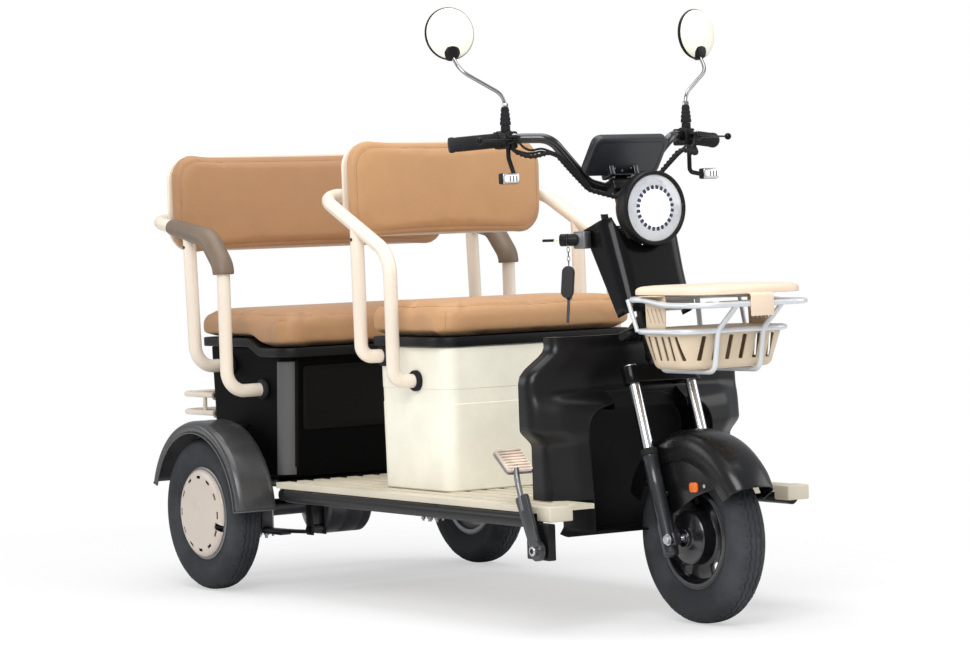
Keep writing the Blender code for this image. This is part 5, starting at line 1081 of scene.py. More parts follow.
def pad_blank(low, high, base, top, corner, tuck):
    """Plain pad, a little smaller than its cover, for the stuffing to swell."""
    depth = top - base
    levels = ((0.012, 0.0), (0.004, 0.08), (0.003, 0.3), (0.004, 0.55), (0.009, 0.72), (0.018, 0.84),
              (0.035, 0.92), (0.07, 0.965), (0.11, 0.985))
    return loft([pad_ring(low, high, inset, base + depth * share, corner, tuck) for inset, share in levels])


def seam_groove(shape, routes, width, depth):
    """Presses sewn seams into a pad's skin along routes of points."""
    lines = []
    for route in routes:
        for start, end in zip(route, route[1:]):
            lines.append((Vector(start), Vector(end)))
    shape.normal_update()
    for vertex in shape.verts:
        nearest = min(line_distance(vertex.co, start, end) for start, end in lines)
        if nearest < width * 2.2:
            press = depth * math.exp(-(nearest / width) ** 2)
            vertex.co -= vertex.normal * press


def line_distance(point, start, end):
    run = end - start
    share = max(0.0, min(1.0, (point - start).dot(run) / run.length_squared))
    return (point - start - run * share).length


def stitches(route, radius):
    """Row of thread stitches lying along a seam."""
    threads = []
    for start, end in zip(route, route[1:]):
        start = Vector(start)
        end = Vector(end)
        steps = max(1, int((end - start).length / 0.0042))
        for index in range(steps):
            first = start.lerp(end, (index + 0.15) / steps)
            last = start.lerp(end, (index + 0.85) / steps)
            thread = turned([(0, 0), (radius, 0.0006), (radius, (last - first).length - 0.0006),
                             (0, (last - first).length)], first, last - first, 5)
            threads.append(thread)
    return joined(*threads)


def on_skin(shape, route, closed=True):
    """The same route laid on a pad's skin."""
    skin = BVHTree.FromBMesh(shape)
    laid = [skin.find_nearest(Vector(point))[0] for point in route]
    return laid + laid[:1] if closed else laid


def sewn(shape, routes):
    """Seams pressed into a pad along its skin, with their thread."""
    laid = [on_skin(shape, route, closed) for route, closed in routes]
    seam_groove(shape, laid, 0.003, 0.0024)
    skin = BVHTree.FromBMesh(shape)
    rows = []
    for route in laid:
        sunk = []
        for point in route:
            place, normal = skin.find_nearest(point)[:2]
            sunk.append(place + normal * 0.0003)
        rows.append(stitches(sunk, 0.0005))
    return rows


def kept_above(shape, floor):
    """Flattens a pad where it rests: no point of it lies lower than floor."""
    for vertex in shape.verts:
        vertex.co.z = max(vertex.co.z, floor)


def fitted(shape, low, high):
    """Scales a swollen pad back to the space that its seat has for it."""
    lowest = Vector([min(vertex.co[axis] for vertex in shape.verts) for axis in range(3)])
    highest = Vector([max(vertex.co[axis] for vertex in shape.verts) for axis in range(3)])
    for vertex in shape.verts:
        for axis in range(3):
            share = (vertex.co[axis] - lowest[axis]) / (highest[axis] - lowest[axis])
            vertex.co[axis] = low[axis] + (high[axis] - low[axis]) * share


def cushions():
    low = (0.55, -0.267)
    high = (0.886, 0.267)
    base = FRONT_BOX_TOP + 0.0003 + 0.022 + 0.0003
    blank = pad_blank((0.554, -0.263), (0.882, 0.263), base, 0.697, PAD_CORNER, PAD_TUCK)
    shape = stuffed(blank, 0.0065, 4.0, 0.01)
    fitted(shape, (*low, base), (*high, 0.7035))
    kept_above(shape, base)
    routes = [(pad_ring(low, high, 0.016, 0.69, PAD_CORNER, PAD_TUCK), True)]
    for x, y in ((0.876, -0.257), (0.876, 0.257), (0.56, -0.257), (0.56, 0.257)):
        routes.append(([(x, y, base + 0.006 + index * 0.006) for index in range(11)], False))
    rows = sewn(shape, routes)
    front = piece("front_cushion", shape, TAN, "front_seat", "front_seat_cushion", 180, levels=1)
    piece("front_cushion_stitches", rows, THREAD, "front_seat")
    plate = prism(rectangle(low, high, 0.046), 2, 0.5978, 0.6198, 0.0025)
    piece("front_cushion_trim", plate, BLACK, "front_seat", "front_seat_base")

    low = (-0.17, -0.322)
    high = (0.262, 0.322)
    base = 0.58
    top = 0.6835
    blank = pad_blank((-0.166, -0.318), (0.258, 0.318), base, 0.677, PAD_CORNER, PAD_TUCK)
    shape = stuffed(blank, 0.0075, 4.0, 0.01)
    fitted(shape, (*low, base), (*high, top))
    for vertex in shape.verts:
        rest = step_height(vertex.co.x) + 0.0226
        share = (vertex.co.z - base) / (top - base)
        vertex.co.z = rest + (top - rest) * max(share, 0.0)
    routes = [(pad_ring(low, high, 0.016, 0.67, PAD_CORNER, PAD_TUCK), True)]
    turns = [step * math.pi / 16 for step in range(9)]
    for side in (-1, 1):
        curve = [(0.262 - 0.07 * math.cos(turn), side * 0.322, 0.6 + 0.07 * math.sin(turn)) for turn in turns]
        routes.append((curve, False))
    rows = sewn(shape, routes)
    rear = piece("rear_cushion", shape, TAN_PAINTED_SHADE, "rear_seat", "rear_seat_cushion", 180, levels=1)
    piece("rear_cushion_stitches", rows, THREAD, "rear_seat")
    outline = rectangle(low, high, 0.046)
    shape = loft([[(x, y, 0.0) for x, y in outline], [(x, y, 0.022) for x, y in outline]])
    for x in range(60, 171, 8):
        bmesh.ops.bisect_plane(shape, geom=list(shape.verts) + list(shape.edges) + list(shape.faces),
                               plane_co=(x / 1000, 0, 0), plane_no=(1, 0, 0))
    for vertex in shape.verts:
        vertex.co.z += step_height(vertex.co.x) + 0.0003
    piece("rear_cushion_trim", softened(shape, 0.0022, 2, 50), BLACK, "rear_seat", "rear_seat_base", 50)


def backrest(name, back, half, low, high, node, finish):
    """Upright pad with a crowned face, a sewn border and a cream plate behind it."""
    blank = pad_blank((-half + 0.004, low + 0.004), (half - 0.004, high - 0.004), 0.0, 0.05, 0.062, 0.003)
    shape = stuffed(blank, 0.0065, 3.0, 0.008)
    fitted(shape, (-half, low, 0.0085), (half, high, 0.0555))
    threads = joined(*sewn(shape, [(pad_ring((-half, low), (half, high), 0.013, 0.047, 0.062, 0.003), True)]))
    for part in (shape, threads):
        for vertex in part.verts:
            across, upward, ahead = vertex.co
            vertex.co = Vector((back + ahead, across, upward))
        bmesh.ops.recalc_face_normals(part, faces=part.faces)
    made = piece(name, shape, finish, "chassis", node, 180, levels=1)
    piece(name + "_stitches", threads, THREAD)
    outline = rectangle((-half + 0.001, low + 0.001), (half - 0.001, high - 0.001), 0.06, 7)
    piece(name + "_plate", prism(outline, 0, back, back + 0.0083, 0.003, 3), CREAM_PAINT)


# Seat rails

RAIL_RADIUS = 0.016
WALL_GAP = 0.0043


def end_collar(x, height, wall, side):
    """Rubber collar by which a rail meets a box wall."""
    profile = [(0.0165, 0), (0.0235, 0), (0.024, 0.0008), (0.024, 0.0085), (0.0225, 0.0105), (0.0195, 0.0118),
               (0.0165, 0.012)]
    return turned(profile, (x, side * (wall + 0.0003), height), (0, side, 0), 40, closed=True)


def rail_side(arm, wall, foot, knee, ends):
    """Right half of a rail: out of the box wall, up to the knee and back along the arm."""
    points = [(foot[0], -(wall + WALL_GAP), foot[1]), (knee[0], -arm, foot[1]), (knee[0], -arm, knee[1])]
    return points + [(x, -arm, z) for x, z in ends]


def hoop(corners, radii):
    back = [(x, -y, z) for x, y, z in reversed(corners)]
    return fillet(corners + back, radii + list(reversed(radii)), step=6)


def seat_rail(name, arm, wall, foot, route, post, bend, hole, bars, plate):
    """Hoop of tube with a post on each side, rubber collars on the box and a plate for the pad."""
    start, shoulder, top = post
    parts = [tube(route, RAIL_RADIUS, 10)]
    collars = []
    holes = []
    for side in (-1, 1):
        line = fillet([(start[0], side * (wall + WALL_GAP), start[1]), (shoulder, side * arm, start[1]),
                       (top[0], side * arm, top[1])], bend, step=6)
        parts.append(tube(line, RAIL_RADIUS, 10))
        collars += [end_collar(x, z, wall, side) for x, z in (start, foot)]
        x, z = hole
        holes.append(rod((x, side * (arm + 0.0158), z), (x, side * (arm + 0.0164), z), 0.0042, 20))
    piece(name + "_rail", parts + bars, CREAM_PAINT, "chassis", name + "_seat_rail", 50)
    low, high, back = plate
    piece(name + "_rail_plate", prism(rectangle(low, high, 0.05), 0, back, back + 0.004, 0.0012), CREAM_PAINT)
    piece(name + "_rail_collars", collars, RUBBER)
    piece(name + "_rail_holes", holes, RUBBER)


def front_rails():
    arm = 0.311
    wall = 0.255
    foot = (0.748, 0.52)
    route = hoop(rail_side(arm, wall, foot, (0.737, 0.81), [(0.437, 0.95)]), [0, 0.055, 0.075, 0.055])
    bars = [block((0.437, -0.15, 0.94), (0.4637, 0.15, 0.96), 0.003)]
    seat_rail("front", arm, wall, foot, route, ((0.612, 0.575), 0.6, (0.596, 0.876)), 0.052, (0.597, 0.846),
              bars, ((-0.258, 0.862), (0.258, 1.063), 0.4607))


def rear_rails():
    arm = 0.413
    wall = 0.305
    foot = (0.128, 0.488)
    line = rail_side(arm, wall, foot, (0.14, 0.79), [(0.075, 0.858), (-0.105, 0.888), (-0.208, 0.905)])
    route = hoop(line, [0, 0.07, 0.045, 0.075, 0.1, 0.06])
    bars = [block((-0.208, y - 0.02, 0.898), (-0.1663, y + 0.02, 0.912), 0.003) for y in (-0.22, 0.22)]
    seat_rail("rear", arm, wall, foot, route, ((-0.03, 0.545), -0.012, (-0.026, 0.872)), 0.07,
              (-0.0245, 0.838), bars, ((-0.3845, 0.837), (0.3845, 1.052), -0.1693))
    for name, side in SIDES.items():
        arm_grip(name, side, route, arm)


def arm_grip(name, side, route, arm):
    """Soft moulded cover over an arm: flattened on top, full at the front bend."""
    points = [Vector((point.x, side * arm, point.z)) for point in route[:len(route) // 2]
              if point.y < -arm + 1e-4 and -0.11 < point.x < 0.1405 and point.z > 0.774]
    points = [Vector((0.14, side * arm, 0.7705))] + points
    rings = []
    length = sum((b - a).length for a, b in zip(points, points[1:]))
    gone = 0.0
    for index, point in enumerate(points):
        before = points[max(index - 1, 0)]
        after = points[min(index + 1, len(points) - 1)]
        along = (after - before).normalized()
        gone += (point - before).length
        share = gone / length
        out = Vector((0, side, 0))
        top = out.cross(along) if side > 0 else along.cross(out)
        top = top if top.z > 0 or top.x > 0.2 else -top
        full = 0.0255 - 0.0035 * smoother(share, 0.35, 1.0) + 0.0008 * math.sin(share * math.pi)
        ring = []
        for step in range(28):
            angle = 2 * math.pi * step / 28
            wide = full * (1.0 + 0.05 * abs(math.cos(angle)))
            tall = full * (0.98 if math.sin(angle) > 0 else 0.9)
            ring.append(point + out * math.cos(angle) * wide + top * math.sin(angle) * tall)
        rings.append(ring)
    shape = loft(rings)
    piece("arm_grip_cover_" + name, softened(shape, 0.003, 3, 60), BROWN, "chassis", "arm_grip_" + name, 60)


# Leg shield, front panel and lamp

SHIELD_BACK = 1.205
SHIELD_STEP = 0.385
SHIELD_TOP = 0.622
SHIELD_WALL = 0.0035
SHIELD_POINTS = 110
CROWN_ROOM_X = 1.263
CROWN_ROOM_HALF = 0.097
LAMP_HEIGHT = 0.896


def shield_line(height, inset=0.0):
    """Plan outline of the leg shield at one height, from its rear right edge round the nose."""
    share = (height - FLOOR_TOP) / (SHIELD_TOP - FLOOR_TOP)
    half = 0.255 + 0.03 * smoother(height, SHIELD_STEP, 0.425)
    half -= 0.07 * smoother(height, 0.52, 0.6) ** 1.5
    ledge = smoother(height, 0.468, 0.508)
    nose = (1.33 - 0.045 * share) * (1 - ledge) + 1.262 * ledge
    edge = 1.262 - 0.022 * share
    nose -= 0.012 * smoother(height, 0.585, SHIELD_TOP)
    cheek = edge + (nose - edge) * 0.62
    corners = [(SHIELD_BACK, -half, height), (edge, -half, height), (cheek, -half * 0.78, height),
               (nose, -half * 0.42, height)]
    corners += [(x, -y, z) for x, y, z in reversed(corners)]
    points = fillet(corners, [0, 0.03, 0.06, 0.06, 0.06, 0.06, 0.03, 0], step=8)
    if inset:
        centre = Vector((SHIELD_BACK, 0.0, height))
        points = [centre + (point - centre) * (1 - inset / max((point - centre).length, 0.05))
                  for point in points]
    return points


def even_line(points, count):
    """The same line with evenly spaced points."""
    lengths = [0.0]
    for before, after in zip(points, points[1:]):
        lengths.append(lengths[-1] + (after - before).length)
    result = []
    place = 0
    for index in range(count):
        wanted = lengths[-1] * index / (count - 1)
        while place < len(lengths) - 2 and lengths[place + 1] < wanted:
            place += 1
        span = max(lengths[place + 1] - lengths[place], 1e-9)
        result.append(points[place].lerp(points[place + 1], min(max((wanted - lengths[place]) / span, 0), 1)))
    return result


def well_outline(low=0.2):
    half = 0.165
    corners = [(-half, low), (half, low), (half, 0.455), (0.05, 0.49), (-0.05, 0.49), (-half, 0.455)]
    return rounded(corners, [0, 0, 0.05, 0.04, 0.04, 0.05])


def leg_shield():
    """Curved wall with a ledge, an opening for the wheel and a recess for the top of the fork."""
    heights = [FLOOR_TOP + (SHIELD_STEP - FLOOR_TOP) * index / 6 for index in range(6)]
    heights += [SHIELD_STEP + 0.005 * index for index in range(9)]
    heights += [0.435, 0.45, 0.465, 0.48, 0.49, 0.495, 0.5, 0.505, 0.51, 0.515]
    heights += [0.525, 0.54, 0.555, 0.568, 0.58, 0.59, 0.6, 0.61, 0.617, 0.62, SHIELD_TOP]
    lines = [even_line(shield_line(height), SHIELD_POINTS) for height in heights]
    lines += [even_line(shield_line(SHIELD_TOP, inset), SHIELD_POINTS) for inset in (0.004, 0.012, 0.03)]
    solid = thickened(joined(ribbon(lines)), SHIELD_WALL)
    hole = prism(well_outline(0.1), 0, 1.188, 1.45)
    crown_room = block((CROWN_ROOM_X, -CROWN_ROOM_HALF, 0.462), (1.345, CROWN_ROOM_HALF, 0.53))
    wall = cut(solid, hole, crown_room)

    corners = [Vector((0.0, y, z)) for y, z in well_outline()]
    outline = [(point.y, point.z) for point in even_line(corners + corners[:1], 241)[:-1]]
    front = []
    for y, z in outline:
        near_fork = abs(y) < CROWN_ROOM_HALF + 0.003 and z > 0.4
        front.append((CROWN_ROOM_X if near_fork else nose_at(y, max(z, FLOOR_TOP)), y, z))
    liner = bmesh.new()
    loops = [ring_of(liner, front)]
    loops += [ring_of(liner, [(x, y * narrow, z - drop) for y, z in outline])
              for x, narrow, drop in ((1.2, 1.0, 0.0), (1.1905, 0.985, 0.002), (1.1885, 0.95, 0.006))]
    for lower, upper in zip(loops, loops[1:]):
        bmesh.ops.bridge_loops(liner, edges=lower + upper)
    bmesh.ops.contextual_create(liner, geom=loops[-1])
    cleaned(liner)
    recess_back = CROWN_ROOM_X - 0.003
    recess = [block((recess_back, -CROWN_ROOM_HALF, 0.462), (CROWN_ROOM_X - 0.0004, CROWN_ROOM_HALF, 0.515))]
    cheek = [(nose_at(CROWN_ROOM_HALF, height) - 0.0015, height)
             for height in (0.46, 0.47, 0.48, 0.49, 0.5, 0.506)]
    cheek = [(recess_back, 0.46)] + cheek + [(recess_back, 0.512)]
    recess += [prism(cheek, 1, *sorted((side * CROWN_ROOM_HALF, side * (CROWN_ROOM_HALF + 0.0025))))
               for side in (-1, 1)]
    piece("fork_recess", recess, WELL_BLACK)
    piece("leg_shield_wall", wall, SOFT_BLACK, "chassis", "leg_shield", 50)
    piece("wheel_well_liner", liner, WELL_BLACK, sharp=50, wall=SHIELD_WALL, inward=False)


def nose_at(y, z):
    """How far forward the shield's skin lies at one side distance and height."""
    points = shield_line(z)
    best = SHIELD_BACK
    for before, after in zip(points, points[1:]):
        low, high = sorted((before.y, after.y))
        if low <= y <= high and high - low > 1e-6:
            best = max(best, before.x + (after.x - before.x) * (y - before.y) / (after.y - before.y))
    return best


def panel_ring(along, half, back, ahead, corner):
    corners = [(back, -half, 0), (ahead, -half, 0), (ahead, half, 0), (back, half, 0)]
    points = fillet(corners, [0, corner, corner, 0], step=7)
    frame_here = steer_frame(along)
    return [frame_here @ point for point in points]


def front_panel():
    """Tall U-shaped cover with a rolled edge, a roof and a visor behind it."""
    lines = [panel_ring(0.5 + 0.216 * share, 0.0885 + 0.01 * share, 0.012 - 0.042 * share, 0.0635, 0.034)
             for share in (index / 12 for index in range(13))]
    skin = thickened(ribbon([even_line(line, 90) for line in lines]), 0.0028)
    top = steer_frame(0.716)
    half = 0.0985
    outline = rounded([(-0.03, -half), (0.0635, -half), (0.0635, half), (-0.03, half)],
                      [0.004, 0.034, 0.034, 0.004], 8)
    roof = moved(prism(outline, 2, -0.0035, 0.0, 0.0012), top)
    outline = rounded([(-0.064, -0.0965), (0.008, -half), (0.008, half), (-0.064, 0.0965)], 0.01, 10)
    visor = moved(prism(outline, 2, -0.0065, -0.0038, 0.001), top)
    lip = moved(block((-0.0645, -0.096, -0.02), (-0.062, 0.096, -0.0045), 0.001), top)
    stem_hole = rod(on_steer(0.666), on_steer(0.766), 0.026, 40)
    lamp_hole = rod((1.2, 0, LAMP_HEIGHT), (1.4, 0, LAMP_HEIGHT), 0.0832, 72)
    above = block((1.255, -0.2, LAMP_HEIGHT), (1.45, 0.2, 1.1))
    shell = cut(fused(skin, roof), stem_hole.copy(), lamp_hole, above)
    visor = cut(visor, stem_hole)
    piece("front_panel_cover", softened(shell, 0.0006, 1, 50), GLOSS_BLACK, "chassis", "front_panel", 50)
    piece("front_panel_visor", joined(visor, lip), BLACK, sharp=50)
    profile = [(0.0835, 0.0), (0.0885, 0.001), (0.0905, 0.006), (0.0895, 0.016), (0.0865, 0.022),
               (0.0835, 0.022)]
    collar = turned(profile, (1.2555, 0, LAMP_HEIGHT), (1, 0, 0), 96, closed=True)
    collar = cut(collar, block((1.2, -0.2, LAMP_HEIGHT - 0.01), (1.45, 0.2, 1.1)))
    piece("lamp_collar", collar, GLOSS_BLACK, sharp=50)


def headlight():
    profile = [(0, 0), (0.036, 0.0), (0.04, 0.002), (0.058, 0.012), (0.068, 0.024), (0.0755, 0.038),
               (0.079, 0.046), (0.0798, 0.05), (0.079, 0.0515), (0.0805, 0.0535), (0.0818, 0.06),
               (0.082, 0.074), (0.0812, 0.079), (0.0795, 0.0808), (0.0765, 0.081), (0.0745, 0.08),
               (0.0725, 0.077), (0.0725, 0.061), (0, 0.061)]
    ahead = (1, 0, 0)
    body = turned(profile, (1.262, 0, LAMP_HEIGHT), ahead, 96)
    piece("headlight_body", body, BLACK, "chassis", "headlight_housing", 45)
    back = (1.3233, 0, LAMP_HEIGHT)
    bowl = [(0, 0.0), (0.072, 0.0), (0.072, 0.013), (0.07, 0.0145), (0.05, 0.0105), (0.0485, 0.008),
            (0.04, 0.003), (0.0, 0.0015)]
    piece("headlight_bowl", turned(bowl, back, ahead, 96), LAMP_BOWL, "chassis", "headlight_lens", 40)
    lens = [(0.0722, 0.015), (0.069, 0.0172), (0.06, 0.0196), (0.045, 0.0215), (0.025, 0.0228),
            (0, 0.0232)]
    under = [(0, 0.0212), (0.025, 0.0208), (0.045, 0.0195), (0.06, 0.0176), (0.07, 0.0148)]
    piece("headlight_glass", turned(lens + under, back, ahead, 96), GLASS, sharp=60)
    mark = block((0.007, -0.0034, 0.0405), (0.0118, 0.0034, 0.049), 0.0008, 1)
    piece("headlight_lamp_ring", round_about(back, mark, 24, "X", 0.5), LAMP_DARK)
    glow = [(0, 0.004), (0.04, 0.0052), (0.04, 0.0085), (0.033, 0.011), (0, 0.0125)]
    piece("headlight_diffuser", turned(glow, back, ahead, 72), LAMP_GLOW, sharp=50)


# Basket

BASKET_TOP = 0.702
BASKET_FRONT = 1.7
BASKET_MIDDLE = 0.634


def dipped(x):
    return BASKET_TOP - 0.012 * smoother(x, 1.47, 1.59)


def basket_loop(back, front, half, corner, height):
    """Closed loop round the basket, with points close enough to follow its dip."""
    points = [Vector((x, y, 0)) for x, y in rectangle((back, -half), (front, half), corner, 7)]
    dense = []
    for before, after in zip(points, points[1:] + points[:1]):
        steps = max(1, round((after - before).length / 0.02))
        dense.extend(before.lerp(after, step / steps) for step in range(steps))
    return [(point.x, point.y, height(point.x)) for point in dense]


def basket_tubes():
    """Silver tube loops, hoops under the tub, struts and the plate on the front panel."""
    upper = basket_loop(1.409, BASKET_FRONT, 0.15, 0.06, dipped)
    middle = basket_loop(1.4342, 1.6278, 0.1451, 0.05, lambda x: BASKET_MIDDLE)
    inner = basket_loop(1.612, BASKET_FRONT, 0.09, 0.03, dipped)
    shapes = [tube(upper, 0.006, 4, True), tube(middle, 0.006, 4, True),
              tube([point for point in inner if point[0] < BASKET_FRONT - 0.004], 0.0052, 4)]
    for side in (-1, 1):
        y = side * 0.06
        hoop = fillet([(BASKET_FRONT, y, dipped(BASKET_FRONT)), (1.6293, y, BASKET_MIDDLE),
                       (1.6133, y, 0.5467), (1.419, y, 0.5467), (1.409, y * 0.9, BASKET_TOP)],
                      [0, 0.03, 0.022, 0.03, 0])
        shapes.append(tube(hoop, 0.0057, 4))
        shapes.append(rod((1.459, side * 0.1446, BASKET_MIDDLE), (1.434, side * 0.15, dipped(1.434)),
                          0.0048, 16))
    frame_here = steer_frame(0.505)
    foot = moved(block((0.0653, -0.045, -0.01), (0.118, 0.045, 0.01), 0.003), frame_here)
    shapes.append(foot)
    piece("basket_tubes", shapes, SILVER, "chassis", "basket_frame", 50)
    heads = [moved(screw((0.0668, y, 0.0105), (0, 0, 1), 0.0042), frame_here) for y in (-0.03, 0.03)]
    piece("basket_foot_screws", heads, BOLT)


def slanted(low, high, lean, axis):
    """Slot cutter with round ends, leaning along one axis."""
    shape = block(low, high, min(0.0022, (high[0] - low[0]) * 0.45, (high[1] - low[1]) * 0.45), 2)
    middle = (Vector(low) + Vector(high)) / 2
    lean = Matrix.Rotation(lean, 4, axis)
    return moved(shape, Matrix.Translation(middle) @ lean @ Matrix.Translation(-middle))


def basket_bin():
    """Slotted tub, and a slotted plate at each rear side that hooks over the top tube."""
    def ring(height, inset):
        taper = 0.022 * (0.64 - height) / 0.087
        outline = rectangle((1.439 + taper + inset, -0.14 + taper * 0.8 + inset),
                            (1.623 - taper - inset, 0.14 - taper * 0.8 - inset), 0.045 - min(inset, 0.03), 7)
        return [(x, y, height) for x, y in outline]
    outer = loft([ring(height, inset) for height, inset in (
        (0.553, 0.01), (0.5545, 0.0055), (0.558, 0.002), (0.562, 0.0004), (0.6, 0.0), (0.64, 0.0))])
    inner = loft([ring(height, inset) for height, inset in (
        (0.5558, 0.0132), (0.558, 0.008), (0.563, 0.0035), (0.645, 0.003))])
    slots = [slanted((x - 0.0046, -0.3, 0.572), (x + 0.0046, 0.3, 0.624), -0.1, "Y")
             for x in (1.466 + index * 0.0235 for index in range(6))]
    slots += [slanted((1.57, y - 0.006, 0.572), (1.65, y + 0.006, 0.624), -0.08, "X")
              for y in ((index - 2.5) * 0.036 for index in range(6))]
    tub = cut(outer, inner, *slots)
    rim = loft([ring(0.634, 0.0004), ring(0.634, -0.0001), ring(0.64, -0.0001), ring(0.64, 0.0004)])
    piece("basket_bin", joined(softened(tub, 0.0007, 2, 40), rim), BEIGE, "chassis", "basket_tub", 40)
    profile = [(1.483, 0.6365), (1.549, 0.6365), (1.552, 0.7), (1.548, 0.7095), (1.488, 0.7095), (1.48, 0.7)]
    shapes = []
    for side in (-1, 1):
        plate = prism(profile, 1, *sorted((side * 0.1355, side * 0.1385)), 0.0008)
        holes = [slanted((x - 0.0018, -0.3, 0.65), (x + 0.0018, 0.3, 0.684), -0.42, "Y")
                 for x in (1.494 + index * 0.0145 for index in range(4))]
        holes += [rod((x, -0.3, 0.6945), (x, 0.3, 0.6945), 0.0022, 16) for x in (1.5, 1.534)]
        shapes.append(cut(plate, *holes))
        shapes.append(between((1.484, side * 0.1355, 0.7082), (1.549, side * 0.1585, 0.7102), 0.0008, 2))
    piece("basket_side_plates", shapes, BEIGE, sharp=40)


def lid():
    levels = [(0.0015, 0.7108), (0.0, 0.712), (0.0, 0.7195), (0.0015, 0.7235), (0.0055, 0.7266),
              (0.0125, 0.7287), (0.03, 0.7301), (0.07, 0.7308)]
    rings = []
    for inset, height in levels:
        outline = rectangle((1.405 + inset, -0.138 + inset), (1.696 - inset, 0.138 - inset),
                            max(0.06 - inset * 0.5, 0.01), 6)
        rings.append([(x, y, height) for x, y in outline])
    piece("basket_cover", loft(rings), PEACH, "basket_lid", "basket_lid", 50)
    tongue = fillet([(1.66, 0, 0.7128), (1.7078, 0, 0.7128), (1.7078, 0, 0.664)], 0.008, step=15)
    under = [(point.x - 0.0008 if point.x > 1.7 else point.x, point.z - 0.002) if point.z > 0.711
             else (point.x - 0.0022, point.z) for point in reversed(tongue)]
    strip = prism([(point.x, point.z) for point in tongue] + under, 1, -0.03, 0.03)
    piece("basket_cover_tongue", softened(strip, 0.0006, 2, 30), PEACH, "basket_lid", sharp=50)


# Lock and key

KEY_WAY = Vector((-0.75, -0.66, 0.0)).normalized()
LOCK_START = Vector((1.212, -0.112, 0.832))
KEY_START = LOCK_START + KEY_WAY * 0.0463


def chain_link(middle, wide, half, tall, points):
    """Oval ring of wire."""
    turns = [index * 2 * math.pi / points for index in range(points)]
    return tube([middle + wide * math.sin(turn) * half + Vector((0, 0, math.cos(turn) * tall))
                 for turn in turns], 0.0007, 2, True)


def lock_and_key():
    base = block((1.196, -0.122, 0.812), (1.238, -0.1003, 0.85), 0.004)
    piece("lock_bracket", base, GREY_METAL, "chassis", "ignition_lock")
    barrel = [(0, 0.004), (0.013, 0.004), (0.0135, 0.005), (0.0135, 0.026), (0.0125, 0.027), (0.0125, 0.03),
              (0.0137, 0.031), (0.0137, 0.044), (0.0125, 0.0458), (0.006, 0.0458), (0.0055, 0.0445),
              (0, 0.0445)]
    piece("lock_barrel", turned(barrel, LOCK_START, KEY_WAY, 64), BLACK)
    across = Vector((-KEY_WAY.y, KEY_WAY.x, 0))
    place = axes_frame(KEY_START + KEY_WAY * 0.01, KEY_WAY, across, Vector((0, 0, 1)))
    blade = moved(block((-0.01, -0.004, -0.0011), (0.012, 0.004, 0.0011), 0.0006, 2), place)
    outline = rectangle((0.004, -0.011), (0.0295, 0.011), 0.0085, 10)
    bow = moved(prism(outline, 2, -0.003, 0.003, 0.0016, 3), place)
    eye = moved(rod((0.0255, 0, -0.01), (0.0255, 0, 0.01), 0.0022, 20), place)
    piece("key_blade", blade, BRASS, "ignition_key", "ignition_key")
    piece("key_head", cut(bow, eye), BLACK, "ignition_key")
    neck = LOCK_START + KEY_WAY * 0.0285
    links = [chain_link(neck + Vector((0, 0, -0.0014)), across, 0.0142, 0.015, 40)]
    links += [chain_link(neck + Vector((0, 0, -0.0215 - 0.0098 * index)), across if index % 2 else KEY_WAY,
                         0.003, 0.006, 20) for index in range(4)]
    piece("key_chain", links, DARK_METAL)
    foot = turned_at(neck + Vector((0, 0, -0.054)), 35, "Z") @ Matrix.Rotation(math.radians(5), 4, "Y")
    pouch = prism(rectangle((-0.0145, -0.074), (0.0145, -0.003), 0.014, 9), 1, -0.0055, 0.0055, 0.0038, 4)
    piece("key_pouch", moved(pouch, foot), POUCH, sharp=60)
    spare = joined(block((0.001, -0.001, -0.128), (0.008, 0.001, -0.07), 0.0006, 2),
                   rod((0.0045, -0.001, -0.071), (0.0045, 0.001, -0.071), 0.0075, 24))
    piece("spare_key", moved(spare, foot), DARK_METAL)


# Fork, front axle and mudguard

CLAMP = 0.79
LEG_SIDE = 0.076


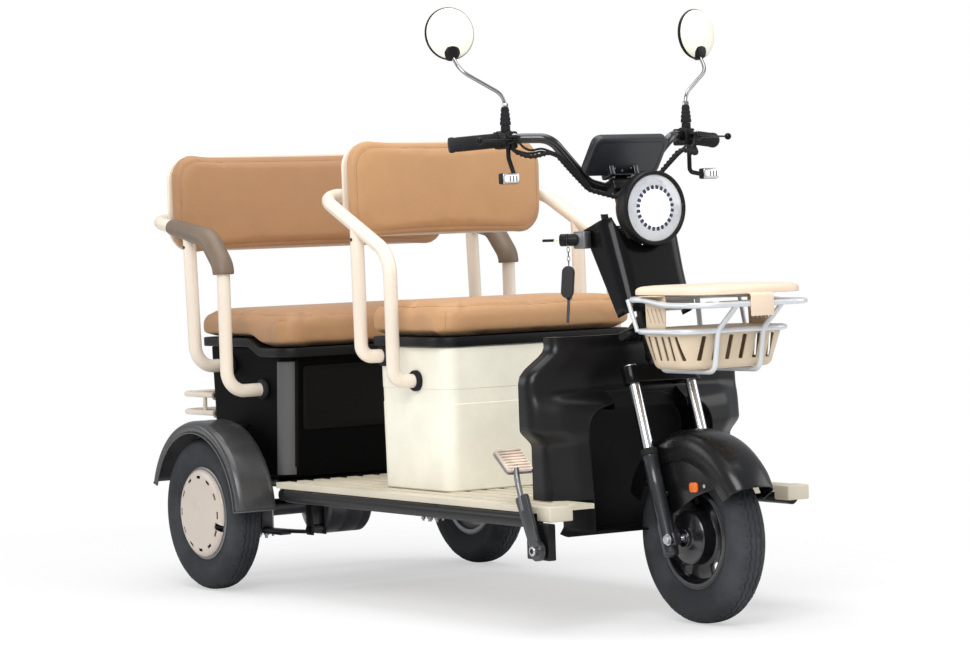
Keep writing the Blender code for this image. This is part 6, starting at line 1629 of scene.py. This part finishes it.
def fork():
    stem = [(0, 0.36), (0.021, 0.36), (0.021, 0.4045), (0.0145, 0.4047), (0.0145, 0.6903), (0.0205, 0.6906),
            (0.021, 0.6915), (0.021, 0.712), (0.02, 0.7138), (0.0145, 0.714), (0.0145, CLAMP), (0, CLAMP)]
    steerer = turned(stem, on_steer(0.0), UP, 48)
    yoke = rectangle((-0.02, -0.098), (0.0215, 0.098), 0.0195, 7)
    crown = moved(prism(yoke, 2, 0.352, 0.392, 0.0035, 3), steer_frame())
    relief = moved(prism(rectangle((-0.03, -0.04), (-0.01, 0.04), 0.009, 10), 2, 0.34, 0.4), steer_frame())
    piece("fork_crown", cut(crown, relief), GLOSS_BLACK, "steering", "fork_upper", 45)
    piece("fork_steerer", steerer, DARK_METAL, "steering")
    leg = [(0, 0.105), (0.0125, 0.105), (0.0125, 0.3515), (0, 0.3515)]
    cap = [(0, 0.3918), (0.015, 0.3918), (0.015, 0.3938), (0.0135, 0.3952), (0.006, 0.3952), (0.006, 0.393),
           (0, 0.393)]
    feet = [on_steer(0.0, side * LEG_SIDE) for side in (-1, 1)]
    piece("fork_tubes", [turned(leg, foot, UP, 48) for foot in feet], CHROME, "steering")
    piece("fork_bolts", [turned(cap, foot, UP, 40) for foot in feet], BOLT, "steering")
    for name, side in SIDES.items():
        y = side * LEG_SIDE
        outline = [(0, 0), (0.011, 0), (0.015, 0.0025), (0.0168, 0.007), (0.017, 0.012), (0.017, 0.15),
                   (0.0178, 0.156), (0.0178, 0.172), (0.017, 0.178), (0.017, 0.214), (0.0185, 0.219),
                   (0.0185, 0.2255), (0.0132, 0.2265), (0.0132, 0.075), (0, 0.075)]
        foot = on_steer(-0.034, y)
        leg = turned(outline, foot, UP, 56)
        lug = moved(block((-0.004, -0.0112, -0.0145), (0.0335, 0.0112, 0.0145), 0.005, 4),
                    steer_frame(0.0, y))
        hole = rod(FRONT_AXLE + Vector((0, y - 0.05, 0)), FRONT_AXLE + Vector((0, y + 0.05, 0)), 0.0064, 32)
        leg = cut(fused(leg, lug), hole)
        piece("fork_leg_" + name, leg, SLIDER_GREY, "fork_lower", "fork_slider_" + name, 40)
        seal = turned([(0.0131, 0.2268), (0.019, 0.2268), (0.0194, 0.229), (0.0192, 0.238), (0.0175, 0.2408),
                       (0.0142, 0.2418), (0.0131, 0.241)], foot, UP, 48, closed=True)
        piece("fork_seal_" + name, seal, RUBBER, "fork_lower")


def axle_bar():
    shapes = [rod(FRONT_AXLE - ACROSS * 0.1012, FRONT_AXLE + ACROSS * 0.1012, 0.0058, 32, bevel=0.0008)]
    for side in (-1, 1):
        out = ACROSS * side
        for inner, outer, radius, sides in ((0.0548, 0.0584, 0.01, 32), (0.0936, 0.095, 0.0125, 40)):
            shapes.append(turned([(0.0062, inner), (radius, inner), (radius, outer), (0.0062, outer)],
                                 FRONT_AXLE, out, sides, closed=True))
        shapes.append(hex_nut(FRONT_AXLE + out * 0.0951, out, 0.0098, 0.006))
    piece("front_axle_bar", shapes, BOLT, "fork_lower", "front_axle")


def mudguard():
    """Deep arched guard with a rolled lip, skirts down to the fork and a reflector each side."""
    half = 0.056
    section = [(0.166, half), (0.19, half), (0.206, half), (0.215, half - 0.005), (0.222, half - 0.0125),
               (0.227, half - 0.024), (0.2292, half - 0.038), (0.23, half - 0.048)]
    line = section + [(0.2302, 0.0)] + [(radius, -y) for radius, y in reversed(section)]
    rows = []
    for step in range(61):
        angle = math.radians(30 + 125 * step / 60)
        taper = 1.0 - 0.1 * smoother(step, 50, 60) ** 2 - 0.06 * smoother(60 - step, 54, 60)
        rows.append([Vector((FRONT_AXLE.x + radius * math.cos(angle), y * taper,
                             FRONT_AXLE.z + radius * math.sin(angle))) for radius, y in line])
    shell = thickened(joined(ribbon(rows)), -0.0024)
    corners = [(-0.122, 0.126), (-0.06, 0.18), (0.01, 0.196), (0.1, 0.16), (0.138, 0.118), (0.052, 0.092),
               (-0.028, 0.052), (-0.054, 0.05)]
    skirt = [(FRONT_AXLE.x + x, FRONT_AXLE.z + z)
             for x, z in rounded(corners, [0.004, 0.02, 0.04, 0.03, 0.008, 0.06, 0.014, 0.01], 10)]
    stays = []
    for side in (-1, 1):
        stays.append(prism(skirt, 1, *sorted((side * (half - 0.0024), side * half)), 0.0008))
        stays.append(rod(on_steer(0.105, side * (half - 0.001)), on_steer(0.105, side * 0.0587), 0.008, 32,
                         bevel=0.0006))
    arch = joined(softened(shell, 0.0008, 2, 55), *stays)
    piece("front_mudguard_arch", arch, ARCH_BLACK, "fork_lower", "front_mudguard", 45)
    outline = rectangle((-0.014, -0.0105), (0.014, 0.0105), 0.007, 15)
    lamps = [moved(prism(outline, 1, 0.0, side * 0.0045, 0.0012),
                   turned_at(FRONT_AXLE + Vector((0.05, side * half, 0.112)), -4)) for side in (-1, 1)]
    screws = [screw(FRONT_AXLE + Vector((0.084, side * half, 0.116)), ACROSS * side, 0.0045)
              for side in (-1, 1)]
    piece("front_reflectors", lamps, AMBER, "fork_lower")
    piece("front_mudguard_screws", screws, BOLT, "fork_lower")


# Handlebar and controls

GRIP_INNER = Vector((1.1335, 0.232, 1.0568))
GRIP_OUTER = Vector((1.081, 0.362, 1.047))
LEVER_PIVOT = Vector((0.038, 0, -0.001))
WRAP_TURNS = 62


def on_grip(share, side):
    point = GRIP_INNER.lerp(GRIP_OUTER, share)
    return Vector((point.x, side * point.y, point.z))


def grip_middle(side):
    return on_grip(0.11, side)


def bar_and_clamp():
    right = [(1.196, 0.0, 0.937), (1.18, -0.062, 0.955), (1.184, -0.165, 1.056), (1.14, -0.215, 1.058),
             (1.081, -0.362, 1.047)]
    corners = list(reversed(right)) + [(x, -y, z) for x, y, z in right[1:]]
    route = fillet(corners, [0, 0.09, 0.045, 0.05, 0.06, 0.05, 0.045, 0.09, 0], step=5)
    piece("handlebar_tube", tube(route, 0.011, 6), BAR_BLACK, "steering", "handlebar", 50)
    place = steer_frame(CLAMP)
    clamp = moved(block((-0.026, -0.028, 0.0003), (0.022, 0.028, 0.0298), 0.006, 4), place)
    seam = moved(block((-0.0275, -0.04, 0.014), (0.0235, 0.04, 0.0155)), place)
    inner = moved(block((-0.025, -0.027, 0.012), (0.021, 0.027, 0.0175), 0.002), place)
    piece("handlebar_clamp", joined(cut(clamp, seam), inner), FRAME_BLACK, "steering")
    heads = [moved(screw((x, y, 0.0298), (0, 0, 1), 0.004), place)
             for x in (-0.018, 0.014) for y in (-0.019, 0.019)]
    piece("clamp_screws", heads, BOLT, "steering")


def display():
    """Rounded display plate with a glass inset, on a bracket with two holes."""
    lean = Matrix.Rotation(math.atan2(0.06, 0.083), 4, "Y")
    place = Matrix.Translation((1.233, 0, 1.015)) @ lean
    body = prism(rectangle((-0.1, -0.05), (0.1, 0.05), 0.02, 8), 0, -0.01, 0.009, 0.0035, 4)
    groove = cut(prism(rectangle((-0.09, -0.04), (0.09, 0.04), 0.013, 10), 0, 0.008, 0.012),
                 prism(rectangle((-0.0885, -0.0385), (0.0885, 0.0385), 0.0118, 10), 0, 0.007, 0.013))
    sink = prism(rectangle((-0.08, -0.034), (0.08, 0.034), 0.008, 10), 0, -0.012, -0.0088)
    body = moved(cut(body, groove, sink), place)
    piece("display_body", body, DISPLAY_BLACK, "steering", "display_unit", 40)
    glass = prism(rectangle((-0.0795, -0.0335), (0.0795, 0.0335), 0.0075, 10), 0, -0.0096, -0.0086, 0.0004)
    piece("display_window", moved(glass, place), SCREEN, "steering")
    arms = [between((-0.003, side * 0.026, 0.0), (0.0355, side * 0.0395, 0.05), 0.003) for side in (-1, 1)]
    plate = block((0.0000, -0.0395, 0.0002), (0.034, 0.0395, 0.0036), 0.0012, 2)
    holes = [rod((-0.01, y, 0.026), (0.05, y, 0.026), 0.0042, 24) for y in (-0.0328, 0.0328)]
    bracket = cut(fused(*arms, plate), *holes)
    piece("display_bracket", moved(bracket, steer_frame(0.8206)), BAR_BLACK, "steering", sharp=40)
    tips = [moved(screw((0.0092, y, z), (1, 0, 0), 0.0028), place)
            for y, z in ((-0.022, -0.03), (0.022, -0.03), (0.0, -0.036))]
    piece("display_screws", tips, BOLT, "steering")


def cables():
    """Spiral-wrapped loom between the perches, with single cables leaving it on each side."""
    right = [(1.161, -0.2463, 1.0454), (1.161, -0.2463, 1.03), (1.196, -0.226, 1.014), (1.206, -0.172, 1.026),
             (1.203, -0.118, 0.975), (1.203, -0.08, 0.94)]
    route = fillet(right + [(1.252, 0.0, 0.912)] + [(x, -y, z) for x, y, z in reversed(right)], 0.03, step=6)
    core = tube(route, 0.004, 5)
    points = 900
    line = even_line(route, points)
    helix = []
    for index, point in enumerate(line):
        along = (line[min(index + 1, points - 1)] - line[max(index - 1, 0)]).normalized()
        first = along.cross(Vector((0.2, 0.1, 1.0))).normalized()
        second = along.cross(first)
        turn = index / points * 2 * math.pi * WRAP_TURNS
        helix.append(point + first * math.cos(turn) * 0.0044 + second * math.sin(turn) * 0.0044)
    piece("cable_loom_wrap", joined(core, tube(helix, 0.0014, 1)), RUBBER, "steering", "cable_loom", 60)
    singles = []
    for side in (-1, 1):
        middle = grip_middle(side)
        for x, y, z, ahead, drop in ((0.04, -0.004, -0.001, 0.0, 0.0), (0.014, 0.0, -0.019, 0.006, 0.006)):
            bend = [middle + Vector((x, side * y, z))]
            bend += [Vector((a, side * b, c - drop)) for a, b, c in (
                (1.182 + ahead, 0.226, 1.028), (1.197, 0.196, 1.034), (1.2135, 0.16, 1.018),
                (1.212, 0.118, 0.982), (1.21, 0.08, 0.9475))]
            singles.append(tube(fillet(bend, 0.028, step=6), 0.0026, 3))
    piece("control_cables", singles, RUBBER, "steering", sharp=60)


def switch_box(name, side):
    middle = grip_middle(side)

    def near(first, second, bevel=0.0, segments=3):
        return between(middle + Vector(first), middle + Vector(second), bevel, segments)

    barrel = rod(on_grip(0.0, side), on_grip(0.24, side), 0.0203, 48, bevel=0.002)
    box = near((-0.026, -side * 0.018, -0.02), (0.026, side * 0.009, 0.018), 0.0045, 4)
    perch = near((0.02, -0.01, -0.01), (0.046, 0.012, 0.008), 0.003)
    tools = [rod(on_grip(-0.3, side), on_grip(0.6, side), 0.0112, 32),
             near((0.028, -0.014, -0.0045), (0.05, 0.016, 0.0025))]
    if side > 0:
        floor = middle + Vector((-0.0215, -0.0115, 0))
        tools.append(rod(floor, floor - Vector((0.02, 0, 0)), 0.006, 32))
    shell = softened(cut(fused(barrel, box, perch), *tools), 0.0006, 2, 50)
    piece("switch_shell_" + name, shell, BLACK, "steering", "switch_housing_" + name, 40)
    bottom = middle + Vector((0.004, 0, 0))
    nut = [(0.0048, 0.017), (0.01, 0.017), (0.0105, 0.018), (0.0105, 0.029), (0.0095, 0.031), (0.0048, 0.031)]
    boot = [(0.0046, 0.0315), (0.0115, 0.0315), (0.0122, 0.0345)]
    for fold in range(3):
        height = 0.038 + fold * 0.0095
        shrink = fold * 0.001
        boot += [(0.012 - shrink, height), (0.0106 - shrink, height + 0.0035),
                 (0.0116 - shrink, height + 0.007)]
    boot += [(0.0075, 0.0712), (0.0046, 0.072)]
    rings = [turned(profile, bottom, (0, 0, 1), 40, closed=True) for profile in (nut, boot)]
    piece("mirror_boot_" + name, rings, RUBBER, "steering")
    head = [(0, 0.0094), (0.0052, 0.0094), (0.006, 0.01), (0.006, 0.0118), (0.005, 0.0128), (0.0022, 0.0128),
            (0.0018, 0.0118), (0, 0.0118)]
    piece("lever_pivot_" + name, turned(head, middle + LEVER_PIVOT, (0, 0, 1), 24), BOLT, "steering")


def grip_sleeve(name, side, body, node):
    first, second = on_grip(0.245, side), on_grip(1.0, side)
    length = (second - first).length
    outline = [(0.0115, 0), (0.0185, 0), (0.019, 0.001), (0.019, 0.0035), (0.0182, 0.0045), (0.0155, 0.006)]
    place = 0.0075
    while place < length - 0.016:
        outline += [(0.0158, place), (0.0164, place + 0.0008), (0.0164, place + 0.0026),
                    (0.0156, place + 0.0034)]
        place += 0.0046
    outline += [(0.016, length - 0.011), (0.0172, length - 0.0095), (0.0172, length - 0.003),
                (0.016, length), (0.0115, length)]
    piece(name, turned(outline, first, second - first, 56, closed=True), RUBBER, body, node, 35)
    end = turned([(0, -0.0022), (0.0108, -0.0022), (0.011, -0.0005), (0.0085, 0.001), (0, 0.0014)], second,
                 second - first, 40)
    piece(name + "_end", end, BLACK, body)


def brake_lever(name, side):
    middle = grip_middle(side)
    pivot = middle + LEVER_PIVOT
    tip = Vector((1.166, side * 0.338, 1.052))
    waist = pivot.lerp(tip, 0.35) + Vector((0.006, 0, 0))
    route = fillet([pivot, waist, tip], 0.06, step=3)
    count = len(route)
    radii = [1.0 + 0.25 * math.sin(math.pi * min(index / count * 1.4, 1.0)) - 0.12 * index / count
             for index in range(count)]
    flatten = Matrix.Translation(pivot) @ Matrix.Diagonal((1, 1, 0.5, 1)) @ Matrix.Translation(-pivot)
    blade = moved(tube(route, 0.0045, 8, radii=radii), flatten)
    eye = turned([(0.003, -0.0024), (0.007, -0.0024), (0.0075, -0.0018), (0.0075, 0.0018), (0.007, 0.0024),
                  (0.003, 0.0024)], pivot, (0, 0, 1), 40, closed=True)
    ball_profile = [(0.0078 * math.sin(math.pi * index / 16), -0.0078 * math.cos(math.pi * index / 16))
                    for index in range(17)]
    ball = turned(ball_profile, flatten @ tip, (0, 0, 1), 32)
    body = "brake_lever_" + name
    piece("lever_blade_" + name, joined(blade, eye, ball), GLOSS_BLACK, body, body, 50)


def rear_mirror(name, side):
    body = "mirror_" + name
    foot = grip_middle(side) + Vector((0.004, 0, 0.051))
    head = Vector((1.064, side * 0.338, 1.292))
    toe = math.radians(10)
    normal = Vector((math.cos(toe), side * math.sin(toe), 0.05)).normalized()
    joint = head + Vector((0.004, 0, -0.05))
    bend = joint.lerp(foot, 0.25) + Vector((0.012, side * 0.02, 0))
    stem = tube(fillet([foot, foot + Vector((0, 0, 0.045)), bend, joint], 0.06, step=4), 0.0042, 6)
    nut = turned([(0.0044, 0.021), (0.0074, 0.021), (0.0074, 0.026), (0.006, 0.029), (0.0044, 0.029)],
                 foot, (0, 0, 1), 6, closed=True)
    piece("mirror_stem_" + name, joined(stem, nut), STEM_CHROME_PAINTED_SHADE, body, body, 50)
    back = [(0, 0.011), (0.016, 0.0106), (0.03, 0.0094), (0.042, 0.007), (0.0505, 0.004), (0.0545, 0.0015),
            (0.0558, -0.001), (0.054, -0.003), (0, -0.003)]
    piece("mirror_back_" + name, turned(back, head, normal, 72), CREAM, body, sharp=50)
    lobe = [(0, 0.0122), (0.009, 0.012), (0.015, 0.0108), (0.0185, 0.008), (0.02, 0.003), (0.02, -0.006),
            (0, -0.006)]
    socket = turned(lobe, head + Vector((0, 0, -0.04)), normal, 48)
    piece("mirror_socket_" + name, socket, BLACK, body, sharp=50)
    rim = [(0.0545, -0.0014), (0.0565, -0.0015), (0.0578, -0.0035), (0.0582, -0.007), (0.057, -0.0092),
           (0.053, -0.0094), (0.0522, -0.008)]
    piece("mirror_rim_" + name, turned(rim, head, normal, 72, closed=True), BLACK, body, sharp=50)
    glass = [(0, -0.0062), (0.03, -0.0066), (0.052, -0.0078), (0.052, -0.005), (0, -0.005)]
    piece("mirror_glass_" + name, turned(glass, head, normal, 72), MIRROR_GLASS, body, sharp=50)


def signal(name, side):
    """Lamp block with a clear lens, chrome end and black base on a stalk."""
    top = grip_middle(side) + Vector((0.012, 0, -0.0203))
    drop, end = (0.02, (1.176, -0.256, 0.974)) if side < 0 else (0.06, (1.184, 0.252, 0.968))
    stalk = tube(fillet([top, top - Vector((0, 0, drop)), end], 0.012, step=8), 0.005, 5)
    y = side * 0.272
    base = block((1.166, y - 0.0215, 0.958), (1.185, y + 0.0215, 0.982), 0.004, 4)
    base = cut(base, block((1.1828, y - 0.0175, 0.9615), (1.19, y + 0.0175, 0.9785), 0.002, 2))
    piece("signal_base_" + name, joined(stalk, base), BLACK, "steering", "turn_signal_" + name, 50)
    lens = block((1.183, y - 0.017, 0.962), (1.195, y + 0.017, 0.978), 0.0045, 5)
    piece("signal_lens_" + name, lens, SIGNAL_WHITE, "steering", sharp=50)
    bars = [block((1.19, y + step - 0.0013, 0.964), (1.1955, y + step + 0.0013, 0.976), 0.0005, 1)
            for step in (-0.0085, 0.0, 0.0085)]
    piece("signal_bars_" + name, bars, BLACK, "steering")
    band = cut(block((1.1836, y - 0.0205, 0.959), (1.1872, y + 0.0205, 0.981), 0.0015, 3),
               block((1.17, y - 0.0172, 0.9618), (1.195, y + 0.0172, 0.9782), 0.004, 3))
    piece("signal_band_" + name, band, CHROME, "steering", sharp=50)


def buttons():
    middle = grip_middle(1)
    base = middle + Vector((-0.024, -0.0115, 0.0))
    horn = turned([(0, 0), (0.0054, 0), (0.0055, 0.001), (0.0055, 0.0055), (0.0048, 0.0067),
                   (0.002, 0.0064), (0, 0.0062)], base, (-1, 0, 0), 40)
    piece("horn_cap", horn, BROWN, "horn_button", "horn_button", 50)
    place = middle + Vector((-0.0263, 0.0015, 0.0))
    slider = block((-0.0049, -0.004, -0.004), (0, 0.004, 0.004), 0.0012)
    ridges = [block((-0.0055, y - 0.0005, -0.003), (-0.0044, y + 0.0005, 0.003), 0.0003, 1)
              for y in (-0.002, 0.0, 0.002)]
    piece("switch_slider", moved(joined(slider, *ridges), Matrix.Translation(place)), BROWN, "turn_switch",
          "turn_switch", 50)


# Foot brake

def foot_brake():
    pivot = Vector((1.386, -0.3705, 0.18))
    y = pivot.y
    boss = rod(pivot - ACROSS * 0.0065, pivot + ACROSS * 0.0065, 0.022, 56, bevel=0.0012)
    corners = [(1.404, 0.174), (1.372, 0.164), (1.312, 0.287), (1.352, 0.302)]
    outline = rounded(corners, [0.012, 0.012, 0.006, 0.01], 10)
    arm = prism(outline, 1, y - 0.0045, y + 0.0045, 0.0015, 3)
    hole = rod(pivot - ACROSS * 0.05, pivot + ACROSS * 0.05, 0.0056, 32)
    piece("pedal_arm", cut(fused(boss, arm), hole), SLIDER_GREY, "brake_pedal", "brake_pedal", 40)
    route = fillet([(1.34, y, 0.262), (1.318, y, 0.325), (1.276, -0.345, 0.352)], 0.03, step=5)
    bar = tube(route, 0.0065, 6)
    place = turned_at((1.262, -0.34, 0.366), -52)
    plate = prism(rectangle((-0.0345, -0.0365), (0.0345, 0.0365), 0.008, 12), 0, -0.01, -0.0062, 0.0012)
    piece("pedal_bar", joined(bar, moved(plate, place)), GREY_METAL, "brake_pedal", sharp=45)
    cushion = prism(rectangle((-0.032, -0.034), (0.032, 0.034), 0.006, 12), 0, -0.006, 0.002, 0.001, 2)
    ribs = [block((0.001, -0.0295, z - 0.0026), (0.006, 0.0295, z + 0.0026), 0.0016, 3)
            for z in (-0.027, -0.018, -0.009, 0.0, 0.009, 0.018, 0.027)]
    piece("pedal_pad", moved(joined(cushion, *ribs), place), PAD_GREY, "brake_pedal", sharp=45)
    collar = turned([(0.0058, 0.0), (0.01, 0.0), (0.0104, 0.001), (0.0104, 0.0075), (0.0092, 0.0088),
                     (0.0058, 0.0088)], pivot - ACROSS * 0.0068, (0, -1, 0), 40, closed=True)
    piece("pedal_collar", collar, BOLT, "brake_pedal")


def power_pack():
    cells = block((-0.095, -0.2, 0.2813), (0.175, 0.24, 0.47), 0.008, 3)
    straps = [cut(block((x - 0.012, -0.2015, 0.2815), (x + 0.012, 0.2415, 0.4715), 0.002, 2),
                  block((x - 0.02, -0.1998, 0.27), (x + 0.02, 0.2398, 0.4698))) for x in (-0.045, 0.125)]
    piece("battery_block", cells, BATTERY, "chassis", "battery_pack", 40)
    piece("battery_straps", straps, BLACK)
    case = block((-0.05, -0.24, 0.2813), (0.13, -0.2005, 0.44), 0.003, 2)
    fins = [block((x - 0.0012, -0.2515, 0.29), (x + 0.0012, -0.239, 0.432), 0.0005, 1)
            for x in (-0.042 + 0.0165 * index for index in range(11))]
    piece("controller_block", joined(case, *fins), GREY_METAL)


# Everything built in turn

for side_name, outward_side in SIDES.items():
    rear_wheel(side_name, outward_side)
    leaf_spring(side_name, outward_side)
    rear_mudguard(side_name, outward_side)
    switch_box(side_name, outward_side)
    brake_lever(side_name, outward_side)
    rear_mirror(side_name, outward_side)
    signal(side_name, outward_side)
front_wheel()
frame_tubes()
floor_plate()
axle_housing()
rear_rack()
front_box()
rear_box()
power_pack()
cushions()
backrest("front_back", 0.465, 0.27, 0.85, 1.075, "front_backrest", TAN)
backrest("rear_back", -0.165, 0.3965, 0.825, 1.064, "rear_backrest", TAN_PAINTED_SHADE)
front_rails()
rear_rails()
leg_shield()
front_panel()
headlight()
basket_tubes()
basket_bin()
lid()
lock_and_key()
fork()
axle_bar()
mudguard()
bar_and_clamp()
display()
cables()
grip_sleeve("left_grip_sleeve", 1, "steering", "left_grip")
grip_sleeve("throttle_sleeve", -1, "throttle", "throttle_grip")
buttons()
foot_brake()


# Floor, light and camera

SHADOW_LIFT = 0.5
PHOTO_WIDTH = 970
FOCAL_PIXELS = 3400
SENSOR_WIDTH = 36.0
CAMERA_PLACE = (7.319, -4.389, 0.892)
CAMERA_TURN = 56.65
CAMERA_TILT = 1.82
CAMERA_ROLL = -1.9


def add_node(tree, kind, **values):
    """New shader node with values for its named inputs."""
    made = tree.nodes.new(kind)
    for name, value in values.items():
        made.inputs[name.replace("_", " ")].default_value = value
    return made


def studio_floor():
    """Wide disc that takes the soft shadow and fades to plain white away from the vehicle."""
    shape = bmesh.new()
    bmesh.ops.create_circle(shape, cap_ends=True, segments=96, radius=14.0)
    bmesh.ops.translate(shape, vec=(0, 0, -0.0005), verts=shape.verts)
    ground = linked("studio_floor", mesh_of("studio_floor", shape))
    material = bpy.data.materials.new("studio_floor")
    material.use_nodes = True
    tree = material.node_tree
    shader = tree.nodes["Principled BSDF"]
    shader.inputs["Base Color"].default_value = (0.8, 0.8, 0.8, 1.0)
    shader.inputs["Roughness"].default_value = 0.9
    shader.inputs["Specular IOR Level"].default_value = 0.1
    white = add_node(tree, "ShaderNodeEmission", Color=(1.0, 1.0, 1.0, 1.0))
    path = add_node(tree, "ShaderNodeLightPath")
    place = add_node(tree, "ShaderNodeTexCoord")
    stretch = add_node(tree, "ShaderNodeMapping", Scale=(0.36, 0.62, 1.0))
    length = add_node(tree, "ShaderNodeVectorMath")
    length.operation = "LENGTH"
    edge = add_node(tree, "ShaderNodeMapRange", From_Min=0.45, From_Max=0.95, To_Min=SHADOW_LIFT)
    both = add_node(tree, "ShaderNodeMath")
    both.operation = "MULTIPLY"
    blend = add_node(tree, "ShaderNodeMixShader")
    for start, end in ((place.outputs["Object"], stretch.inputs["Vector"]),
                       (stretch.outputs["Vector"], length.inputs[0]),
                       (length.outputs["Value"], edge.inputs["Value"]),
                       (edge.outputs["Result"], both.inputs[0]),
                       (path.outputs["Is Camera Ray"], both.inputs[1]),
                       (both.outputs["Value"], blend.inputs["Fac"]),
                       (shader.outputs["BSDF"], blend.inputs[1]),
                       (white.outputs["Emission"], blend.inputs[2]),
                       (blend.outputs["Shader"], tree.nodes["Material Output"].inputs["Surface"])):
        tree.links.new(start, end)
    ground.data.materials.append(material)


def surroundings():
    """White behind the vehicle, softer light from all round it."""
    world = bpy.data.worlds.new("surroundings")
    bpy.context.scene.world = world
    world.use_nodes = True
    tree = world.node_tree
    tree.nodes.clear()
    path = add_node(tree, "ShaderNodeLightPath")
    seen = add_node(tree, "ShaderNodeBackground", Color=(1.0, 1.0, 1.0, 1.0), Strength=1.0)
    soft = add_node(tree, "ShaderNodeBackground", Color=(0.95, 0.97, 1.0, 1.0), Strength=0.55)
    mix = add_node(tree, "ShaderNodeMixShader")
    out = add_node(tree, "ShaderNodeOutputWorld")
    for start, end in ((path.outputs["Is Camera Ray"], mix.inputs["Fac"]),
                       (soft.outputs["Background"], mix.inputs[1]),
                       (seen.outputs["Background"], mix.inputs[2]),
                       (mix.outputs["Shader"], out.inputs["Surface"])):
        tree.links.new(start, end)


def soft_light(name, place, target, size, power):
    light = bpy.data.lights.new(name, "AREA")
    light.shape = "RECTANGLE"
    light.size = size[0]
    light.size_y = size[1]
    light.energy = power
    holder = linked(name, light)
    holder.location = place
    holder.rotation_euler = (Vector(target) - Vector(place)).to_track_quat("-Z", "Y").to_euler()


def camera():
    """View of the photo: where it stands, and its turn, tilt and roll in degrees."""
    azimuth = math.radians(CAMERA_TURN)
    elevation = math.radians(CAMERA_TILT)
    roll = math.radians(CAMERA_ROLL)
    back = Vector((math.sin(azimuth) * math.cos(elevation), -math.cos(azimuth) * math.cos(elevation),
                   math.sin(elevation)))
    level = Vector((math.cos(azimuth), math.sin(azimuth), 0.0))
    upright = back.cross(level)
    right = level * math.cos(roll) + upright * math.sin(roll)
    rise = upright * math.cos(roll) - level * math.sin(roll)
    lens = bpy.data.cameras.new("view")
    lens.sensor_width = SENSOR_WIDTH
    lens.sensor_fit = "HORIZONTAL"
    lens.lens = SENSOR_WIDTH * FOCAL_PIXELS / PHOTO_WIDTH
    lens.clip_end = 60
    holder = linked("view", lens)
    x, y, z = CAMERA_PLACE
    holder.matrix_world = axes_frame((x - CENTRE_X, y, z), right, rise, back)
    bpy.context.scene.camera = holder


studio_floor()
surroundings()
soft_light("key_light", (3.2, -3.0, 3.2), (0.2, 0, 0.5), (2.6, 2.6), 155)
soft_light("top_light", (0.0, 0.0, 4.2), (0.0, 0, 0.0), (4.0, 3.0), 110)
soft_light("fill_light", (2.4, 3.6, 2.2), (0.1, 0, 0.6), (2.5, 2.5), 45)
soft_light("side_light", (-3.0, -3.2, 2.0), (0.0, 0, 0.5), (2.5, 2.0), 30)
camera()
bpy.context.scene.view_settings.view_transform = "Standard"
